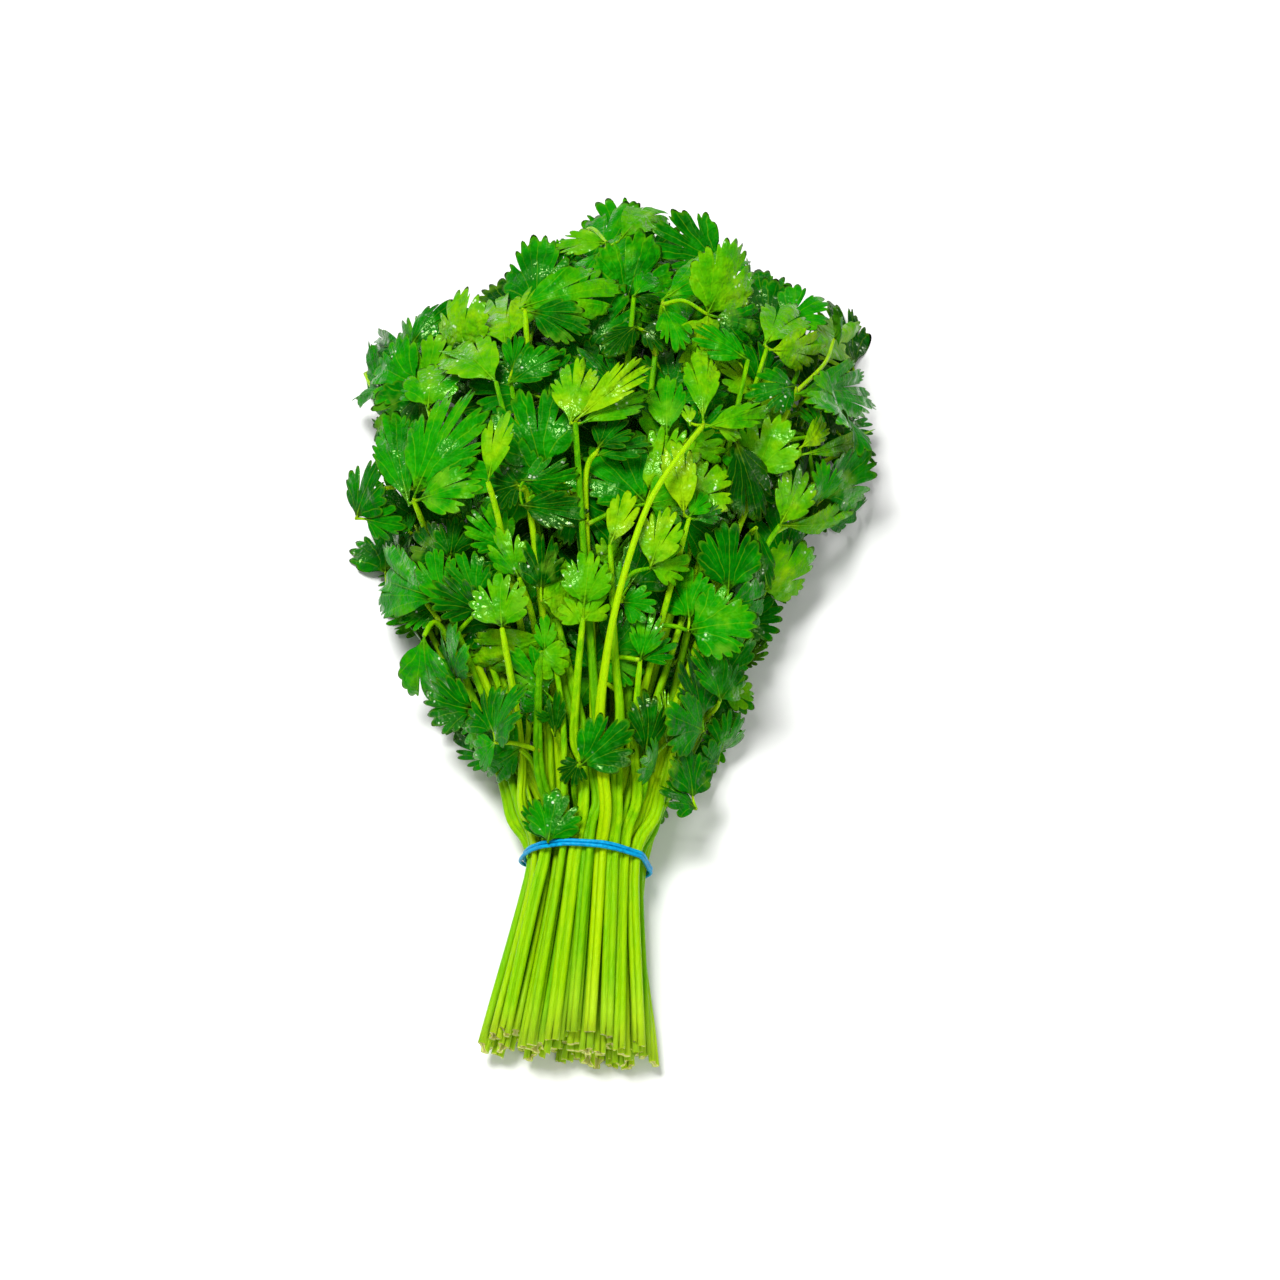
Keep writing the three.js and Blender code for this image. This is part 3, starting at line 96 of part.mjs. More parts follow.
  [[[25.682,-139.877,14.903,1.452],[19.426,-87.38,20.805,1.452],[24.161,-77.38,23.315,1.387],[25.946,-65.38,24.283,1.309],[28.527,-50.38,26.263,1.207],[32.375,-31.38,29.282,1.079],[38.438,-7.38,33.458,0.92],[43.201,15.614,23.238,0.771],[46.74,8.575,44.878,0.726]],[[0,[46.74,8.58,44.88],[[46.74,8.58,44.88,48.64,-7.28,30.59,0.555,-0.519,0.65,9.89,0.086,0.042,1,1,1]]],[[[39.52,-2.15,31.14],[43.2,-2.51,27.16],[47.29,-3.7,24.86]],[47.29,-3.7,24.86],[[49.32,-1.23,24.83,63.66,15.03,23.84,0.662,-0.553,0.507,19.07,0.069,-0.173,1,3,0],[47.29,-3.7,24.86,44.64,3.86,36.7,0.805,-0.402,0.437,15.17,0.013,-0.042,1,1,0]]],[[[43.2,15.61,23.24],[47.77,19.76,22.83],[52.23,23.16,22]],[52.23,23.16,22],[[52.23,23.16,22,55.4,34.34,13.51,0.828,-0.468,-0.308,11.74,0.021,-0.036,1,0,0]]],[[[42.98,14.57,23.7],[48.09,16.92,14.88],[52.08,18.95,8.86]],[52.08,18.95,8.86],[[52.08,18.95,8.86,58.54,24.27,19.13,0.866,-0.108,-0.488,11.06,0.061,0.142,0,2,0]]],[[[41.69,8.3,26.49],[43.48,5.22,15.24],[45.67,-0.96,11.49]],[45.67,-0.96,11.49],[[45.67,-0.96,11.49,44.71,9.77,10.83,-0.848,-0.043,0.529,9,0.035,0.198,0,0,0]]]]],
  [[[18.131,-140.665,13.522,1.469],[13.88,-87.38,20.74,1.469],[15.698,-77.38,24.049,1.385],[20.685,-50.38,31.082,1.142],[25.198,-31.38,36.916,0.966],[30.819,-9.931,44.491,0.778],[32.233,-14.819,46.372,0.735]],[[0,[32.23,-14.82,46.37],[[32.23,-14.82,46.37,37.49,-27.99,35.37,0.499,-0.43,0.753,10.31,0.032,0.155,2,0,1]]],[[[29.13,-16.37,42.22],[35.44,-15.67,42.94],[40.2,-15.45,42.75]],[40.2,-15.45,42.75],[[40.2,-12.26,43.01,39.14,6.49,50.27,0.33,-0.324,0.886,18.1,0.043,-0.033,1,1,0],[40.2,-15.45,42.75,51.79,-10.88,28.02,0.766,-0.442,0.466,17.21,0.062,0.088,1,1,0]]],[[[18.75,-60.02,28.63],[21.51,-61.99,29.54],[23.4,-64.62,29.96]],[23.4,-64.62,29.96],[[23.4,-64.62,29.96,22.03,-65.9,44.19,0.959,-0.277,0.067,12.16,0.011,-0.074,1,2,0]]]]],
  [[[-16.262,-142.195,6.737,1.502],[-8.466,-87.38,11.746,1.477],[-15.719,-77.38,13.245,1.394],[-19.978,-65.38,16.191,1.29],[-27.08,-50.38,21.016,1.115],[-42.38,-23.011,31.592,0.808],[-46.205,-29.467,34.201,0.751]],[[0,[-46.2,-29.47,34.2],[[-46.2,-29.47,34.2,-40.61,-43.61,13.04,-0.478,-0.783,0.397,19.75,0.1,0.113,0,2,1]]],[[[-38.01,-30.83,28.57],[-43.96,-19.25,22.45],[-45.31,-18.02,14.13]],[-45.31,-18.02,14.13],[[-45.31,-18.02,14.13,-40.29,-19.39,3.9,-0.884,-0.24,-0.402,11.1,0.092,0.003,1,1,0]]],[[[-42.38,-23.01,31.59],[-49.07,-15.89,33.3],[-52.4,-12.56,31.19]],[-52.4,-12.56,31.19],[[-52.4,-12.56,31.19,-59.64,-7.71,18.36,-0.883,-0.109,0.457,12.85,0.086,0.089,2,1,0]]]]],
  [[[-17.218,-143.503,9.947,1.614],[-8.675,-87.38,15.195,1.614],[-12.842,-77.38,17.399,1.506],[-17.478,-65.38,18.219,1.37],[-24.148,-50.38,23.877,1.153],[-40.061,-23.518,44.149,0.807]],[[0,[-40.06,-23.52,44.15],[[-40.23,-22.96,44.9,-69.37,2.55,11.61,-0.808,-0.199,0.555,21.14,0.086,-0.085,1,2,1],[-39.9,-24.08,43.4,-45.68,-7.38,48.03,-0.177,-0.319,0.931,12.62,0.109,-0.118,1,2,1]]],[[[-36.14,-30.2,39.26],[-32.72,-28.02,43.57],[-29.45,-26.21,46.43]],[-29.45,-26.21,46.43],[[-30.79,-23.44,47.32,-36.85,-11.07,51.48,-0.026,-0.33,0.944,12.88,0.076,0.169,2,1,0],[-29.45,-26.21,46.43,-43.37,-21.67,51.1,-0.087,-0.831,0.549,13.63,0.04,0.088,2,1,0]]],[[[-30.66,-39.44,32.26],[-33.57,-39.31,30.71],[-35.9,-39.55,27.97]],[-35.9,-39.55,27.97],[[-35.9,-39.55,27.97,-37.93,-30.19,43.2,-0.802,-0.55,0.232,16.81,0.063,-0.129,0,2,0]]]]],
  [[[-1.696,-138.469,1.68,1.482],[1.319,-87.38,3.692,1.252],[-9.769,-68.352,16.996,0.918],[-19.674,-61.421,22.825,0.737]],[[0,[-19.67,-61.42,22.83],[[-19.67,-61.42,22.83,-35.16,-50.42,11.92,-0.695,-0.362,0.621,12.13,0.065,0.143,2,1,1]]]]],
  [[[17.501,-140.014,10.256,1.359],[13.806,-87.38,14.611,1.249],[20.384,-70.437,25.555,0.886],[20.591,-62.3,34.628,0.673]],[[0,[20.59,-62.3,34.63],[[20.59,-62.3,34.63,19.97,-45.42,42.45,0.395,-0.374,0.839,11.84,0.107,-0.136,0,0,1]]],[[[20.52,-65.26,31.33],[23.36,-60.06,31.44],[26.24,-54.97,29.62]],[26.24,-54.97,29.62],[[25.98,-55.25,30.15,24.22,-41.47,35.43,0.237,-0.321,0.917,6.26,0.03,0.105,2,3,1],[26.51,-54.69,29.09,31.98,-44.26,28.33,0.606,-0.263,0.751,7.42,0.059,-0.031,2,1,1]]]]],
  [[[11.423,-143.426,3.202,1.63],[9.438,-87.38,6.389,1.211],[0.43,-64.266,24.685,0.993],[-5.804,-56.862,36.796,0.814]],[[0,[-5.8,-56.86,36.8],[[-5.16,-59.1,36.33,-5.57,-47.31,41.57,-0.339,-0.392,0.855,6.79,0.038,-0.002,0,0,1],[-6.45,-54.62,37.26,-10.89,-54.12,40.03,0.233,-0.819,0.524,3.59,0.095,-0.127,1,1,1]]]]],
  [[[-7.327,-139.261,6.567,1.312],[-2.302,-87.38,10.881,1.237],[-6.738,-77.38,14.615,1.188],[-14.868,-65.38,16.997,1.143],[-18.837,-50.38,22.252,1.015],[-34.912,-18.34,38.613,0.739],[-40.382,-9.721,44.809,0.656]],[[0,[-40.38,-9.72,44.81],[[-40.38,-9.72,44.81,-53.59,1.01,41.67,-0.516,-0.416,0.749,12.75,0.049,0.067,0,0,1],[-40.38,-9.72,44.81,-39.95,1.85,50.82,0.16,-0.46,0.873,11.53,0.063,-0.078,1,1,1]]],[[[-28.58,-30.96,32.17],[-24.18,-28.17,37.07],[-21.44,-27.63,39.92]],[-21.44,-27.63,39.92],[[-24.51,-26.71,39.83,-40.54,-20.87,37.91,-0.283,-0.511,0.812,18.12,0.021,0.038,2,0,0],[-21.44,-27.63,39.92,-24.8,-16.23,44.39,0.215,-0.301,0.929,11.79,0.066,0.029,1,1,0]]],[[[-26.63,-34.85,30.18],[-20.03,-25.39,31.21],[-15.83,-22.24,30.41]],[-15.83,-22.24,30.41],[[-18.81,-23.39,30.61,-30.35,-27.78,31.28,0.213,-0.425,0.88,10.97,0.1,0.099,2,0,0],[-15.83,-22.24,30.41,-23.5,-14.59,36.33,0.406,-0.27,0.873,11.69,-0.011,0.047,0,1,0],[-15.83,-22.24,30.41,-18.47,-31.59,24.72,0.191,-0.549,0.814,10.96,0.082,-0.052,1,2,0]]],[[[-34.43,-19.31,38.12],[-38.89,-17.92,35.36],[-42.98,-17.49,31.38]],[-42.98,-17.49,31.38],[[-42.98,-17.49,31.38,-39.59,-5.63,35.53,-0.37,-0.211,0.905,10.59,0.019,0.076,0,2,0],[-42.98,-17.49,31.38,-55.1,-20.65,27,-0.297,-0.166,0.94,12.22,0.054,0.196,1,1,0]]]]],
  [[[20.598,-143.067,16.37,1.368],[16.644,-87.38,22.305,1.368],[19.233,-72.646,27.174,1.182],[17.079,-57.743,34.959,0.983],[16.973,-37.1,44.354,0.684]],[[0,[16.97,-37.1,44.35],[[16.99,-37.31,44.76,19.21,-23.64,49.66,0.185,-0.358,0.915,9.62,0.077,-0.103,2,2,1],[16.95,-36.89,43.95,26.57,-29.37,43.5,0.195,-0.192,0.962,9.08,0.063,-0.084,0,1,1]]],[[[16.97,-37.1,44.35],[10.71,-35.57,42.2],[6.9,-35.65,39.62]],[6.9,-35.65,39.62],[[8.64,-33.11,40.5,15.89,-22.54,44.85,-0.175,-0.27,0.947,14.53,0.016,0.05,1,2,0],[6.9,-35.65,39.62,17.53,-39.24,40,-0.117,-0.243,0.963,10.86,0.082,-0.125,2,2,0]]]]],
  [[[-6.254,-141.12,2.225,1.47],[-3.37,-105.38,3.592,1.388],[-1.781,-87.38,4.801,1.238],[-8.894,-77.38,2.846,1.223],[-42.487,-28.405,12.254,0.735]],[[0,[-42.49,-28.4,12.25],[[-42.49,-28.4,12.25,-52.39,-18.71,22.1,-0.804,-0.506,-0.311,15.3,0.021,-0.033,0,0,0],[-42.49,-28.4,12.25,-46.26,-33.17,25.36,-0.714,-0.567,-0.412,13.01,0.098,0.156,2,1,0],[-42.49,-28.4,12.25,-49.19,-16.99,6.46,-0.706,-0.603,-0.371,13.01,0.092,-0.159,0,2,0]]],[[[-13.25,-70.92,4.1],[-9.23,-69.37,7.27],[-5.58,-69.24,9.13]],[-5.58,-69.24,9.13],[[-7.65,-66.82,8.9,-18.96,-56.55,5.56,-0.6,-0.444,0.666,13.91,0.066,-0.227,0,2,0]]],[[[-38.5,-34.18,11.24],[-39.81,-31.82,7.98],[-40.89,-30.09,4.98]],[-40.89,-30.09,4.98],[[-40.89,-30.09,4.98,-47.36,-31.59,12.8,0.665,0.405,0.627,8.65,-0.019,0.068,1,0,0]]]]],
  [[[3.974,-143.007,1.144,1.414],[4.488,-87.38,3.042,1.414],[-3.05,-50.38,5.1,1.167],[-17.585,15.938,10.194,0.707]],[[0,[-17.59,15.94,10.19],[[-17.59,15.94,10.19,-17.53,33.54,8.08,-0.609,-0.093,-0.787,15.96,0.082,-0.007,0,2,0],[-17.59,15.94,10.19,-24.48,21.12,13.8,-0.514,-0.09,-0.853,8.41,0.006,-0.089,1,1,0],[-17.59,15.94,10.19,-6.14,22.43,2.85,-0.548,0.02,-0.836,13.56,0.006,0.017,2,0,0]]],[[[-16.88,12.77,9.94],[-20.53,12.46,6.44],[-23.8,11.04,3.64]],[-23.8,11.04,3.64],[[-25.24,13.86,4.12,-37.49,32.97,5.63,0.656,0.369,0.658,20.21,0.088,0.185,2,0,0],[-23.8,11.04,3.64,-34.3,12.49,17.86,0.791,0.25,0.559,17.36,-0.014,-0.166,2,0,0]]],[[[-12.2,-8.46,8.27],[-7.13,-6.42,9.22],[-4.07,-8.11,9.41]],[-4.07,-8.11,9.41],[[-4.07,-8.11,9.41,-10,3.47,6.84,-0.255,0.083,0.963,13.15,0,-0.101,1,1,0],[-4.07,-8.11,9.41,-0.13,-25.9,11.42,-0.252,0.054,0.966,14.35,0.047,0.154,1,0,0]]]]],
  [[[-9.52,-138.528,4.226,1.367],[-4.099,-87.38,7.1,1.256],[-10.839,-77.38,5.533,1.238],[-15.445,-65.38,8.923,1.221],[-31.329,-31.38,11.099,1.028],[-56.938,20.156,15.502,0.683]],[[0,[-56.94,20.16,15.5],[[-56.94,20.16,15.5,-51,32.84,14.94,-0.898,0.414,-0.15,12.62,0.025,0.157,1,1,0],[-56.94,20.16,15.5,-58.26,29.29,27.8,-0.946,0.202,-0.252,13.84,0.04,0.096,0,0,0],[-56.94,20.16,15.5,-54.07,26.39,1.75,-0.963,0.255,-0.086,13.84,0.039,0.073,1,1,0]]],[[[-27.31,-39.82,10.46],[-28.4,-37.07,6.55],[-29.75,-35.38,2.71]],[-29.75,-35.38,2.71],[[-31.96,-33.08,2.43,-40.49,-24.3,2.12,-0.087,-0.049,0.995,11.14,-0.003,0.09,0,0,0],[-29.75,-35.38,2.71,-25.5,-24.53,1.53,-0.075,0.136,0.988,11.57,-0.016,0.155,2,0,0],[-29.75,-35.38,2.71,-40.04,-37.71,0.99,-0.162,-0.013,0.987,9.17,0.068,0.188,1,1,0]]],[[[-46.21,-1.21,13.62],[-56.13,0.83,9.32],[-63.61,2.25,5.82]],[-63.61,2.25,5.82],[[-64.28,5.33,6.36,-67.32,26.02,6.17,-0.556,-0.074,0.828,22.18,-0.016,0.167,0,1,0],[-63.61,2.25,5.82,-45.46,12.06,10.84,-0.167,-0.185,0.968,18.3,0.092,0.182,2,1,0]]],[[[-31.84,-30.34,11.19],[-27.19,-27.93,11.68],[-23.64,-27.4,12.19]],[-23.64,-27.4,12.19],[[-26.15,-25.49,12.72,-40.4,-17.59,15.93,0.238,0.034,0.971,15.83,0.098,0.168,0,0,0],[-23.64,-27.4,12.19,-15.47,-10.51,11.31,0.181,-0.036,0.983,16.99,0.079,0.143,0,1,0]]],[[[-34.4,-25.12,11.62],[-29.41,-14.97,6.2],[-25.68,-9.27,3.91]],[-25.68,-9.27,3.91],[[-25.68,-9.27,3.91,-22.88,6.14,5.68,0.597,-0.198,0.778,14.1,0.024,-0.231,1,1,0],[-25.68,-9.27,3.91,-35.42,-19.52,6.03,0.543,-0.359,0.759,14.49,0.008,0.079,0,1,0]]],[[[-49.3,4.97,14.15],[-52.41,8.36,23.69],[-55.52,7.39,28.96]],[-55.52,7.39,28.96],[[-55.52,7.39,28.96,-57.32,14.45,27.79,-0.726,-0.072,0.684,6.09,0.021,-0.031,2,2,0]]]]],
  [[[1.88,-140.089,9.027,1.495],[3.629,-87.38,15.153,1.495],[1.275,-77.38,16.384,1.447],[-0.633,-65.38,16.37,1.389],[-10.215,-7.38,13.056,1.108],[-23.204,65.045,10.235,0.747]],[[0,[-23.2,65.04,10.24],[[-23.2,65.04,10.24,-28.48,83.25,11.02,-0.543,-0.122,-0.831,17.07,0.099,0.038,2,2,0],[-23.2,65.04,10.24,-31.75,67.59,14.76,-0.484,-0.078,-0.871,9,0.052,-0.173,0,2,0],[-23.2,65.04,10.24,-14.28,76.31,2.92,-0.576,-0.072,-0.814,14.51,0.018,-0.098,2,1,0]]],[[[-20.67,51.35,10.74],[-28.93,55.42,5.87],[-37.77,57.46,1.6]],[-37.77,57.46,1.6],[[-39.48,60.17,1.48,-46.5,71.26,0.27,-0.057,0.073,0.996,11.07,0.02,0.104,2,1,0],[-37.77,57.46,1.6,-30.09,66.98,0.38,0.034,0.1,0.994,10.81,0.076,0.008,1,0,0],[-37.77,57.46,1.6,-50.34,52.72,0.53,-0.085,0.002,0.996,12.54,0.017,0.167,1,1,0]]],[[[-20.46,50.19,10.78],[-19.92,49.93,6.24],[-19.59,48.69,2.77]],[-19.59,48.69,2.77],[[-19.59,48.69,2.77,-5.36,62.85,3.24,-0.003,-0.03,1,18.2,-0.009,0.189,0,1,0],[-19.59,48.69,2.77,-31.93,49.18,1.53,-0.102,-0.067,0.993,12.39,0.05,0.037,2,1,0]]],[[[-23.2,65.04,10.24],[-25.04,73.34,25.94],[-28.75,77.89,38.36]],[-28.75,77.89,38.36],[[-30.42,80.51,37.58,-40.54,96.36,33.17,-0.173,0.16,0.972,20.59,-0.004,0.004,1,0,0],[-28.75,77.89,38.36,-19.8,91.82,34.88,-0.33,0.424,0.843,18.18,0.043,-0.182,0,0,0],[-28.75,77.89,38.36,-41.01,79.27,39.04,0.051,-0.04,0.998,11.32,-0.017,0.05,2,1,0]]],[[[-18.57,39.66,11.18],[-26.69,39.59,9.39],[-33.42,38.24,7.83]],[-33.42,38.24,7.83],[[-34.07,41.36,7.63,-35.67,53.17,7.99,-0.592,-0.055,-0.804,10.02,-0.005,-0.183,1,0,0],[-33.42,38.24,7.83,-44.85,42.28,17.43,-0.665,-0.142,-0.733,15.74,0.035,-0.099,1,0,0]]],[[[-21.09,53.69,10.65],[-41.1,58.27,5.91],[-58.46,58.59,6.75]],[-58.46,58.59,6.75],[[-59.13,61.21,8.46,-65.63,77.54,17.47,0.807,-0.005,0.59,17.75,0.036,-0.195,0,0,0],[-58.46,58.59,6.75,-57.12,66.34,2.89,0.896,0.063,0.439,7.49,0.033,-0.14,2,2,0]]]]],
  [[[2.728,-139.837,5.391,1.32],[5.056,-87.38,8.871,1.32],[0.399,-7.38,9.686,1.027],[-4.946,91.702,13.438,0.66]],[[0,[-4.95,91.7,13.44],[[-4.95,91.7,13.44,0,108.24,23.94,-0.329,0.575,-0.749,18.18,0.004,0.068,0,1,0],[-4.95,91.7,13.44,-17.5,100.44,21.25,-0.259,0.409,-0.875,15.46,0.057,0.031,0,2,0],[-4.95,91.7,13.44,6.66,98.3,10.19,-0.458,0.421,-0.783,12.37,0.046,-0.139,0,1,0]]],[[[-4.57,84.63,13.12],[0.84,88.84,7.41],[5.54,91.61,1.98]],[5.54,91.61,1.98],[[5.28,94.8,1.81,3.51,113.09,3.37,-0.11,-0.095,0.989,16.74,0.058,0.095,2,1,0],[5.54,91.61,1.98,21.61,97.35,4.54,-0.167,0.028,0.986,14.8,0.087,0.049,2,0,0],[5.54,91.61,1.98,-2.94,93.71,0.21,-0.19,0.061,0.98,7.22,0.107,-0.108,2,2,0]]],[[[-0.05,0.89,9.92],[-0.2,1.51,6.07],[-1.74,-0.01,2.76]],[-1.74,-0.01,2.76],[[-4.81,0.85,2.5,-16.89,4.26,0.27,-0.172,0.037,0.984,10.67,0.093,0.002,1,1,0],[-1.74,-0.01,2.76,-4.78,14.39,2.74,-0.074,-0.014,0.997,12.12,0.065,-0.108,0,1,0],[-1.74,-0.01,2.76,-11.53,-12.09,1.66,-0.098,-0.011,0.995,14.1,-0.016,0.008,0,0,0]]],[[[-4.12,76.39,12.75],[-11.5,81.83,7.39],[-20.65,84.56,2.51]],[-20.65,84.56,2.51],[[-22.63,87.07,2.57,-33.49,100.93,3.64,0.053,-0.035,0.998,13.88,0.107,0.199,2,0,0],[-20.65,84.56,2.51,-14.28,97.39,3.32,-0.001,-0.063,0.998,13.16,-0.016,-0.062,1,1,0],[-20.65,84.56,2.51,-36.7,81.87,0.39,-0.126,-0.03,0.992,14.24,0.008,0.035,1,2,0]]],[[[-4.95,91.7,13.44],[-0.49,109.18,8.33],[0.6,123.6,5.86]],[0.6,123.6,5.86],[[-0.85,126.24,6.96,-10.47,143.79,14.75,0.16,-0.326,0.932,20.51,0.097,0.101,2,2,0],[0.6,123.6,5.86,14.26,138.32,11.61,0.059,-0.41,0.91,18.94,0.005,-0.215,0,0,0],[0.6,123.6,5.86,-19.05,121.47,11.93,0.303,-0.099,0.948,22.1,0.048,-0.133,1,2,0]]],[[[-3.93,72.86,12.6],[-24.02,77,20.48],[-35.28,75.57,25.37]],[-35.28,75.57,25.37],[[-33.04,77.77,24.78,-19.65,90.99,20.02,0.221,0.124,0.967,18.14,0.057,-0.079,0,0,0],[-35.28,75.57,25.37,-42.46,93.86,23.3,0.145,0.167,0.975,18.82,0.093,0.066,0,2,0]]],[[[-1.84,33.98,11],[-2.53,36.11,7.3],[-2.68,37.55,4.39]],[-2.68,37.55,4.39],[[-2.05,40.57,5.23,0.63,53.34,8.83,0.109,-0.291,0.951,11.08,0.044,0.025,0,2,0],[-2.68,37.55,4.39,10.99,42.7,2.54,0.221,-0.247,0.943,12.64,0.038,-0.012,0,0,0],[-2.68,37.55,4.39,-17.68,47.91,7.37,0.032,-0.234,0.972,17.58,0.084,-0.237,1,1,0]]],[[[-3.3,61.09,12.1],[-0.17,61.43,11],[3.59,60.4,9.96]],[3.59,60.4,9.96],[[5.84,62.68,9.86,21.52,75.87,11.41,-0.367,0.527,-0.767,17.63,-0.015,-0.13,0,1,0],[3.59,60.4,9.96,-1.21,76.42,25.2,-0.498,0.514,-0.698,19.01,0.035,0.044,1,2,0],[3.59,60.4,9.96,12.38,56.5,0.14,-0.556,0.471,-0.685,12.25,0.016,-0.21,2,1,0]]]]],
  [[[5.741,-141.747,3.774,1.408],[5.952,-87.38,5.938,1.408],[6.132,-77.38,5.884,1.372],[8.001,-50.38,6.532,1.274],[9.72,-31.38,7.439,1.206],[15.282,18.62,10.725,1.025],[18.548,44.62,12.82,0.931],[26.835,105.321,18.615,0.704]],[[0,[26.84,105.32,18.62],[[26.84,105.32,18.62,17.96,109.66,4.22,0.738,0.619,-0.269,15.71,0.026,0.161,1,2,0],[26.84,105.32,18.62,32.33,98.03,2.47,0.761,0.648,-0.033,16.7,0.034,-0.004,0,1,0],[26.84,105.32,18.62,17.11,121.12,18.53,0.841,0.517,-0.162,16.7,0.064,-0.107,0,1,0]]],[[[9.51,-33.75,7.33],[9.68,-31.54,4.16],[9.84,-29.89,1.22]],[9.84,-29.89,1.22],[[10.21,-26.71,1.18,11.97,-11.22,0.75,-0.014,0.03,0.999,14.9,0.01,0.015,1,2,0],[9.84,-29.89,1.22,19.73,-29.58,0.09,0.113,0.017,0.993,8.6,0.074,0.07,0,1,0],[9.84,-29.89,1.22,-6.01,-24.95,0.6,-0.033,0.018,0.999,16.54,0.101,-0.158,0,2,0]]],[[[7.55,-57.3,6.4],[3.89,-55.62,3.28],[-0.77,-55.47,0.76]],[-0.77,-55.47,0.76],[[-2.69,-52.92,1.03,-12.91,-39.3,2.94,0.077,-0.081,0.994,16.27,0.017,-0.214,1,2,0],[-0.77,-55.47,0.76,7.18,-50.55,0.83,0.011,-0.033,0.999,8.62,0.027,0.189,2,2,0],[-0.77,-55.47,0.76,-13.8,-60.12,2.96,0.173,-0.02,0.985,14.61,0.095,0.179,1,1,0]]],[[[26.84,105.32,18.62],[34.14,109.57,16.48],[39.23,112.09,16.11]],[39.23,112.09,16.11],[[38.31,114.5,18,33.98,122.83,24.63,0.924,0.341,0.175,9.31,0.045,-0.219,1,1,0],[39.23,112.09,16.11,38.28,125.2,10.53,0.974,0.145,0.175,12.28,0.012,-0.092,0,2,0],[39.23,112.09,16.11,37.83,109.53,25.93,0.947,0.251,0.201,10.03,0.01,0.125,1,2,0]]],[[[20.91,62.35,14.43],[23.28,64.36,11.12],[25.79,65.48,8.63]],[25.79,65.48,8.63],[[27.03,68.23,9.7,35.5,85.8,15.04,-0.373,-0.101,0.922,20.37,0.009,-0.074,0,1,0],[25.79,65.48,8.63,41.67,64.37,16.79,-0.46,-0.164,0.873,15.35,0.03,0.128,2,1,0]]],[[[23.89,84.19,16.51],[30.63,89.62,11.98],[38.55,88.18,9.73]],[38.55,88.18,9.73],[[38.55,88.18,9.73,38,77.59,6.78,-0.667,-0.167,0.726,9.9,0.043,0.001,2,2,0],[38.55,88.18,9.73,44.99,101.7,19.46,-0.691,-0.175,0.701,17,-0.018,-0.032,1,2,0]]],[[[26.84,105.32,18.62],[29.31,108.74,9.2],[33,107.84,3.36]],[33,107.84,3.36],[[33,107.84,3.36,27.54,122.28,12.88,0.493,0.601,-0.629,18.04,0.04,0.188,1,1,0],[33,107.84,3.36,45.25,100.36,6.29,0.49,0.532,-0.69,11.87,0.086,-0.169,2,0,0]]],[[[15.01,16.26,10.56],[5.41,22.56,7.29],[-2.69,26.82,3.5]],[-2.69,26.82,3.5],[[-2,29.93,3.18,1.86,47.54,1.54,-0.05,-0.081,-0.995,17.11,0.09,0.02,0,1,0],[-2.69,26.82,3.5,-9.96,32.58,4.1,-0.115,-0.04,-0.993,8.17,0.039,0.169,2,1,0]]],[[[26.37,102.05,18.28],[9.02,110.69,16.68],[-3.51,113.81,18.05]],[-3.51,113.81,18.05],[[-1.83,115.99,19.69,4.5,127.82,26.71,0.716,-0.598,0.361,15.33,0.064,-0.175,2,2,0],[-3.51,113.81,18.05,5.57,121.71,10.26,0.739,-0.64,0.212,11.74,0.044,0.148,2,2,0],[-3.51,113.81,18.05,-8.22,115.45,27.85,0.594,-0.697,0.402,10.08,-0.01,-0.079,0,2,0]]]]],
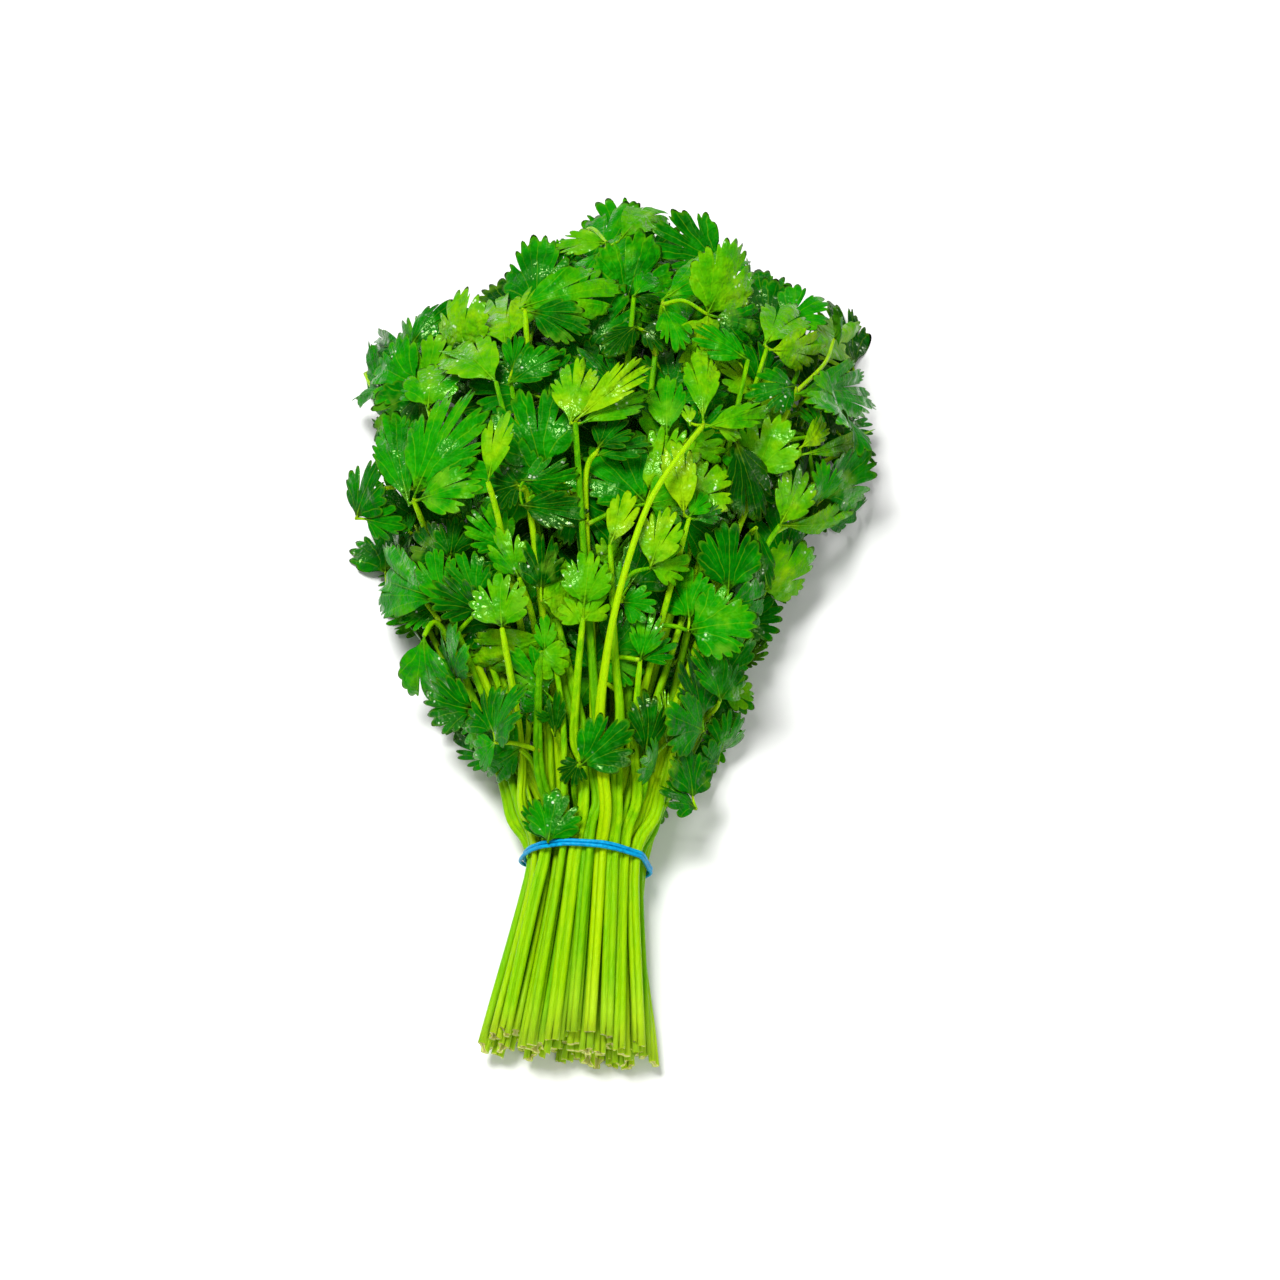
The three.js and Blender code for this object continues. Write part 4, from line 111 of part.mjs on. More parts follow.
  [[[8.156,-141.852,1.353,1.623],[7.963,-105.38,2.185,1.623],[7.862,-87.38,3.161,1.623],[8.563,-77.38,2.996,1.565],[14.705,-31.38,4.172,1.298],[22.697,18.62,6.623,1.008],[28.124,50.372,8.539,0.811]],[[0,[28.12,50.37,8.54],[[28.12,50.37,8.54,42.12,63.05,13.5,0.551,-0.305,-0.776,17.57,0.048,0.016,0,1,0],[28.12,50.37,8.54,27.28,60.19,5.58,0.618,-0.177,-0.766,9.26,0.035,-0.018,2,2,0],[28.12,50.37,8.54,38.91,46.23,20.45,0.671,-0.255,-0.696,14.93,0.004,-0.177,0,1,0]]],[[[25.25,33.63,7.51],[29.96,35.62,4.67],[36.08,34.25,1.93]],[36.08,34.25,1.93],[[39.22,34.83,1.82,55.79,38.13,3.44,-0.113,0.081,0.99,16.84,0.097,-0.072,1,1,0],[36.08,34.25,1.93,41.76,24.23,4.1,-0.032,0.194,0.98,10.95,0.04,0.048,2,0,0],[36.08,34.25,1.93,37.78,46.3,0.1,0.023,0.147,0.989,10.45,0.051,-0.041,0,2,0]]],[[[11.04,-57.3,3.33],[14.52,-56.89,2.54],[17.94,-57.27,1.79]],[17.94,-57.27,1.79],[[19.44,-54.44,1.73,27.01,-38.07,1.82,0.082,-0.043,0.996,16.88,0.03,-0.115,0,1,0]]],[[[14.7,-31.38,4.17],[13.94,-30.12,7.3],[14.13,-30.02,10.04]],[14.13,-30.02,10.04],[[16.78,-28.23,10.29,28.42,-22.3,7.88,0.45,-0.62,0.643,13.07,-0.013,-0.046,0,1,0],[14.13,-30.02,10.04,22.88,-34.5,3.87,0.282,-0.54,0.793,11.49,0.053,-0.032,1,1,0],[14.13,-30.02,10.04,12.2,-17.04,17.08,0.28,-0.425,0.861,15.76,0.052,-0.052,1,1,0]]],[[[19.6,-0.29,5.62],[13.81,2.49,3.54],[8.68,3.93,2.17]],[8.68,3.93,2.17],[[9.17,7.01,2.89,13.28,25.6,5.35,-0.53,0.005,0.848,16.91,0.068,-0.044,0,2,0],[8.68,3.93,2.17,18.18,6,9.41,-0.586,-0.112,0.802,11.03,0.024,-0.191,2,0,0]]],[[[25.83,37.09,7.71],[22.55,40.31,7.55],[20.48,42.12,8.04]],[20.48,42.12,8.04],[[20.48,42.12,8.04,27.73,32.66,20.48,-0.641,0.383,0.665,17.42,0.04,0.055,0,0,0],[20.48,42.12,8.04,22.97,51.93,2.51,-0.67,0.487,0.56,11.07,-0.02,0.066,0,0,0]]]]],
  [[[18.297,-143.326,1.611,1.451],[14.626,-87.38,4.489,1.451],[23.683,-50.38,5.927,1.285],[35.777,-7.38,8.83,1.088],[43.638,18.62,11.073,0.969],[59.237,67.6,16.071,0.725]],[[0,[59.24,67.6,16.07],[[59.24,67.6,16.07,59.89,90.83,21.36,0.973,0.025,-0.23,21.45,0.012,-0.016,1,0,0],[59.24,67.6,16.07,58.02,76.1,6.9,0.985,-0.043,-0.17,11.31,0.096,0.157,0,1,0],[59.24,67.6,16.07,64.61,72.33,30.61,0.94,-0.019,-0.341,14.59,0.043,0.084,1,1,0]]],[[[57.16,61.27,15.36],[42.03,73.4,9.24],[31.13,80.03,2.61]],[31.13,80.03,2.61],[[33.32,82.36,2.5,43.84,93.61,3.74,-0.059,-0.054,0.997,15.15,0.031,-0.11,1,0,0],[31.13,80.03,2.61,47.24,70.05,4.96,-0.085,0.095,0.992,15.22,0.026,0.026,1,2,0],[31.13,80.03,2.61,22.35,90.66,4.32,0.105,-0.073,0.992,13.39,0.077,0.022,2,0,0]]],[[[51.08,42.36,13.38],[57.29,42.22,7.65],[63.65,39.53,2.32]],[63.65,39.53,2.32],[[66.03,41.67,2.25,76.14,50.75,2.54,-0.008,-0.023,1,13.13,0.019,0.01,2,2,0],[63.65,39.53,2.32,71.33,36.75,2.08,0.032,0.001,0.999,7.63,0.075,-0.08,1,0,0],[63.65,39.53,2.32,59.95,49.9,2.22,0.019,0.016,1,10.5,-0.009,-0.107,1,1,0]]],[[[55.38,55.76,14.77],[56.56,62,26.96],[59.97,61.42,34.77]],[59.97,61.42,34.77],[[62.74,61.09,33.19,74.26,59.05,26.14,0.525,0.029,0.85,12.82,-0.019,-0.176,0,0,0],[59.97,61.42,34.77,65.92,74.28,32.47,0.467,-0.058,0.883,15.22,0.033,0.042,0,0,0]]],[[[59.24,67.6,16.07],[64.47,68.12,15.66],[69.08,63.36,14.51]],[69.08,63.36,14.51],[[71.03,60.89,13.92,78.99,50.1,10.01,0.412,-0.026,0.911,14,0.099,-0.126,1,0,0],[69.08,63.36,14.51,79.35,71.46,9.63,0.485,-0.09,0.87,13.03,0.038,-0.138,2,1,0]]],[[[46.12,26.53,11.84],[43.63,29.75,9.77],[40.77,32.18,8.29]],[40.77,32.18,8.29],[[40.84,35.24,9.23,42.78,54.9,13.68,-0.702,-0.091,0.707,16.37,0.057,-0.197,0,2,0],[40.77,32.18,8.29,49.67,33.86,18.32,-0.717,-0.196,0.669,11.97,0.039,0.185,0,0,0]]],[[[39.19,3.92,9.8],[38.53,6.75,6.23],[38.02,8.77,3.3]],[38.02,8.77,3.3],[[38.02,8.77,3.3,49.53,6.41,9.37,-0.475,-0.058,0.878,12.59,0.042,0.129,2,2,0],[38.02,8.77,3.3,27.27,19.42,0.92,-0.331,-0.125,0.935,12.93,0.07,0.095,1,0,0]]],[[[57.5,62.32,15.48],[61.58,61.43,14.46],[63.86,59.54,12.27]],[63.86,59.54,12.27],[[63.86,59.54,12.27,64.9,56.14,4.41,-0.979,-0.2,-0.043,8.06,0.019,-0.09,0,2,0]]]]],
  [[[25.952,-138.75,5.703,1.65],[19.082,-87.38,9.617,1.65],[31.827,-50.38,10.266,1.386],[59.689,22.279,12.622,0.825]],[[0,[59.69,22.28,12.62],[[59.69,22.28,12.62,61.37,40.65,16.28,0.944,-0.021,-0.328,16.93,0.055,0.169,2,1,0],[59.69,22.28,12.62,55.88,30.82,3.89,0.945,0.105,-0.31,11.51,0.041,0.131,0,1,0],[59.69,22.28,12.62,61.97,25.21,21.81,0.956,0.107,-0.272,8.92,0.016,-0.194,0,0,0]]],[[[29.16,-57.88,10.11],[25.97,-55.62,9.25],[22.79,-57.4,7.99]],[22.79,-57.4,7.99],[[23.07,-60.37,6.82,23.65,-70.9,2.26,0.762,-0.221,0.609,10.73,0.038,0.015,0,1,0],[22.79,-57.4,7.99,29.63,-55.81,0.58,0.742,-0.183,0.645,9.28,0.039,0.051,1,1,0]]],[[[38.46,-32.5,10.75],[35.31,-27.36,15.02],[33.49,-26.35,17.66]],[33.49,-26.35,17.66],[[36.15,-27.41,16.23,49.63,-32.68,11.44,0.228,-0.268,0.936,15.45,0.03,-0.058,0,1,0],[33.49,-26.35,17.66,32.37,-38.96,13.61,0.307,-0.315,0.898,12.08,0.026,-0.017,1,0,0]]],[[[53.95,7.66,12.09],[55.93,7.26,17.5],[55.72,5.77,22.78]],[55.72,5.77,22.78],[[55.01,8.62,24.04,52.33,25.79,34.41,0.6,-0.343,0.723,18.73,0.082,-0.233,1,1,0],[55.72,5.77,22.78,44.26,6.42,27.95,0.398,-0.164,0.903,11.2,0.042,-0.201,1,1,0]]],[[[44.31,-17.2,11.24],[42.21,-13.81,14.46],[40.99,-11.73,17.12]],[40.99,-11.73,17.12],[[43.4,-9.65,16.89,55.26,0.13,16.95,0.183,-0.227,0.957,16.13,-0.012,-0.166,1,1,0],[40.99,-11.73,17.12,35.26,3.52,19.55,0.368,-0.011,0.93,16.55,-0.007,0.028,2,1,0]]],[[[51.01,0.14,11.82],[48.36,4.92,17.28],[45.45,6,19.49]],[45.45,6,19.49],[[45.45,6,19.49,47.54,14.2,15.52,0.964,-0.134,0.23,7.87,0.075,-0.085,2,0,0]]],[[[49.33,-4.16,11.67],[46.13,0.4,6.2],[44.06,1.81,3.03]],[44.06,1.81,3.03],[[44.06,1.81,3.03,51.08,-10.12,7.71,-0.624,-0.062,0.779,12.29,-0.019,0.132,1,1,0]]]]],
  [[[22.887,-142.941,3.12,1.551],[17.517,-87.38,6.166,1.551],[44.757,-16.691,8.634,0.775]],[[0,[44.76,-16.69,8.63],[[44.76,-16.69,8.63,37.34,-8.31,0.89,0.624,-0.156,-0.766,12.25,0.01,0.144,2,1,0],[44.76,-16.69,8.63,52.52,-12.87,14.66,0.659,-0.19,-0.728,9.49,0.038,0.103,2,0,0]]],[[[35.39,-40.59,7.7],[35.8,-38.55,4.47],[36.83,-39.06,1.53]],[36.83,-39.06,1.53],[[36.83,-39.06,1.53,38.65,-49.57,3.2,0.036,0.163,0.986,9.97,0.039,-0.176,1,2,0],[36.83,-39.06,1.53,46.04,-31.12,1.8,-0.001,-0.033,0.999,10.24,0.061,0.068,1,2,0]]],[[[31.99,-49.29,7.37],[37.22,-48.91,6.3],[40.98,-49.54,6.75]],[40.98,-49.54,6.75],[[41.16,-47.33,9.06,42.56,-38.26,19.28,0.585,-0.645,0.492,14.79,0.11,-0.178,2,1,0],[40.98,-49.54,6.75,32.3,-55.27,19.65,0.821,-0.447,0.354,15.1,0.099,0.174,1,1,0]]],[[[43.48,-19.95,8.5],[39.76,-18.29,6.65],[36.43,-17.79,5.45]],[36.43,-17.79,5.45],[[37.64,-14.92,6.22,43.4,-3.09,9.04,-0.815,0.275,0.51,12.48,0.034,0.192,1,2,0],[36.43,-17.79,5.45,41.42,-21.07,15.09,-0.834,0.218,0.507,11.29,0.03,0.013,0,1,0]]]]],
  [[[1.274,-140.266,2.783,1.337],[2.907,-87.38,6.422,1.337],[1.903,-77.38,7.946,1.294],[-4.072,-65.38,8.016,1.243],[-18.803,-31.38,9.069,1.087],[-29.691,-7.38,10.386,0.977],[-55.932,48.54,14.331,0.719],[-59.496,54.962,14.912,0.668]],[[0,[-59.5,54.96,14.91],[[-59.5,54.96,14.91,-58.45,71.55,21.38,-0.915,0.195,-0.353,16.05,0.076,0.167,0,0,0],[-59.5,54.96,14.91,-64.01,57.84,29.1,-0.889,0.302,-0.344,13.64,0.01,-0.167,0,1,0],[-59.5,54.96,14.91,-53.03,62.81,9.04,-0.833,0.404,-0.377,10.09,0.005,0.034,1,1,0]]],[[[-39.77,14.29,11.83],[-46.57,12.73,6.66],[-52.44,9.5,1.8]],[-52.44,9.5,1.8],[[-52.44,9.5,1.8,-45.02,20.46,1.75,-0.058,0.044,0.997,11.35,-0.012,-0.024,1,0,0],[-52.44,9.5,1.8,-65.3,1.88,3.05,0.047,0.083,0.995,14.56,0.107,-0.187,2,1,0]]],[[[-58.99,54.04,14.83],[-74.73,67.17,10.6],[-80.52,78.04,4.28]],[-80.52,78.04,4.28],[[-78.6,80.5,3.57,-67.02,93.66,2.58,-0.097,0.16,0.982,16.3,0.028,-0.128,0,2,0],[-80.52,78.04,4.28,-67.42,74.66,0.52,0.267,-0.038,0.963,13.24,0.043,0.042,0,1,0]]],[[[-10.92,-49.32,8.36],[-10.29,-46.56,11.21],[-10.33,-46.18,13.57]],[-10.33,-46.18,13.57],[[-13.26,-47.44,13.29,-25.3,-52.23,11.12,-0.165,-0.03,0.986,12.94,0.075,0.123,2,1,0],[-10.33,-46.18,13.57,-20.84,-39.14,12.47,-0.167,-0.097,0.981,13.01,0.059,-0.224,1,1,0]]],[[[-53.41,43.2,13.94],[-56.53,41.27,17.15],[-58.17,38.95,19.35]],[-58.17,38.95,19.35],[[-58.17,38.95,19.35,-59.08,42.32,33.9,-0.981,-0.191,-0.017,13.97,0.091,0.163,0,0,0],[-58.17,38.95,19.35,-58.75,38.22,3.23,-0.982,-0.186,0.044,13.2,0.012,-0.001,0,2,0]]],[[[-55.43,47.47,14.25],[-60.53,46.86,16.28],[-64.52,45.78,18.24]],[-64.52,45.78,18.24],[[-65.66,48.71,18.8,-73.2,69.2,22.64,-0.921,-0.365,0.137,18.85,0.104,-0.2,1,1,0],[-64.52,45.78,18.24,-71.69,52.98,4.16,-0.874,-0.43,0.225,14.39,0.085,0.176,0,0,0]]],[[[-54.42,45.33,14.09],[-53.2,48.98,9.76],[-52.79,50.26,6.79]],[-52.79,50.26,6.79],[[-55.52,50.79,8.38,-65.96,52.9,12.81,-0.366,0.127,-0.922,10.77,0.054,-0.012,0,1,0],[-52.79,50.26,6.79,-56.74,42.95,7.86,-0.482,0.134,-0.866,7.55,0.01,0.176,1,1,0]]],[[[-56.44,49.46,14.41],[-50.84,56.69,9.32],[-44.93,60.66,7.42]],[-44.93,60.66,7.42],[[-46.09,62.48,9.78,-53,71.31,22.07,-0.798,-0.603,-0.015,15.26,-0.02,-0.126,1,0,0],[-44.93,60.66,7.42,-39.14,53.96,22.42,-0.815,-0.577,0.058,15.76,0.061,0.119,2,0,0]]],[[[-56.95,50.38,14.5],[-63.06,49.18,20.65],[-65.28,47.18,26.9]],[-65.28,47.18,26.9],[[-64.56,50.03,28.18,-60.86,60.91,33.63,0.825,-0.452,0.341,10.32,0.04,-0.045,0,1,0],[-65.28,47.18,26.9,-59.9,53.87,21.09,0.854,-0.371,0.364,8.67,0.081,-0.006,0,0,0]]]]],
  [[[19.22,-142.517,4.77,1.578],[16.58,-105.38,7.364,1.578],[15.536,-87.38,9.014,1.578],[22.167,-50.38,11.54,1.416],[30.752,-7.38,14.361,1.226],[42.044,44.62,17.754,0.998],[52.193,88.257,20.691,0.789]],[[0,[52.19,88.26,20.69],[[52.19,88.26,20.69,48.97,105.67,23.99,0.983,0.167,0.077,16.22,0.091,-0.064,0,0,0],[52.19,88.26,20.69,49.04,97.48,8.88,0.935,0.354,0.027,13.78,0.045,-0.012,0,1,0],[52.19,88.26,20.69,48.38,92.53,34.89,0.937,0.312,0.158,13.78,0.055,0.185,0,2,0]]],[[[36.29,18.62,16.05],[41.55,20.28,8.58],[48.73,16.65,2.05]],[48.73,16.65,2.05],[[48.73,16.65,2.05,54.1,4.06,3.68,-0.054,0.106,0.993,12.93,0.016,0.168,2,1,0],[48.73,16.65,2.05,47.31,31.88,1.26,-0.025,0.049,0.998,14.69,-0.012,-0.041,1,2,0]]],[[[45.7,60.78,18.81],[50.06,67.45,10.14],[57.45,67.56,2.01]],[57.45,67.56,2.01],[[60.65,67.66,1.94,77.64,68.09,0.57,0.079,0.055,0.995,14.43,0.073,0.075,1,1,0],[57.45,67.56,2.01,62.48,53.28,0.73,0.063,-0.067,0.996,14.67,0.002,0.174,1,1,0],[57.45,67.56,2.01,63.05,81.7,2.3,-0.008,-0.018,1,12.7,0.051,0.019,0,2,0]]],[[[28.19,-19.95,13.54],[22.62,-15.34,10.08],[19.75,-14.11,6.81]],[19.75,-14.11,6.81],[[22.86,-13.36,6.78,33.64,-10,4.93,0.335,-0.815,0.472,10.03,0.087,-0.229,0,1,0],[19.75,-14.11,6.81,24.96,-9.36,18.05,0.638,-0.769,0.03,12.52,0.012,0.112,1,2,0]]],[[[52.19,88.26,20.69],[66.19,91.48,10.28],[74.44,92.44,0.95]],[74.44,92.44,0.95],[[73.62,95.53,1.11,64.41,115.06,7.68,0.449,-0.087,0.889,20.24,0.063,-0.207,2,0,0],[74.44,92.44,0.95,54.28,97.94,1.47,0.021,-0.018,1,19.5,-0.015,0.17,2,0,0]]],[[[34.36,9.58,15.47],[31.39,13.54,9.32],[28.16,14.55,6.3]],[28.16,14.55,6.3],[[28.27,15.75,9.26,28.25,23.5,28.46,0.999,0.047,-0.018,17.88,0.052,-0.226,0,2,0],[28.16,14.55,6.3,30.54,3.77,11.78,0.981,0.159,-0.113,10.79,0.074,0.147,0,1,0]]],[[[47.53,68.86,19.34],[54.77,71.95,26.24],[60.67,71.35,28.56]],[60.67,71.35,28.56],[[60.67,71.35,28.56,58.28,64.8,24.13,0.939,-0.345,0.002,6.96,-0.007,-0.222,0,1,0]]],[[[39.04,31.05,16.87],[36.53,34.2,11.82],[33.92,36.21,7.86]],[33.92,36.21,7.86],[[33.92,36.21,7.86,30.05,43.1,2.07,0.816,-0.029,-0.578,9.71,0.015,0.173,1,1,0],[33.92,36.21,7.86,40.99,39.29,14.27,0.66,0.044,-0.75,9.72,0.078,-0.083,1,1,0]]],[[[50.73,82.65,20.27],[51.6,84.27,12.09],[51.65,84.4,5.54]],[51.65,84.4,5.54],[[52.12,87.5,6.17,53.87,107.4,11.07,0.843,0.058,-0.535,16.04,0.1,0.156,2,2,0],[51.65,84.4,5.54,56.59,87.52,14.66,0.878,0.011,-0.479,9.14,0.048,0.063,1,1,0]]],[[[49.1,75.79,19.8],[50.84,77.82,24.92],[50.37,78.09,30.61]],[50.37,78.09,30.61],[[50.37,78.09,30.61,47.8,84.26,25.5,0.848,0.499,0.177,6.6,0.103,0.009,0,2,0],[50.37,78.09,30.61,51.28,75.06,39.56,0.828,0.551,0.102,8.17,0.019,0.034,2,1,0]]]]],
  [[[30.191,-143.157,6.723,1.392],[21.887,-87.38,11.507,1.392],[39.347,-31.38,17.304,1.107],[65.284,44.693,25.358,0.696]],[[[[36.46,-40.32,16.37],[39.15,-39.42,22.19],[40.26,-39.52,28.03]],[40.26,-39.52,28.03],[[40.26,-39.7,28.39,33.35,-28.45,42.88,0.634,-0.434,0.639,11.43,0.081,0.08,2,1,1],[40.25,-39.33,27.67,45.81,-26.66,24.23,0.783,-0.182,0.595,10.4,0.032,-0.117,1,1,1]]],[0,[65.28,44.69,25.36],[[65.28,44.69,25.36,62.89,62.92,22.09,0.953,0.17,0.252,16.8,0.043,-0,1,0,0],[65.28,44.69,25.36,65.78,48.05,16.12,0.961,0.24,0.139,8.85,0.003,-0.178,1,1,0],[65.28,44.69,25.36,58.29,53.7,36.39,0.898,0.277,0.342,14.28,0.005,0.089,2,1,0]]],[[[45.17,-13.93,19.13],[41.28,-12.6,21.21],[36.81,-12.41,23.02]],[36.81,-12.41,23.02],[[36.3,-9.32,23.67,33.86,7.47,24.8,0.014,-0.065,0.998,16.18,0.098,0.085,1,0,0],[36.81,-12.41,23.02,43.07,-4.24,21.24,0.159,0.093,0.983,10.11,0.038,-0,2,1,0]]],[[[62.94,38.01,24.64],[59.6,46.6,34.61],[54.48,44.01,41.92]],[54.48,44.01,41.92],[[54.27,40.85,41.43,54.81,24.17,38.12,0.911,-0.052,0.41,16.7,0.082,-0.218,2,1,0],[54.48,44.01,41.92,59.39,37.57,24.95,0.926,-0.175,0.334,18.07,0.025,-0.052,2,0,0]]],[[[59.58,28.32,23.61],[53.01,36.78,26.46],[47.32,43.42,28.52]],[47.32,43.42,28.52],[[48.69,46.31,28.55,54.88,60.26,27.21,0.245,-0.015,0.969,13.57,0.049,-0.124,2,2,0],[47.32,43.42,28.52,31.96,58.84,30.8,0.123,-0.024,0.992,20.13,0.039,0.185,1,1,0]]],[[[63.72,40.24,24.88],[63.42,43.17,14.92],[62.7,43.2,8.53]],[62.7,43.2,8.53],[[62.7,43.2,8.53,52.1,54.1,10.44,0.453,0.562,-0.693,12.08,-0.007,-0.029,0,0,0],[62.7,43.2,8.53,72,39.07,15.53,0.658,0.403,-0.636,9.68,0.03,0.1,2,0,0]]],[[[65.28,44.69,25.36],[68.53,46.31,26.51],[71.44,47.43,26.69]],[71.44,47.43,26.69],[[71.44,47.43,26.69,76.07,47.14,14.75,0.924,-0.127,0.361,10.07,-0.002,-0.059,1,0,0]]],[[[61.82,34.78,24.3],[60.78,35.3,27.61],[59.46,35.27,30.25]],[59.46,35.27,30.25],[[59.46,35.27,30.25,58.57,39.58,41,0.978,-0.154,0.143,10.89,0.079,-0.001,0,0,0]]]]],
  [[[-13.491,-143.418,4.949,1.463],[-6.644,-87.38,8.989,1.463],[-12.679,-77.38,9.987,1.383],[-19.273,-65.38,12.266,1.283],[-28.206,-50.38,14.765,1.146],[-54.125,-8.126,21.947,0.731]],[[0,[-54.13,-8.13,21.95],[[-54.13,-8.13,21.95,-61.06,11.21,23.49,-0.936,-0.342,0.078,18.54,0.043,-0.039,0,0,0],[-54.13,-8.13,21.95,-54.95,-0.41,37.65,-0.957,-0.278,0.086,15.76,0.013,-0.164,0,0,0],[-54.13,-8.13,21.95,-56.87,-0.8,10.32,-0.962,-0.265,0.06,12.61,0.024,-0.16,2,2,0]]],[[[-34.28,-40.38,16.45],[-31.96,-38.94,19.27],[-29.9,-38.43,21.51]],[-29.9,-38.43,21.51],[[-31.97,-36.03,21.91,-41.95,-25,22.09,-0.21,-0.206,0.956,13.15,0.054,-0.231,1,2,0]]],[[[-28.21,-50.38,14.77],[-25.22,-43.69,15.94],[-23.48,-40.19,15.88]],[-23.48,-40.19,15.88],[[-26.57,-40.14,15.03,-44.3,-41.12,9.29,-0.277,-0.309,0.91,17.95,0.079,-0.09,0,1,0],[-23.48,-40.19,15.88,-30.25,-29.87,15.08,-0.502,-0.266,0.823,10.84,0.036,0.121,0,1,0]]],[[[-47.57,-18.71,20.13],[-47.35,-14.79,14.38],[-47.34,-13.8,10.55]],[-47.34,-13.8,10.55],[[-47.34,-13.8,10.55,-50.42,-6.27,12.31,-0.659,-0.094,-0.747,7.55,0.001,-0.046,0,0,0]]]]],
  [[[14.257,-141.847,1.292,1.516],[11.457,-87.38,3.548,1.516],[11.395,-77.38,5.048,1.459],[10.016,-50.38,8.76,1.303],[3.089,42.957,21.141,0.758]],[[0,[3.09,42.96,21.14],[[3.09,42.96,21.14,-2.6,60.78,36.15,0.05,0.653,-0.756,21.59,0.053,0.022,1,1,0],[3.09,42.96,21.14,-12.54,45.6,24.97,-0.068,0.67,-0.739,14.68,0.011,0.078,2,1,0],[3.09,42.96,21.14,12.17,48.7,27.8,0.104,0.678,-0.727,11.38,0,-0.198,0,1,0]]],[[[9.11,-37.32,10.42],[10.88,-35.55,16.65],[15.04,-36.44,22.37]],[15.04,-36.44,22.37],[[17.58,-34.76,23.35,27.27,-27.4,25.53,0.131,-0.436,0.89,10.66,-0.007,-0.096,0,2,0],[15.04,-36.44,22.37,28.04,-41.55,18.57,0.107,-0.404,0.909,13.16,0.031,0.067,2,2,0]]],[[[8.36,-26.81,11.77],[6.57,-27.44,15.5],[5.58,-28.95,18.81]],[5.58,-28.95,18.81],[[6.09,-26.01,19.97,7.82,-10.36,22.75,-0.354,-0.126,0.927,14.04,0.008,-0.141,0,1,0],[5.58,-28.95,18.81,19.72,-22.19,23.37,-0.12,-0.371,0.921,14.08,0.073,0.046,0,1,0]]],[[[3.09,42.96,21.14],[0.92,55.03,11.07],[2.8,63.84,3.05]],[2.8,63.84,3.05],[[4.46,66.37,4.1,14.7,81.62,10.89,-0.104,0.462,-0.881,18.6,0.026,0.116,0,2,0],[2.8,63.84,3.05,-4.32,74.01,10.28,-0.153,0.5,-0.853,11.68,0.077,0.143,0,1,0]]],[[[4.79,20.57,18.08],[8.37,23.52,13.69],[11.23,25.27,10.11]],[11.23,25.27,10.11],[[10.6,28.29,10.95,7.65,46.55,14.5,-0.457,-0.241,0.856,16.33,0.015,-0.215,1,0,0],[11.23,25.27,10.11,23.94,32.85,22.84,-0.532,-0.379,0.757,15.62,0.093,0.147,1,0,0]]]]],
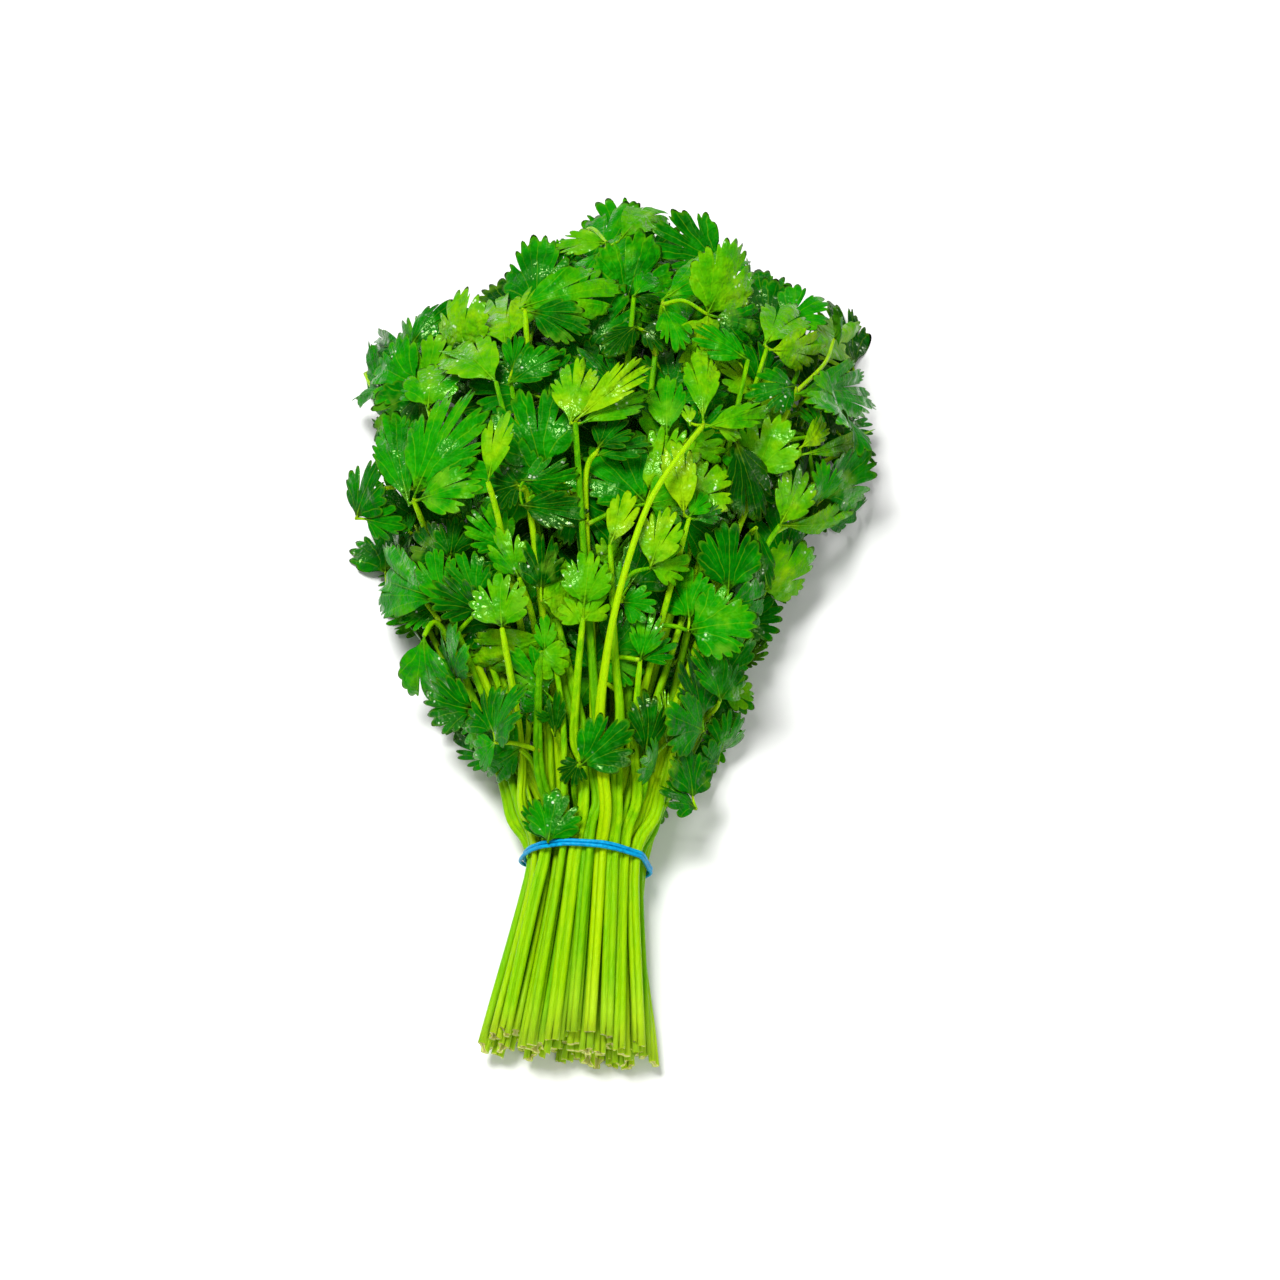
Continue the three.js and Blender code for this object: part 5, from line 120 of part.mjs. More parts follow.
  [[[22.581,-143.028,6.649,1.632],[16.717,-87.38,12.362,1.632],[18.448,-77.38,13.315,1.589],[14.245,103.433,31.388,0.816]],[[0,[14.24,103.43,31.39],[[14.24,103.43,31.39,16.19,117.21,24.36,0.236,0.415,0.879,14.03,0.013,-0.103,1,0,0],[14.24,103.43,31.39,29.52,108.43,27.36,0.126,0.361,0.924,14.91,0.067,0.021,1,1,0],[14.24,103.43,31.39,6.4,110.05,30.87,0.257,0.374,0.891,9.24,0.069,0.175,1,0,0]]],[[[14.3,101.08,31.15],[26.57,104.48,37.31],[32.71,102.66,41.78]],[32.71,102.66,41.78],[[29.73,103.84,41.71,8.01,112.3,45.79,0.133,-0.133,0.982,21.36,-0.001,0.105,2,1,0],[32.71,102.66,41.78,17.35,88.17,41.64,-0.264,0.272,0.925,22.28,0.009,0.045,2,2,0]]],[[[17.11,-16.52,19.43],[14.93,-13.78,26.63],[15.76,-14.49,31.71]],[15.76,-14.49,31.71],[[18.77,-13.9,30.79,34.23,-11.95,27.27,0.238,-0.162,0.958,14.76,0.036,-0.235,2,0,0],[15.76,-14.49,31.71,21.97,-24.41,28.76,0.356,-0.054,0.933,10.58,0.014,-0.026,1,0,0]]],[[[14.58,89.32,29.96],[10.95,89.68,27.83],[8.54,89.05,25.42]],[8.54,89.05,25.42],[[9.51,91.99,24.61,15.6,110.26,19.62,0.29,0.161,0.943,17.46,0.038,-0.185,1,1,0],[8.54,89.05,25.42,22.83,86.77,18.89,0.43,0.143,0.891,14.5,0.082,-0.13,2,0,0],[8.54,89.05,25.42,-2.98,99.46,28.98,0.37,0.093,0.924,15.73,0.048,-0.003,1,2,0]]],[[[14.58,89.32,29.96],[33.59,91.26,28.59],[47.32,89.25,27.23]],[47.32,89.25,27.23],[[46.32,92.27,27.59,40,111.27,30.09,-0.173,-0.185,0.967,17.75,0.064,-0.089,0,1,0],[47.32,89.25,27.23,28.98,91.38,19.66,-0.393,-0.318,0.863,18.46,-0.017,-0.232,1,2,0]]],[[[14.94,74.13,28.44],[7.33,78.21,35.65],[1.38,80.61,42.51]],[1.38,80.61,42.51],[[1.8,83.7,43.25,5.62,105.33,50.71,0.32,-0.359,0.877,23.89,0.047,0.015,0,2,0],[1.38,80.61,42.51,19.71,83.89,37.06,0.281,0.025,0.959,18.27,-0.008,0.034,1,1,0]]],[[[15.11,67.07,27.73],[22.99,75.83,32.3],[33.74,74.7,34.55]],[33.74,74.7,34.55],[[36.18,72.79,33.77,47.95,62.86,29.4,0.622,0.457,0.636,15.92,0.051,0.198,1,0,0],[33.74,74.7,34.55,31.81,64.85,40.95,0.57,0.366,0.736,10.62,-0.008,-0.144,0,0,0],[33.74,74.7,34.55,38.71,83.06,21.84,0.614,0.528,0.587,15.12,0.086,0.13,0,1,0]]],[[[15.19,63.53,27.38],[12.73,71.3,38.3],[12.69,76.14,44.68]],[12.69,76.14,44.68],[[12.69,76.14,44.68,24.69,72.67,39.35,0.466,0.406,0.786,12.45,0.109,-0.197,1,1,0],[12.69,76.14,44.68,7.06,83.82,44.02,0.466,0.409,0.784,9.45,0.076,-0.073,2,2,0]]]]],
  [[[-0.808,-138.972,5.248,1.497],[1.952,-87.38,9.448,1.497],[-0.812,-77.38,10.012,1.412],[-5.88,-65.38,13.242,1.309],[-27.469,-6.498,24.995,0.748]],[[0,[-27.47,-6.5,25],[[-27.47,-6.5,25,-24.24,11.33,22.35,-0.984,0.172,-0.045,16.48,0.013,-0.096,1,1,0],[-27.47,-6.5,25,-29.09,3.23,37.03,-0.992,-0.004,-0.13,14,0.054,-0.083,1,1,0],[-27.47,-6.5,25,-26.56,-2.03,13.41,-0.996,0.081,-0.047,11.2,0.088,-0.057,0,1,0]]],[[[-25,-13.01,23.67],[-23.59,-6.67,32.9],[-24.77,-4.73,40.29]],[-24.77,-4.73,40.29],[[-27.91,-4.13,40.32,-47.57,-1.04,41.5,-0.032,-0.528,0.849,21,0.098,0.083,2,1,0],[-24.77,-4.73,40.29,-28.75,9.25,50.29,-0.072,-0.594,0.802,18.92,0.023,-0.029,2,0,0],[-24.77,-4.73,40.29,-30.45,-13.21,36.86,0.05,-0.404,0.913,10.83,0.003,-0.139,0,1,0]]],[[[-21.36,-22.74,21.71],[-17.98,-20.99,23.19],[-14.62,-20.11,24.56]],[-14.62,-20.11,24.56],[[-15.19,-17.14,25.61,-21.77,-1.3,29.72,-0.486,-0.403,0.775,17.91,0.001,-0.209,0,2,0],[-14.62,-20.11,24.56,-1.47,-11.01,33.96,-0.377,-0.344,0.86,17.79,0.092,-0.089,1,2,0]]]]],
];

const V = (a) => new THREE.Vector3(a[0], a[1], a[2]);

// A closed solid from vertices and triangles.
function solid(points, faces) {
  const vertProperties = new Float32Array(points.length * 3);
  points.forEach((p, i) => vertProperties.set([p.x, p.y, p.z], i * 3));
  const made = new wasm.Manifold(
    new wasm.Mesh({
      numProp: 3,
      vertProperties,
      triVerts: new Uint32Array(faces.flat()),
    }),
  );
  return made;
}

// How many times a closed surface winds round a point.
function winding(points, faces, p) {
  let sum = 0;
  const arms = points.map((q) => q.clone().sub(p));
  const far = arms.map((q) => q.length());
  for (const [a, b, c] of faces) {
    const [u, v, w] = [arms[a], arms[b], arms[c]];
    const solidAngle = u.x * (v.y * w.z - v.z * w.y) + u.y * (v.z * w.x - v.x * w.z) + u.z * (v.x * w.y - v.y * w.x);
    sum += 2 * Math.atan2(solidAngle, far[a] * far[b] * far[c] + u.dot(v) * far[c] + u.dot(w) * far[b] + v.dot(w) * far[a]);
  }
  return sum / (4 * Math.PI);
}

// Area of a closed surface that is inside out: just inside a sound face the surface winds round at least once.
function insideOut(points, faces) {
  return faces.reduce((sum, f) => {
    const [a, b, c] = f.map((i) => points[i]);
    const normal = b.clone().sub(a).cross(c.clone().sub(a));
    const area = normal.length() / 2;
    normal.normalize();
    const p = a.clone().add(b).add(c).divideScalar(3).addScaledVector(normal, -SKIN);
    return winding(points, faces, p) < 0.6 ? sum + area : sum;
  }, 0);
}

// The side vector carried along a line without twisting.
function frames(line) {
  const n = line.length;
  let side = new THREE.Vector3(0, 0, 1);
  return line.map((_, i) => {
    const along = line[Math.min(i + 1, n - 1)].clone().sub(line[Math.max(i - 1, 0)]).normalize();
    if (i === 0 && Math.abs(along.z) > 0.8) side.set(1, 0, 0);
    side = side.clone().addScaledVector(along, -side.dot(along)).normalize();
    return [side, along.clone().cross(side), along];
  });
}

// The rings and walls of a tapering round bar, open at its far end; the near end is capped.
function walls(line, radii, sides) {
  const points = [];
  const faces = [];
  frames(line).forEach(([side, other], i) => {
    for (let k = 0; k < sides; k++) {
      const t = (2 * Math.PI * k) / sides;
      points.push(
        line[i]
          .clone()
          .addScaledVector(side, Math.cos(t) * radii[i])
          .addScaledVector(other, Math.sin(t) * radii[i]),
      );
    }
  });
  for (let i = 0; i < line.length - 1; i++)
    for (let k = 0; k < sides; k++) {
      const a = i * sides + k;
      const b = i * sides + ((k + 1) % sides);
      faces.push([a, b, b + sides], [a, b + sides, a + sides]);
    }
  for (let k = 1; k < sides - 1; k++) faces.push([0, k + 1, k]);
  return { points, faces };
}

function stemBar(line, radii) {
  const { points, faces } = walls(line, radii, STEM_SIDES);
  const e = (line.length - 1) * STEM_SIDES;
  for (let k = 1; k < STEM_SIDES - 1; k++) faces.push([e, e + k, e + k + 1]);
  return solid(points, faces);
}

// Grows a leaflet out of one face of its stalk: a thin lens whose rim is the lobed outline, arched along and folded across.
function growLeaflet(points, faces, from, l, hub) {
  const root = V(l);
  const along = new THREE.Vector3(l[3], l[4], l[5]).sub(root);
  const length = along.length();
  along.normalize();
  const facing = new THREE.Vector3(l[6], l[7], l[8]);
  facing.addScaledVector(along, -facing.dot(along)).normalize();
  const across = along.clone().cross(facing);
  let [a, b, c] = from;
  if (root.distanceTo(hub) > 1.6) {
    // its own short stalk: a ring of three carried out to the root
    const reach = root.clone().sub(hub).add(along).normalize();
    const centre = points[a].clone().add(points[b]).add(points[c]).divideScalar(3);
    const base = points.length;
    for (const v of [a, b, c]) {
      const out = points[v].clone().sub(centre);
      out.addScaledVector(reach, -out.dot(reach)).normalize();
      points.push(root.clone().addScaledVector(out, PETIOLULE_R));
    }
    const ring = [base, base + 1, base + 2];
    [a, b, c].forEach((v, k) => {
      const w = [a, b, c][(k + 1) % 3];
      faces.push([v, w, ring[(k + 1) % 3]], [v, ring[(k + 1) % 3], ring[k]]);
    });
    [a, b, c] = ring;
  }
  const [width, arch, fold] = [l[9], l[10], l[11]];
  const at = (u, v, lift) =>
    root
      .clone()
      .addScaledVector(along, length * v)
      .addScaledVector(across, width * u)
      .addScaledVector(
        facing,
        arch * length * 4 * v * (1 - v) + fold * width * 0.5 * Math.pow(Math.abs(u) * 2, 1.5) + lift,
      );
  // which corner of the root face stands above or below the line between the other two
  let best = null;
  for (const [x, p, q] of [
    [a, b, c],
    [b, c, a],
    [c, a, b],
  ]) {
    const spread = points[p].clone().sub(points[q]).dot(across);
    if (!best || Math.abs(spread) > Math.abs(best.spread)) best = { x, p, q, spread };
  }
  const above = best.spread > 0;
  const right = above ? best.p : best.q;
  const left = above ? best.q : best.p;
  const rim = l[14] ? RIMS.lobed : length < SMALL_LEAFLET ? RIMS.small : RIMS.plain;
  const first = points.length;
  rim.forEach(([u, v]) => points.push(at(u, v, 0)));
  const top = points.length;
  points.push(at(0, 0.5, LEAFLET_T / 2), at(0, 0.5, -LEAFLET_T / 2));
  const edge = [right, ...rim.map((_, i) => first + i), left];
  for (let i = 0; i < edge.length - 1; i++)
    faces.push([edge[i], edge[i + 1], top], [edge[i + 1], edge[i], top + 1]);
  if (above) faces.push([left, best.x, top], [best.x, right, top], [right, left, top + 1]);
  else faces.push([left, right, top], [right, best.x, top + 1], [best.x, left, top + 1]);
}

// A leaf: its stalk, with its leaflets growing from the last joint.
function leafSpray(line, radii, leaflets, hub) {
  const { points, faces } = walls(line, radii, STALK_SIDES);
  const e = (line.length - 1) * STALK_SIDES;
  const endFace = [e, e + 1, e + 2];
  const joint = faces.splice((line.length - 2) * STALK_SIDES * 2, STALK_SIDES * 2);
  const open = [endFace, ...joint];
  const normal = ([a, b, c]) =>
    points[b].clone().sub(points[a]).cross(points[c].clone().sub(points[a])).normalize();
  const middle = ([a, b, c]) => points[a].clone().add(points[b]).add(points[c]).divideScalar(3);
  const taken = new Set();
  const wants = leaflets.map((l) => {
    const root = V(l);
    const tip = new THREE.Vector3(l[3], l[4], l[5]);
    return tip.sub(root).normalize().multiplyScalar(0.7).add(root.clone().sub(hub).multiplyScalar(0.1)).normalize();
  });
  const lastDir = line[line.length - 1].clone().sub(line[line.length - 2]).normalize();
  const order = leaflets.map((_, i) => i).sort((i, j) => wants[j].dot(lastDir) - wants[i].dot(lastDir));
  order.forEach((i, rank) => {
    let pick = -1;
    let score = -9;
    open.forEach((f, k) => {
      if (taken.has(k)) return;
      if (rank === 0 ? k !== 0 : k === 0) return;
      const s = normal(f).dot(wants[i]) + 0.02 * middle(f).sub(hub).dot(wants[i]);
      if (s > score) [score, pick] = [s, k];
    });
    taken.add(pick);
    growLeaflet(points, faces, open[pick], leaflets[i], hub);
  });
  open.forEach((f, k) => {
    if (!taken.has(k)) faces.push(f);
  });
  if (insideOut(points, faces) < INSIDE_OUT) return solid(points, faces);
  // leaflets that cross each other or their stalk are made one by one and joined
  const bare = walls(line, radii, STALK_SIDES);
  bare.faces.push(endFace);
  let made = solid(bare.points, bare.faces);
  for (const l of leaflets) {
    const root = V(l);
    const along = new THREE.Vector3(l[3], l[4], l[5]).sub(root).normalize();
    if (root.distanceTo(hub) > 0.8) {
      const own = walls([hub, root], [PETIOLULE_R, PETIOLULE_R], STALK_SIDES);
      own.faces.push([3, 4, 5]);
      made = made.add(solid(own.points, own.faces));
    }
    const { points: blade } = walls([root.clone().addScaledVector(along, -0.25), root], [PETIOLULE_R, PETIOLULE_R], STALK_SIDES);
    const start = blade.slice(0, 3);
    const shell = [[0, 2, 1]];
    growLeaflet(start, shell, [0, 1, 2], l, root);
    made = made.add(solid(start, shell));
  }
  return made;
}

// One sprig, grown as one piece: its stem, its leaf stalks and their leaflets.
function sprig([stem, leaves]) {
  const line = stem.map(V);
  const n = line.length;
  const end = line[n - 1].clone();
  const dir = end.clone().sub(line[n - 2]).normalize();
  line[n - 1] = end.clone().addScaledVector(dir, -HEAD_BACK);
  // a stem that doubles back is made in lengths, joined where it turns
  const lengths = [[0]];
  for (let i = 1; i < n; i++) {
    lengths[lengths.length - 1].push(i);
    if (i === n - 1) break;
    const before = line[i].clone().sub(line[i - 1]).normalize();
    const after = line[i + 1].clone().sub(line[i]).normalize();
    if (before.dot(after) < SHARP) lengths.push([i]);
  }
  let made = lengths
    .map((run) =>
      stemBar(
        run.map((i) => line[i]),
        run.map((i) => stem[i][3]),
      ),
    )
    .reduce((a, b) => a.add(b));
  for (const [stalk, hubAt, leaflets] of leaves) {
    const hub = V(hubAt);
    let path;
    let radii;
    if (stalk) {
      const c = stalk.map(V);
      const d = c[2].clone().sub(c[1]).normalize();
      path = [c[0], c[1], c[2].clone().addScaledVector(d, -FORK_L), c[2]];
      radii = [STALK_R, (STALK_R + STALK_TIP_R) / 2, STALK_TIP_R, STALK_TIP_R];
      if (c[1].distanceTo(path[2]) < 1.5) {
        path.splice(1, 1);
        radii.splice(1, 1);
      }
    } else {
      path = [
        end.clone().addScaledVector(dir, -HEAD_BACK - 1.6),
        end.clone().addScaledVector(dir, -HEAD_BACK + 0.4),
        end,
      ];
      radii = [0.42, STALK_TIP_R * 0.9, STALK_TIP_R * 0.9];
    }
    made = made.add(leafSpray(path, radii, leaflets, hub));
  }
  // edges shorter than the tolerance are closed up, and the specks they leave are dropped
  return made
    .simplify(TOLERANCE)
    .decompose()
    .sort((a, b) => b.volume() - a.volume())[0];
}

// The band: one closed loop of rubber wound twice, its windings crossing once.
function elasticBand() {
  const n = BAND_LOOP.length;
  const line = [];
  const centre = BAND_LOOP.reduce((s, p) => [s[0] + p[0] / n, s[1] + p[1] / n], [0, 0]);
  for (let turn = 0; turn < 2; turn++)
    for (let i = 0; i < n; i++) {
      const share = i / n;
      const d = (share - BAND_CROSS_AT) / BAND_CROSS_HALF;
      const swap = THREE.MathUtils.smoothstep(d, -1, 1);
      const side = turn === 0 ? 1 - 2 * swap : 2 * swap - 1;
      const lift = turn === 1 && Math.abs(d) < 1.6 ? BAND_CROSS_LIFT * 0.5 * (1 + Math.cos((Math.PI * d) / 1.6)) : 0;
      const [x, z] = BAND_LOOP[i];
      const out = new THREE.Vector2(x - centre[0], (z - centre[1]) * 1.5).normalize();
      line.push(new THREE.Vector3(x + out.x * lift, BAND_Y + side * BAND_PITCH, z + out.y * lift));
    }
  const sides = 5;
  const points = [];
  const faces = [];
  const m = line.length;
  for (let i = 0; i < m; i++) {
    const along = line[(i + 1) % m].clone().sub(line[(i + m - 1) % m]).normalize();
    const y = new THREE.Vector3(0, 1, 0).addScaledVector(along, -along.y).normalize();
    const out = along.clone().cross(y);
    for (let k = 0; k < sides; k++) {
      const t = (2 * Math.PI * k) / sides;
      points.push(
        line[i]
          .clone()
          .addScaledVector(y, Math.cos(t) * BAND_STRAND_R)
          .addScaledVector(out, Math.sin(t) * BAND_STRAND_R),
      );
    }
  }
  for (let i = 0; i < m; i++)
    for (let k = 0; k < sides; k++) {
      const a = i * sides + k;
      const b = i * sides + ((k + 1) % sides);
      const c = ((i + 1) % m) * sides + k;
      const d = ((i + 1) % m) * sides + ((k + 1) % sides);
      faces.push([a, b, d], [a, d, c]);
    }
  return solid(points, faces);
}

function geometryOf(made) {
  const mesh = made.getMesh();
  const n = mesh.numProp;
  const position = new Float32Array(mesh.numVert * 3);
  for (let i = 0; i < mesh.numVert; i++)
    position.set(mesh.vertProperties.subarray(i * n, i * n + 3), i * 3);
  const geometry = new THREE.BufferGeometry();
  geometry.setAttribute("position", new THREE.BufferAttribute(position, 3));
  geometry.setIndex(new THREE.BufferAttribute(new Uint32Array(mesh.triVerts), 1));
  geometry.computeVertexNormals();
  return geometry;
}

const bunch = new THREE.Group();
bunch.name = "coriander_bunch";

const GREENS = [0x3f9a1c, 0x57a81c, 0x6fb41c, 0x86bd1f];
SPRIGS.forEach((entry, i) => {
  const made = sprig(entry);
  const mesh = new THREE.Mesh(
    geometryOf(made),
    new THREE.MeshStandardMaterial({
      color: GREENS[i % GREENS.length],
      roughness: 0.5,
      metalness: 0,
    }),
  );
  mesh.name = "sprig_" + String(i + 1).padStart(2, "0");
  bunch.add(mesh);
});

const band = new THREE.Mesh(
  geometryOf(elasticBand()),
  new THREE.MeshStandardMaterial({ color: 0x1390de, roughness: 0.35, metalness: 0 }),
);
band.name = "elastic_band";
bunch.add(band);

export default bunch;
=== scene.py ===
"""Coriander bunch: the look of every sprig and of the elastic band, on the CAD frame."""

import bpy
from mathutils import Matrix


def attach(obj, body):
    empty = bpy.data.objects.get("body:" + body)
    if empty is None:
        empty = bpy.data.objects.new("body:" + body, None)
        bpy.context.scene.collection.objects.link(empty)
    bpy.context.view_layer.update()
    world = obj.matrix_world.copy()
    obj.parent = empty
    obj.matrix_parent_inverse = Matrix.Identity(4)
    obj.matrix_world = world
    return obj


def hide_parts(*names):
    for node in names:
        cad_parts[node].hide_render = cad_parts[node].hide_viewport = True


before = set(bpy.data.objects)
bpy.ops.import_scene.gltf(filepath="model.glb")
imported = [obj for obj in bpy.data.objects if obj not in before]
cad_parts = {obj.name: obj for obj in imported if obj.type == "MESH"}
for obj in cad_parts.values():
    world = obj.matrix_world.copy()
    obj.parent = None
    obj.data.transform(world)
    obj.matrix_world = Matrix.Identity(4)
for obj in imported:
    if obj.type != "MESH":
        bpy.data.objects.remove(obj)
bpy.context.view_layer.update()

import math
import bpy
import numpy as np
from mathutils import Matrix

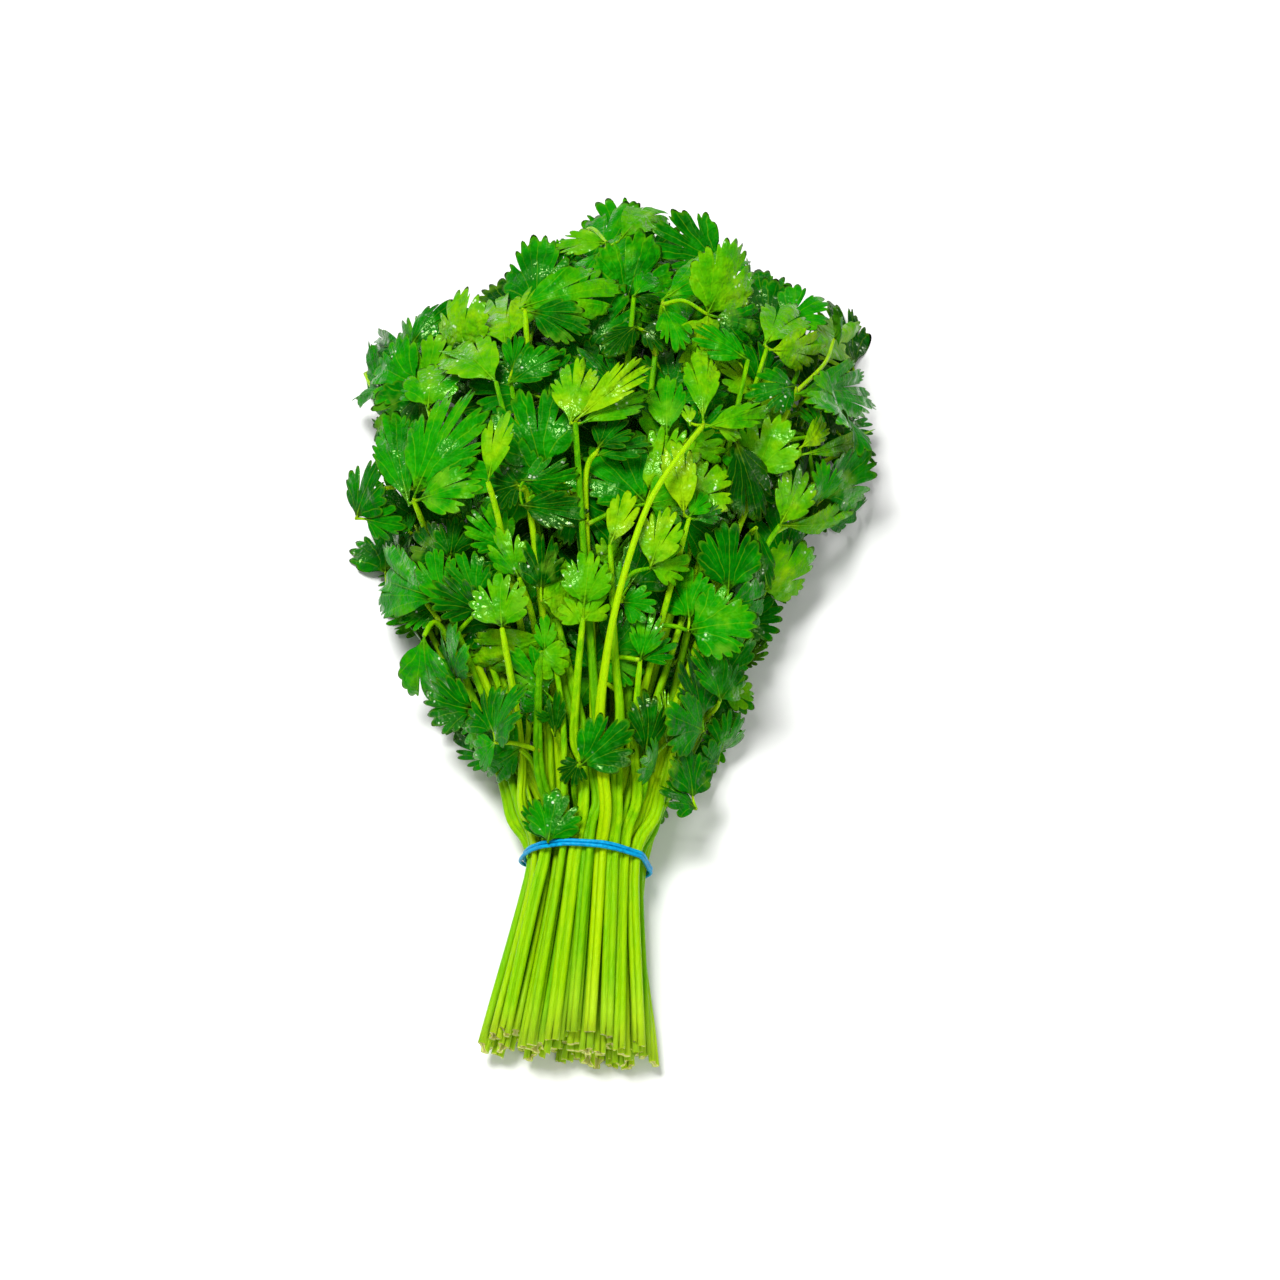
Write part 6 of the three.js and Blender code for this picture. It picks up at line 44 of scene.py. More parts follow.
# ------------------------------------------------------------------ layout (mm)
# Sprigs: [stem points x, y, z, radius], [stalk points or 0, end of stalk, leaflets]
# Leaflet: root xyz, tip xyz, facing xyz, width, arch, fold, outline, shade, outer
SPRIGS = [
    [[[-11.17, -139.703, 14.708, 1.487], [-7.374, -105.38, 19.404, 1.427], [-5.205, -87.38, 21.423, 1.318], [-5.506, -77.38, 29.21, 0.64]], [[0, [-5.51, -77.38, 29.21], [[-4.47, -87.66, 27.1, -2.8, -74.62, 33.96, -0.136, -0.448, 0.884, 15.4, 0.032, -0.164, 1, 2, 1], [-4.54, -87.23, 26.12, -10.84, -75.35, 27.34, -0.237, -0.222, 0.946, 8.44, 0.08, -0.08, 2, 1, 1]]]]],
    [[[8.539, -142.687, 5.574, 1.32], [7.997, -87.38, 9.347, 0.55], [1.576, -73.371, 28.701, 0.55], [2.803, -67.842, 37.741, 0.55]], [[0, [2.8, -67.84, 37.74], [[2.88, -68.56, 37.96, 15.9, -56.95, 44.61, -0.054, -0.45, 0.892, 16.77, 0.041, 0.079, 0, 1, 1], [2.73, -67.12, 37.52, -1.92, -72.14, 34.14, -0.113, -0.48, 0.87, 8.97, 0.108, -0.142, 2, 0, 1]]]]],
    [[[-12.02, -143.231, 10.058, 1.456], [-5.27, -87.38, 15.016, 0.55], [-10.394, -65.826, 27.556, 0.55], [-14.871, -62.344, 32.844, 0.55]], [[0, [-14.87, -62.34, 32.84], [[-14.87, -62.34, 32.84, -25.52, -55.09, 29.71, -0.442, -0.28, 0.852, 10.79, 0.102, -0.137, 1, 2, 1], [-14.87, -62.34, 32.84, -25.83, -63, 17, -0.443, -0.829, 0.341, 11.41, 0.086, -0.091, 0, 2, 1]]]]],
    [[[12.016, -139.969, 18.113, 1.536], [10.967, -105.38, 23.064, 1.524], [10.365, -87.38, 25.069, 1.502], [10.828, -77.38, 31.168, 1.454], [8.598, -65.38, 35.906, 1.399], [7.077, -53.033, 41.509, 1.306], [7.667, -40.326, 48.952, 1.221], [8.806, -30.684, 54.997, 1.154], [10.889, -19.103, 60.56, 1.079], [14.195, -5.341, 65.401, 0.992], [17.87, 4.416, 68.866, 0.928], [24.247, 16.237, 71.071, 0.849], [29.572, 28.497, 66.937, 0.768]], [[[[10.7, -20.16, 60.05], [13.97, -16.73, 58.91], [17.81, -14.24, 57.05]], [17.81, -14.24, 57.05], [[17.83, -14.47, 57.47, 22.64, 2.2, 63.36, -0.026, -0.326, 0.945, 12.45, 0.098, 0.062, 0, 3, 1], [17.79, -14, 56.63, 29.35, -8.96, 54.15, 0.355, -0.396, 0.847, 11.91, 0.042, 0.018, 1, 3, 1]]], [0, [29.57, 28.5, 66.94], [[29.24, 29.96, 67.12, 25.78, 56.38, 65.43, 0.142, 0.082, 0.986, 11.57, 0.078, 0.009, 0, 3, 1], [30.28, 27.55, 67.31, 47.6, 38.94, 60.46, 0.422, -0.1, 0.901, 7.78, 0.094, -0.062, 0, 3, 1], [33.09, 28.86, 65.66, 40.16, 28.56, 61.19, 0.493, -0.339, 0.801, 4.6, 0.108, -0.183, 1, 3, 1], [25.68, 27.61, 67.65, 23.96, 34.78, 67.41, 0.044, 0.044, 0.998, 4.59, 0.093, 0.022, 0, 3, 1]]], [[[9.94, -24.37, 58.03], [9.81, -22.66, 55.26], [10.65, -23.22, 52.25]], [10.65, -23.22, 52.25], [[10.65, -23.22, 52.25, 20.36, -23.93, 52.72, -0.071, -0.356, 0.932, 11.3, 0.058, -0.027, 0, 2, 1]]]]],
    [[[2.04, -141.687, 17.511, 1.649], [3.305, -87.38, 24.983, 1.543], [4.46, -77.38, 29.19, 1.291], [3.171, -65.38, 32.086, 1.131], [0.195, -59.16, 34.836, 1.116], [-0.224, -44.474, 43.359, 1.037], [0.225, -29.745, 53.264, 0.824]], [[0, [0.23, -29.74, 53.26], [[0.28, -27.02, 55.15, 0.63, -12.09, 60.93, 0.092, -0.362, 0.928, 14.08, 0.082, -0.091, 1, 3, 1], [0.09, -31.5, 52.15, -4.57, -23.9, 54.57, -0.037, -0.324, 0.945, 9.58, 0.085, 0.063, 2, 3, 1], [0.31, -30.71, 52.5, 5.51, -22.44, 55.87, 0.225, -0.486, 0.845, 9.58, 0.075, -0.196, 0, 3, 1]]]]],
    [[[-14.259, -140.79, 12.938, 1.57], [-7.558, -87.38, 18.537, 1.247], [-13.237, -77.38, 23.51, 0.981], [-14.365, -63.458, 28.048, 0.928], [-17.919, -48.369, 37.355, 0.99], [-22.505, -33.044, 49.552, 0.785]], [[0, [-22.51, -33.04, 49.55], [[-22.51, -33.04, 49.55, -24.34, -18.92, 56.5, -0.215, -0.454, 0.865, 17.52, 0.07, 0.115, 1, 3, 1]]], [[[-17.25, -51.2, 35.61], [-21.62, -49.61, 33.61], [-26.7, -50.41, 29.44]], [-26.7, -50.41, 29.44], [[-29.54, -49.21, 28.61, -43.88, -43.9, 25.21, -0.389, -0.603, 0.696, 15.92, 0.101, 0.17, 2, 1, 0], [-26.7, -50.41, 29.44, -30.73, -58.09, 20.92, -0.435, -0.557, 0.708, 10.24, -0.012, 0.042, 0, 2, 0]]]]],
    [[[11.54, -143.4, 14.267, 1.607], [10.044, -87.38, 21.601, 1.572], [11.003, -77.38, 26.102, 1.516], [9.415, -65.38, 30.918, 1.457], [5.68, -50.38, 37.389, 1.35], [-1.757, -7.38, 55.79, 1.03], [-5.26, 13.809, 67.237, 0.88], [-6.686, 22.435, 72.562, 0.804]], [[0, [-6.69, 22.43, 72.56], [[-8.18, 22.1, 72.17, -6.68, 44.84, 72.11, 0.003, 0.003, 1, 14.88, 0.048, -0.073, 2, 3, 1], [-6.53, 22.9, 73.26, 12.84, 43.05, 74.23, 0.132, -0.174, 0.976, 9.71, 0.1, 0.128, 2, 4, 1], [-5.35, 22.3, 72.25, 13.45, 36.11, 70.27, 0.226, -0.17, 0.959, 8.57, 0.09, -0.081, 0, 3, 1]]]]],
    [[[-3.424, -142.408, 16.361, 1.414], [-0.045, -87.38, 24.382, 1.338], [-1.013, -77.38, 30.465, 1.252], [-1.878, -65.38, 33.27, 1.154], [-4.072, -50.38, 38.589, 0.974], [-8.97, -33.052, 46.375, 0.707]], [[0, [-8.97, -33.05, 46.38], [[-8.97, -33.05, 46.38, -34.71, -35.14, 30.75, -0.279, -0.777, 0.564, 14.29, 0.037, -0.196, 1, 3, 1]]]]],
    [[[-5.71, -143.255, 13.864, 1.596], [-0.961, -87.38, 19.886, 1.596], [-4.462, -77.38, 20.988, 1.493], [-6.236, -65.38, 25.667, 1.367], [-8.508, -50.38, 30.62, 1.176], [-14.354, -27.594, 44.894, 0.917], [-18.89, -19.754, 55.367, 0.798]], [[0, [-18.89, -19.75, 55.37], [[-18.89, -19.75, 55.37, -25.52, -6.76, 60.23, -0.343, -0.478, 0.809, 12.46, 0.059, -0.156, 0, 3, 1]]], [[[-8.76, -49.39, 31.24], [-7.05, -48.93, 34.35], [-6.12, -49.14, 36.85]], [-6.12, -49.14, 36.85], [[-8.3, -47.31, 38.31, -20.2, -37.31, 43.67, -0.236, -0.662, 0.712, 16.21, -0.006, -0.215, 0, 2, 0], [-6.12, -49.14, 36.85, -16.73, -49.89, 33.3, -0.188, -0.684, 0.705, 10.05, 0.012, 0.166, 1, 1, 0]]]]],
    [[[-6.15, -138.485, 9.821, 1.628], [-1.959, -87.38, 14.143, 1.628], [-4.886, -77.38, 17.614, 1.556], [-11.473, -65.38, 21.041, 1.469], [-21.239, -50.38, 24.863, 1.326], [-32.141, -31.38, 28.983, 1.145], [-43.115, -4.398, 18.462, 0.897], [-52.149, 4.481, 52.704, 0.814]], [[0, [-52.15, 4.48, 52.7], [[-53.58, 4.02, 50.83, -62.82, 38.78, 46.29, -0.39, 0.017, 0.92, 15.21, 0.068, 0.111, 1, 2, 1], [-52.05, 5.09, 53.76, -38.88, 36.47, 64.84, -0.184, -0.258, 0.949, 22.52, 0.065, -0.082, 2, 2, 1], [-50.81, 4.33, 53.52, -31.36, 5.35, 62.43, -0.405, -0.148, 0.902, 14.32, 0.085, -0.004, 0, 2, 1]]], [[[-42.69, -5.44, 18.87], [-41.36, -3.12, 8.84], [-42.35, -5.55, 1.64]], [-42.35, -5.55, 1.64], [[-45.54, -5.71, 1.58, -62.58, -6.58, 1.21, -0.021, -0.008, 1, 13.32, 0, 0.001, 1, 2, 0], [-42.35, -5.55, 1.64, -49.87, 6.31, 0.65, -0.056, 0.048, 0.997, 13.3, 0.091, 0.184, 0, 1, 0], [-42.35, -5.55, 1.64, -49.01, -19.96, 0.47, -0.045, -0.06, 0.997, 13.63, 0.041, 0.001, 2, 0, 0]]], [[[-42.69, -5.44, 18.87], [-45.17, 5.75, 19.03], [-49.8, 13.65, 22.03]], [-49.8, 13.65, 22.03], [[-52.6, 15.02, 22.76, -69.26, 22.41, 28.11, -0.025, -0.622, 0.782, 17.8, 0.088, 0.081, 0, 1, 0], [-49.8, 13.65, 22.03, -50.99, 25.87, 29.75, -0.214, -0.537, 0.816, 14.95, -0.015, -0.159, 2, 2, 0]]], [[[-43.41, -4.11, 19.57], [-47.77, -3.29, 18.55], [-51.45, -3.33, 16.86]], [-51.45, -3.33, 16.86], [[-51.45, -3.33, 16.86, -44.31, -11.68, 25.58, -0.552, -0.78, -0.295, 11.84, 0.044, 0.168, 0, 1, 0]]]]],
    [[[-4.404, -143.033, 4.908, 1.484], [-1.041, -87.38, 8.011, 1.337], [-8.802, -77.38, 10.852, 1.331], [-12.46, -65.38, 14.321, 1.341], [-17.691, -50.38, 19.749, 1.271], [-34.341, -7.38, 36.635, 1.002], [-52.17, 36.679, 54.228, 0.742]], [[0, [-52.17, 36.68, 54.23], [[-51.58, 34.77, 55.1, -51.5, 52.28, 53.11, -0.198, 0.111, 0.974, 17.07, 0.075, -0.005, 1, 3, 1], [-52.76, 38.59, 53.36, -62.02, 48.98, 42.73, -0.707, 0.088, 0.702, 7.11, 0.091, 0.045, 0, 2, 1]]], [[[-42.63, 13.15, 44.83], [-63.67, 16.23, 38.38], [-71.42, 9.12, 31.94]], [-71.42, 9.12, 31.94], [[-68.45, 8.59, 33.03, -56.48, 4.99, 36.58, -0.384, -0.538, 0.75, 11.45, 0.097, 0.001, 0, 1, 0], [-71.42, 9.12, 31.94, -65.7, 21.66, 43.63, -0.616, -0.368, 0.696, 16.94, 0.043, -0.175, 0, 1, 0]]], [[[-23.36, -35.38, 25.59], [-21.06, -35.14, 28.32], [-18.11, -35.7, 30.7]], [-18.11, -35.7, 30.7], [[-17.6, -33.12, 32.52, -17.63, -18.77, 40.73, 0.014, -0.497, 0.868, 15.58, 0.003, -0.005, 1, 1, 0]]], [[[-51.34, 34.64, 53.41], [-48.16, 36.94, 51.59], [-44.53, 38.06, 48.42]], [-44.53, 38.06, 48.42], [[-44.57, 41.09, 47.38, -43.09, 57.98, 34.61, 0.111, 0.593, 0.797, 18.68, 0.044, -0.215, 1, 1, 0], [-44.53, 38.06, 48.42, -30.95, 46.1, 41.11, 0.251, 0.385, 0.888, 15.9, 0.11, 0.159, 1, 0, 0]]], [[[-46.36, 22.39, 48.51], [-54.48, 25.77, 45.5], [-61.36, 26.15, 37.83]], [-61.36, 26.15, 37.83], [[-61.36, 26.15, 37.83, -60.63, 38.64, 41.58, -0.891, -0.082, 0.447, 10.41, 0.056, 0.173, 2, 1, 0]]]]],
    [[[7.517, -138.525, 17.653, 1.609], [6.888, -87.38, 25.301, 1.605], [7.793, -77.38, 28.402, 1.538], [6.142, -65.38, 31.06, 1.458], [-31.745, 39.931, 63.689, 0.804]], [[0, [-31.74, 39.93, 63.69], [[-31.74, 39.93, 63.69, -49, 61.15, 53, -0.282, 0.238, 0.929, 17.64, 0.07, 0.063, 1, 3, 1]]], [[[-8.47, -25.12, 43.72], [-10.65, -24.82, 48.4], [-12.05, -24.89, 52.35]], [-12.05, -24.89, 52.35], [[-12.52, -21.83, 53.18, -13.99, -8.99, 61.8, 0.689, -0.349, 0.636, 14.61, 0.036, 0.049, 2, 1, 0], [-12.05, -24.89, 52.35, -0.06, -14.34, 44.3, 0.602, -0.077, 0.795, 18.16, 0.013, -0.097, 1, 3, 0]]], [[[-12.16, -14.68, 46.91], [-8.23, -12.28, 44.46], [-3.29, -11.29, 41.98]], [-3.29, -11.29, 41.98], [[-2.46, -8.27, 42.65, 1.29, 5.23, 45.96, 0.097, -0.262, 0.96, 13.86, -0.019, -0.235, 1, 0, 0], [-3.29, -11.29, 41.98, -14.17, -5.91, 44.15, 0.125, -0.144, 0.982, 11.45, -0.005, -0.145, 0, 1, 0]]]]],
    [[[-1.815, -143.292, 8.372, 1.538], [1.26, -87.38, 12.752, 1.538], [-1.832, -77.38, 14.902, 1.494], [-4.118, -65.38, 18.079, 1.44], [-14.518, -7.38, 35.191, 1.163], [-22.593, 44.62, 51.638, 0.92], [-26.301, 67.359, 61.448, 0.769]], [[0, [-26.3, 67.36, 61.45], [[-27.85, 67.92, 61.49, 1.83, 81.22, 58.62, 0.161, -0.149, 0.976, 17.24, 0.084, 0.056, 0, 2, 1], [-24.76, 66.8, 61.41, -6.33, 60.79, 63.14, -0.17, -0.246, 0.954, 12.97, 0.094, -0.003, 0, 1, 1]]], [[[-24.33, 56.87, 55.92], [-24.74, 67.19, 49.98], [-24.77, 76.01, 43.43]], [-24.77, 76.01, 43.43], [[-25.05, 79.16, 43.91, -26.69, 104.17, 46.15, -0.33, -0.106, 0.938, 22.28, -0.019, -0.17, 1, 1, 0], [-24.77, 76.01, 43.43, -10.76, 85.01, 51.04, -0.492, 0.031, 0.87, 15.8, 0.061, -0.013, 2, 1, 0]]], [[[-21.57, 37.84, 49.47], [-18, 39.65, 54.31], [-16.51, 39.35, 57.37]], [-16.51, 39.35, 57.37], [[-19.5, 40.35, 56.83, -40.44, 48, 56.15, -0.061, -0.079, 0.995, 19.87, -0.011, 0.172, 1, 1, 0], [-16.51, 39.35, 57.37, -15.7, 55.73, 60.34, -0.194, -0.166, 0.967, 16, 0.082, -0.055, 0, 1, 0], [-16.51, 39.35, 57.37, -18.66, 21.61, 52.77, -0.553, -0.146, 0.821, 16.18, 0.028, 0.05, 1, 0, 0]]], [[[-23.54, 51.3, 53.97], [-25.32, 60.17, 47.31], [-30.49, 64.36, 39.35]], [-30.49, 64.36, 39.35], [[-33.44, 65.57, 39.22, -48.58, 73.7, 39.44, -0.233, -0.457, 0.858, 18.23, 0.044, -0.109, 1, 1, 0], [-30.49, 64.36, 39.35, -31.02, 74.55, 46.72, -0.824, -0.36, 0.438, 11.46, -0.016, -0.004, 0, 1, 0], [-30.49, 64.36, 39.35, -40.45, 55.98, 30.78, -0.272, -0.511, 0.816, 13.62, 0.039, -0.188, 2, 0, 0]]], [[[-17.6, 11.84, 41.21], [-16.02, 18, 37.54], [-13.66, 22.4, 35.29]], [-13.66, 22.4, 35.29], [[-13.19, 24.63, 37.54, -9.34, 43.48, 50.47, -0.312, -0.493, 0.812, 23.07, 0.035, 0.06, 2, 2, 0], [-13.66, 22.4, 35.29, -31.13, 26.6, 42.8, 0.116, -0.728, 0.676, 20.01, -0.003, -0.125, 0, 1, 0]]], [[[-22.08, 41.23, 50.55], [-18.36, 44.64, 47.78], [-13.52, 46.53, 43.91]], [-13.52, 46.53, 43.91], [[-13.52, 46.53, 43.91, -2.36, 45.4, 47.25, -0.243, 0.312, 0.919, 10.36, 0.065, -0.139, 2, 0, 0], [-13.52, 46.53, 43.91, -21.91, 55.42, 35.12, -0.426, 0.4, 0.811, 13.62, 0.042, 0.125, 1, 0, 0]]]]],
    [[[2.599, -142.548, 12.125, 1.583], [4.183, -87.38, 18.526, 0.725], [6.506, -77.38, 22.816, 0.55], [3.364, -65.38, 25.585, 0.974], [-6.596, -31.38, 34.1, 1.278], [-30.569, 58.343, 56.598, 0.792]], [[0, [-30.57, 58.34, 56.6], [[-31, 56.95, 56.75, -37.9, 90.65, 40.49, -0.196, 0.393, 0.898, 18.06, 0.038, -0.085, 2, 3, 1], [-30.13, 59.73, 56.44, -23.13, 87.24, 48.14, -0.036, 0.297, 0.954, 10.79, 0.063, -0.027, 2, 3, 1]]], [[[-28.32, 49.79, 54.46], [-36.38, 55.08, 48.26], [-43.06, 58.6, 43.42]], [-43.06, 58.6, 43.42], [[-43.69, 61.43, 44.78, -48.21, 77.28, 54.31, -0.581, -0.535, 0.614, 19.71, 0.083, -0.106, 1, 3, 0], [-43.06, 58.6, 43.42, -27.64, 63.47, 49.14, -0.248, -0.299, 0.922, 15.08, 0.049, -0.236, 0, 1, 0], [-43.06, 58.6, 43.42, -53.87, 60.21, 43.09, -0.098, -0.482, 0.871, 11.68, 0.057, 0.148, 1, 0, 0]]], [[[-13.7, -5.21, 40.68], [-5.46, 1.83, 46.31], [-0.07, 5.93, 50.91]], [-0.07, 5.93, 50.91], [[-2.37, 8.06, 51.53, -16.29, 23.61, 51.28, -0.116, -0.088, 0.989, 19.51, -0.003, -0.231, 0, 1, 0], [-0.07, 5.93, 50.91, 3.63, 18.71, 52.53, 0.323, -0.211, 0.923, 11.66, 0.021, 0.177, 2, 1, 0], [-0.07, 5.93, 50.91, -14.45, 1.07, 52.22, 0.152, -0.188, 0.97, 15.29, 0.06, 0.109, 2, 2, 0]]], [[[-23.63, 32.04, 50.02], [-24.98, 38.12, 40.42], [-28.24, 35.03, 31.14]], [-28.24, 35.03, 31.14], [[-30.98, 33.37, 31.26, -47.01, 22.63, 34.19, 0.314, -0.217, 0.924, 19.05, 0.087, -0.115, 1, 2, 0], [-28.24, 35.03, 31.14, -40.72, 48.78, 35.29, 0.121, -0.184, 0.975, 19.51, -0.013, -0.069, 2, 1, 0], [-28.24, 35.03, 31.14, -23.36, 18.78, 22.38, 0.247, -0.401, 0.882, 17.85, 0.072, 0.083, 1, 0, 0]]], [[[-18.05, 11.04, 44.76], [-24.11, 12.39, 43.22], [-30.28, 12.29, 41.29]], [-30.28, 12.29, 41.29], [[-32.32, 14.73, 41.59, -43.62, 29.53, 42.63, -0.576, -0.486, 0.657, 18.37, 0.059, -0.045, 0, 0, 0], [-30.28, 12.29, 41.29, -26.54, 20.76, 54.41, -0.574, -0.603, 0.553, 16.3, 0.048, -0.057, 2, 0, 0], [-30.28, 12.29, 41.29, -39.29, 11.99, 31.6, -0.61, -0.536, 0.584, 13.17, -0.006, -0.187, 1, 2, 0]]]]],
    [[[14.484, -139.702, 4.808, 1.511], [12.133, -87.38, 8.591, 1.511], [11.456, -31.38, 25.498, 1.259], [12.628, 44.62, 49.824, 0.914], [13.611, 68.763, 58.006, 0.806], [14.217, 72.452, 62.062, 0.755]], [[0, [14.22, 72.45, 62.06], [[13.78, 74.13, 61.93, 38.08, 99.22, 47.19, 0.197, 0.347, 0.917, 17.42, 0.095, -0.208, 2, 2, 1], [14.65, 70.78, 62.2, 21.76, 56, 62.36, 0.092, 0.055, 0.994, 10.59, 0.088, -0.062, 1, 2, 1]]], [[[13.21, 58.89, 54.66], [9.99, 64.51, 57.76], [7.45, 65.03, 59.76]], [7.45, 65.03, 59.76], [[6.86, 64.99, 60.78, -1.01, 54.19, 62.08, 0.114, 0.037, 0.993, 8.82, 0.042, -0.145, 1, 0, 1], [8.03, 65.08, 58.74, 19, 61.7, 57.26, 0.088, -0.148, 0.985, 10.05, 0.107, -0.181, 2, 0, 1]]], [[[14.22, 72.45, 62.06], [20.37, 72.6, 64.45], [27.53, 70.27, 61.75]], [27.53, 70.27, 61.75], [[30.24, 70.71, 60.11, 44.44, 72.9, 51.71, 0.513, -0.388, 0.766, 17.9, 0.03, -0.224, 2, 1, 0], [27.53, 70.27, 61.75, 28.62, 54.22, 51.25, 0.52, -0.443, 0.73, 19.63, 0.018, -0.091, 2, 3, 0], [27.53, 70.27, 61.75, 36.08, 90.39, 69.89, 0.481, -0.497, 0.723, 20.97, 0.001, -0.181, 1, 3, 0]]], [[[12.48, 38.97, 48.01], [9.61, 37.7, 56.43], [5.53, 35.05, 61.94]], [5.53, 35.05, 61.94], [[4.13, 37.93, 61.94, -6.46, 56, 59.81, 0.485, 0.377, 0.789, 20.96, 0.084, -0.133, 2, 1, 0], [5.53, 35.05, 61.94, 12.92, 43.9, 52.85, 0.575, 0.301, 0.761, 14.57, 0.033, 0.037, 1, 0, 0], [5.53, 35.05, 61.94, -7.14, 34.95, 68.51, 0.437, 0.303, 0.847, 13.06, 0.029, -0.22, 1, 1, 0]]], [[[13.61, 68.76, 58.01], [17.4, 74.66, 52.85], [21.76, 78.28, 43.9]], [21.76, 78.28, 43.9], [[21.76, 78.28, 43.9, 37.81, 73.86, 43.91, 0.089, 0.324, 0.942, 13.12, -0.014, -0.102, 0, 0, 0], [21.76, 78.28, 43.9, 9.12, 87.38, 46.32, 0.324, 0.205, 0.923, 15.68, 0.067, -0.002, 2, 2, 0]]], [[[12.23, 29.92, 45.11], [2.71, 40.64, 43.73], [-3.35, 41.42, 41.42]], [-3.35, 41.42, 41.42], [[-1.53, 38.82, 41.82, 7.92, 25.9, 42.89, -0.307, -0.147, 0.94, 15.4, 0.068, 0.057, 2, 1, 0], [-3.35, 41.42, 41.42, -13.53, 27, 36.01, -0.348, -0.104, 0.932, 16.06, 0.062, -0.129, 2, 2, 0]]]]],
    [[[16.731, -140.14, 7.276, 1.361], [13.48, -87.38, 11.568, 1.361], [14.85, -77.38, 14.472, 1.319], [24.094, -31.38, 28.41, 1.111], [45.844, 62.931, 57.586, 0.681]], [[0, [45.84, 62.93, 57.59], [[44.91, 63.52, 57.9, 53.57, 87.85, 44.22, 0.321, 0.375, 0.87, 14.97, 0.069, 0.096, 0, 3, 1], [46.78, 62.34, 57.27, 62.95, 73.33, 43.13, 0.741, -0.368, 0.562, 12.52, 0.064, -0.12, 2, 3, 1]]], [[[36.69, 24.18, 45.57], [40.62, 23.46, 46.16], [43.95, 21.95, 46.73]], [43.95, 21.95, 46.73], [[45.1, 24.54, 48.22, 51.23, 39.6, 56.22, -0.041, -0.455, 0.89, 18.05, 0.035, 0.134, 1, 3, 0], [43.95, 21.95, 46.73, 37.33, 27.41, 55.04, 0.312, -0.661, 0.683, 11.31, 0.109, -0.176, 1, 2, 0]]], [[[39.57, 36.43, 49.37], [37.36, 40.23, 45.56], [35.53, 42.82, 41.01]], [35.53, 42.82, 41.01], [[36.56, 45.83, 40.62, 44.33, 67.82, 38.51, 0.262, -0, 0.965, 22.89, 0.092, -0.045, 2, 2, 0], [35.53, 42.82, 41.01, 53.72, 45.49, 30.41, 0.494, 0.07, 0.866, 19.66, 0.003, -0.058, 1, 1, 0], [35.53, 42.82, 41.01, 24.76, 59.04, 43.64, 0.363, 0.09, 0.928, 20.85, 0.006, 0.069, 2, 1, 0]]], [[[24.34, -30.29, 28.75], [32.38, -20.68, 21.52], [38.11, -15.22, 17.88]], [38.11, -15.22, 17.88], [[38.11, -15.22, 17.88, 34.64, -21.29, 23.5, 0.922, -0.301, 0.244, 7.79, 0.017, -0.099, 1, 2, 0]]]]],
    [[[21.813, -143.397, 13.374, 1.43], [16.635, -87.38, 19.036, 1.43], [20.716, -77.38, 21.485, 1.382], [26.118, -50.38, 28.291, 1.246], [30.907, -31.38, 31.895, 1.148], [36.643, -7.38, 35.577, 1.024], [43.882, 18.62, 41.316, 0.893], [55.332, 52.465, 51.974, 0.715]], [[0, [55.33, 52.46, 51.97], [[55.42, 50.97, 52.12, 78.22, 79.47, 11.61, 0.846, 0.073, 0.528, 16.99, 0.074, 0.133, 2, 2, 1], [55.25, 53.96, 51.83, 42.03, 44.49, 59.17, 0.551, -0.13, 0.824, 14.08, 0.085, 0.04, 0, 1, 1]]], [[[47.83, 30.25, 45.02], [53.02, 32.12, 48.68], [57.82, 32.81, 49.51]], [57.82, 32.81, 49.51], [[57.9, 31.96, 48.97, 78.33, 62.45, 12.84, 0.898, -0.091, 0.431, 7.22, 0.075, -0.039, 2, 3, 1], [57.74, 33.67, 50.06, 64.92, 47.98, 43.89, 0.777, -0.124, 0.617, 7.66, 0.096, -0.191, 2, 4, 1]]], [[[36.96, -6.25, 35.83], [34.77, -2.86, 33.25], [32.12, -0.42, 31.35]], [32.12, -0.42, 31.35], [[31.99, 2.44, 32.78, 31.61, 25.27, 43.14, 0.669, -0.298, 0.681, 24.5, -0.008, 0.076, 2, 1, 0], [32.12, -0.42, 31.35, 16.7, 4.91, 42.37, 0.539, -0.153, 0.829, 17.28, 0.042, -0.102, 2, 1, 0]]], [[[45.32, 22.85, 42.66], [41.19, 24.38, 43.24], [38.44, 24.23, 42.68]], [38.44, 24.23, 42.68], [[41.19, 25.69, 41.95, 53.43, 33.29, 36.8, 0.517, -0.288, 0.806, 15.96, 0.1, 0.033, 0, 2, 0], [38.44, 24.23, 42.68, 46.27, 16.85, 37.13, 0.353, -0.294, 0.888, 11.96, -0.018, -0.112, 0, 2, 0], [38.44, 24.23, 42.68, 40.79, 35.96, 45.05, 0.409, -0.258, 0.875, 13.08, 0.017, -0.123, 0, 1, 0]]], [[[49.99, 36.6, 47.03], [59.02, 41.61, 43.39], [65.44, 45.55, 37.3]], [65.44, 45.55, 37.3], [[65.44, 45.55, 37.3, 57.1, 52.03, 43.92, 0.693, 0.179, 0.698, 10.11, 0.067, 0.168, 2, 1, 0]]], [[[54.98, 51.41, 51.65], [63.29, 68.26, 43.18], [65.95, 82.92, 35.25]], [65.95, 82.92, 35.25], [[65.95, 82.92, 35.25, 67.62, 84.41, 46.71, 0.955, 0.243, -0.171, 11.66, 0.095, -0.176, 0, 1, 0]]]]],
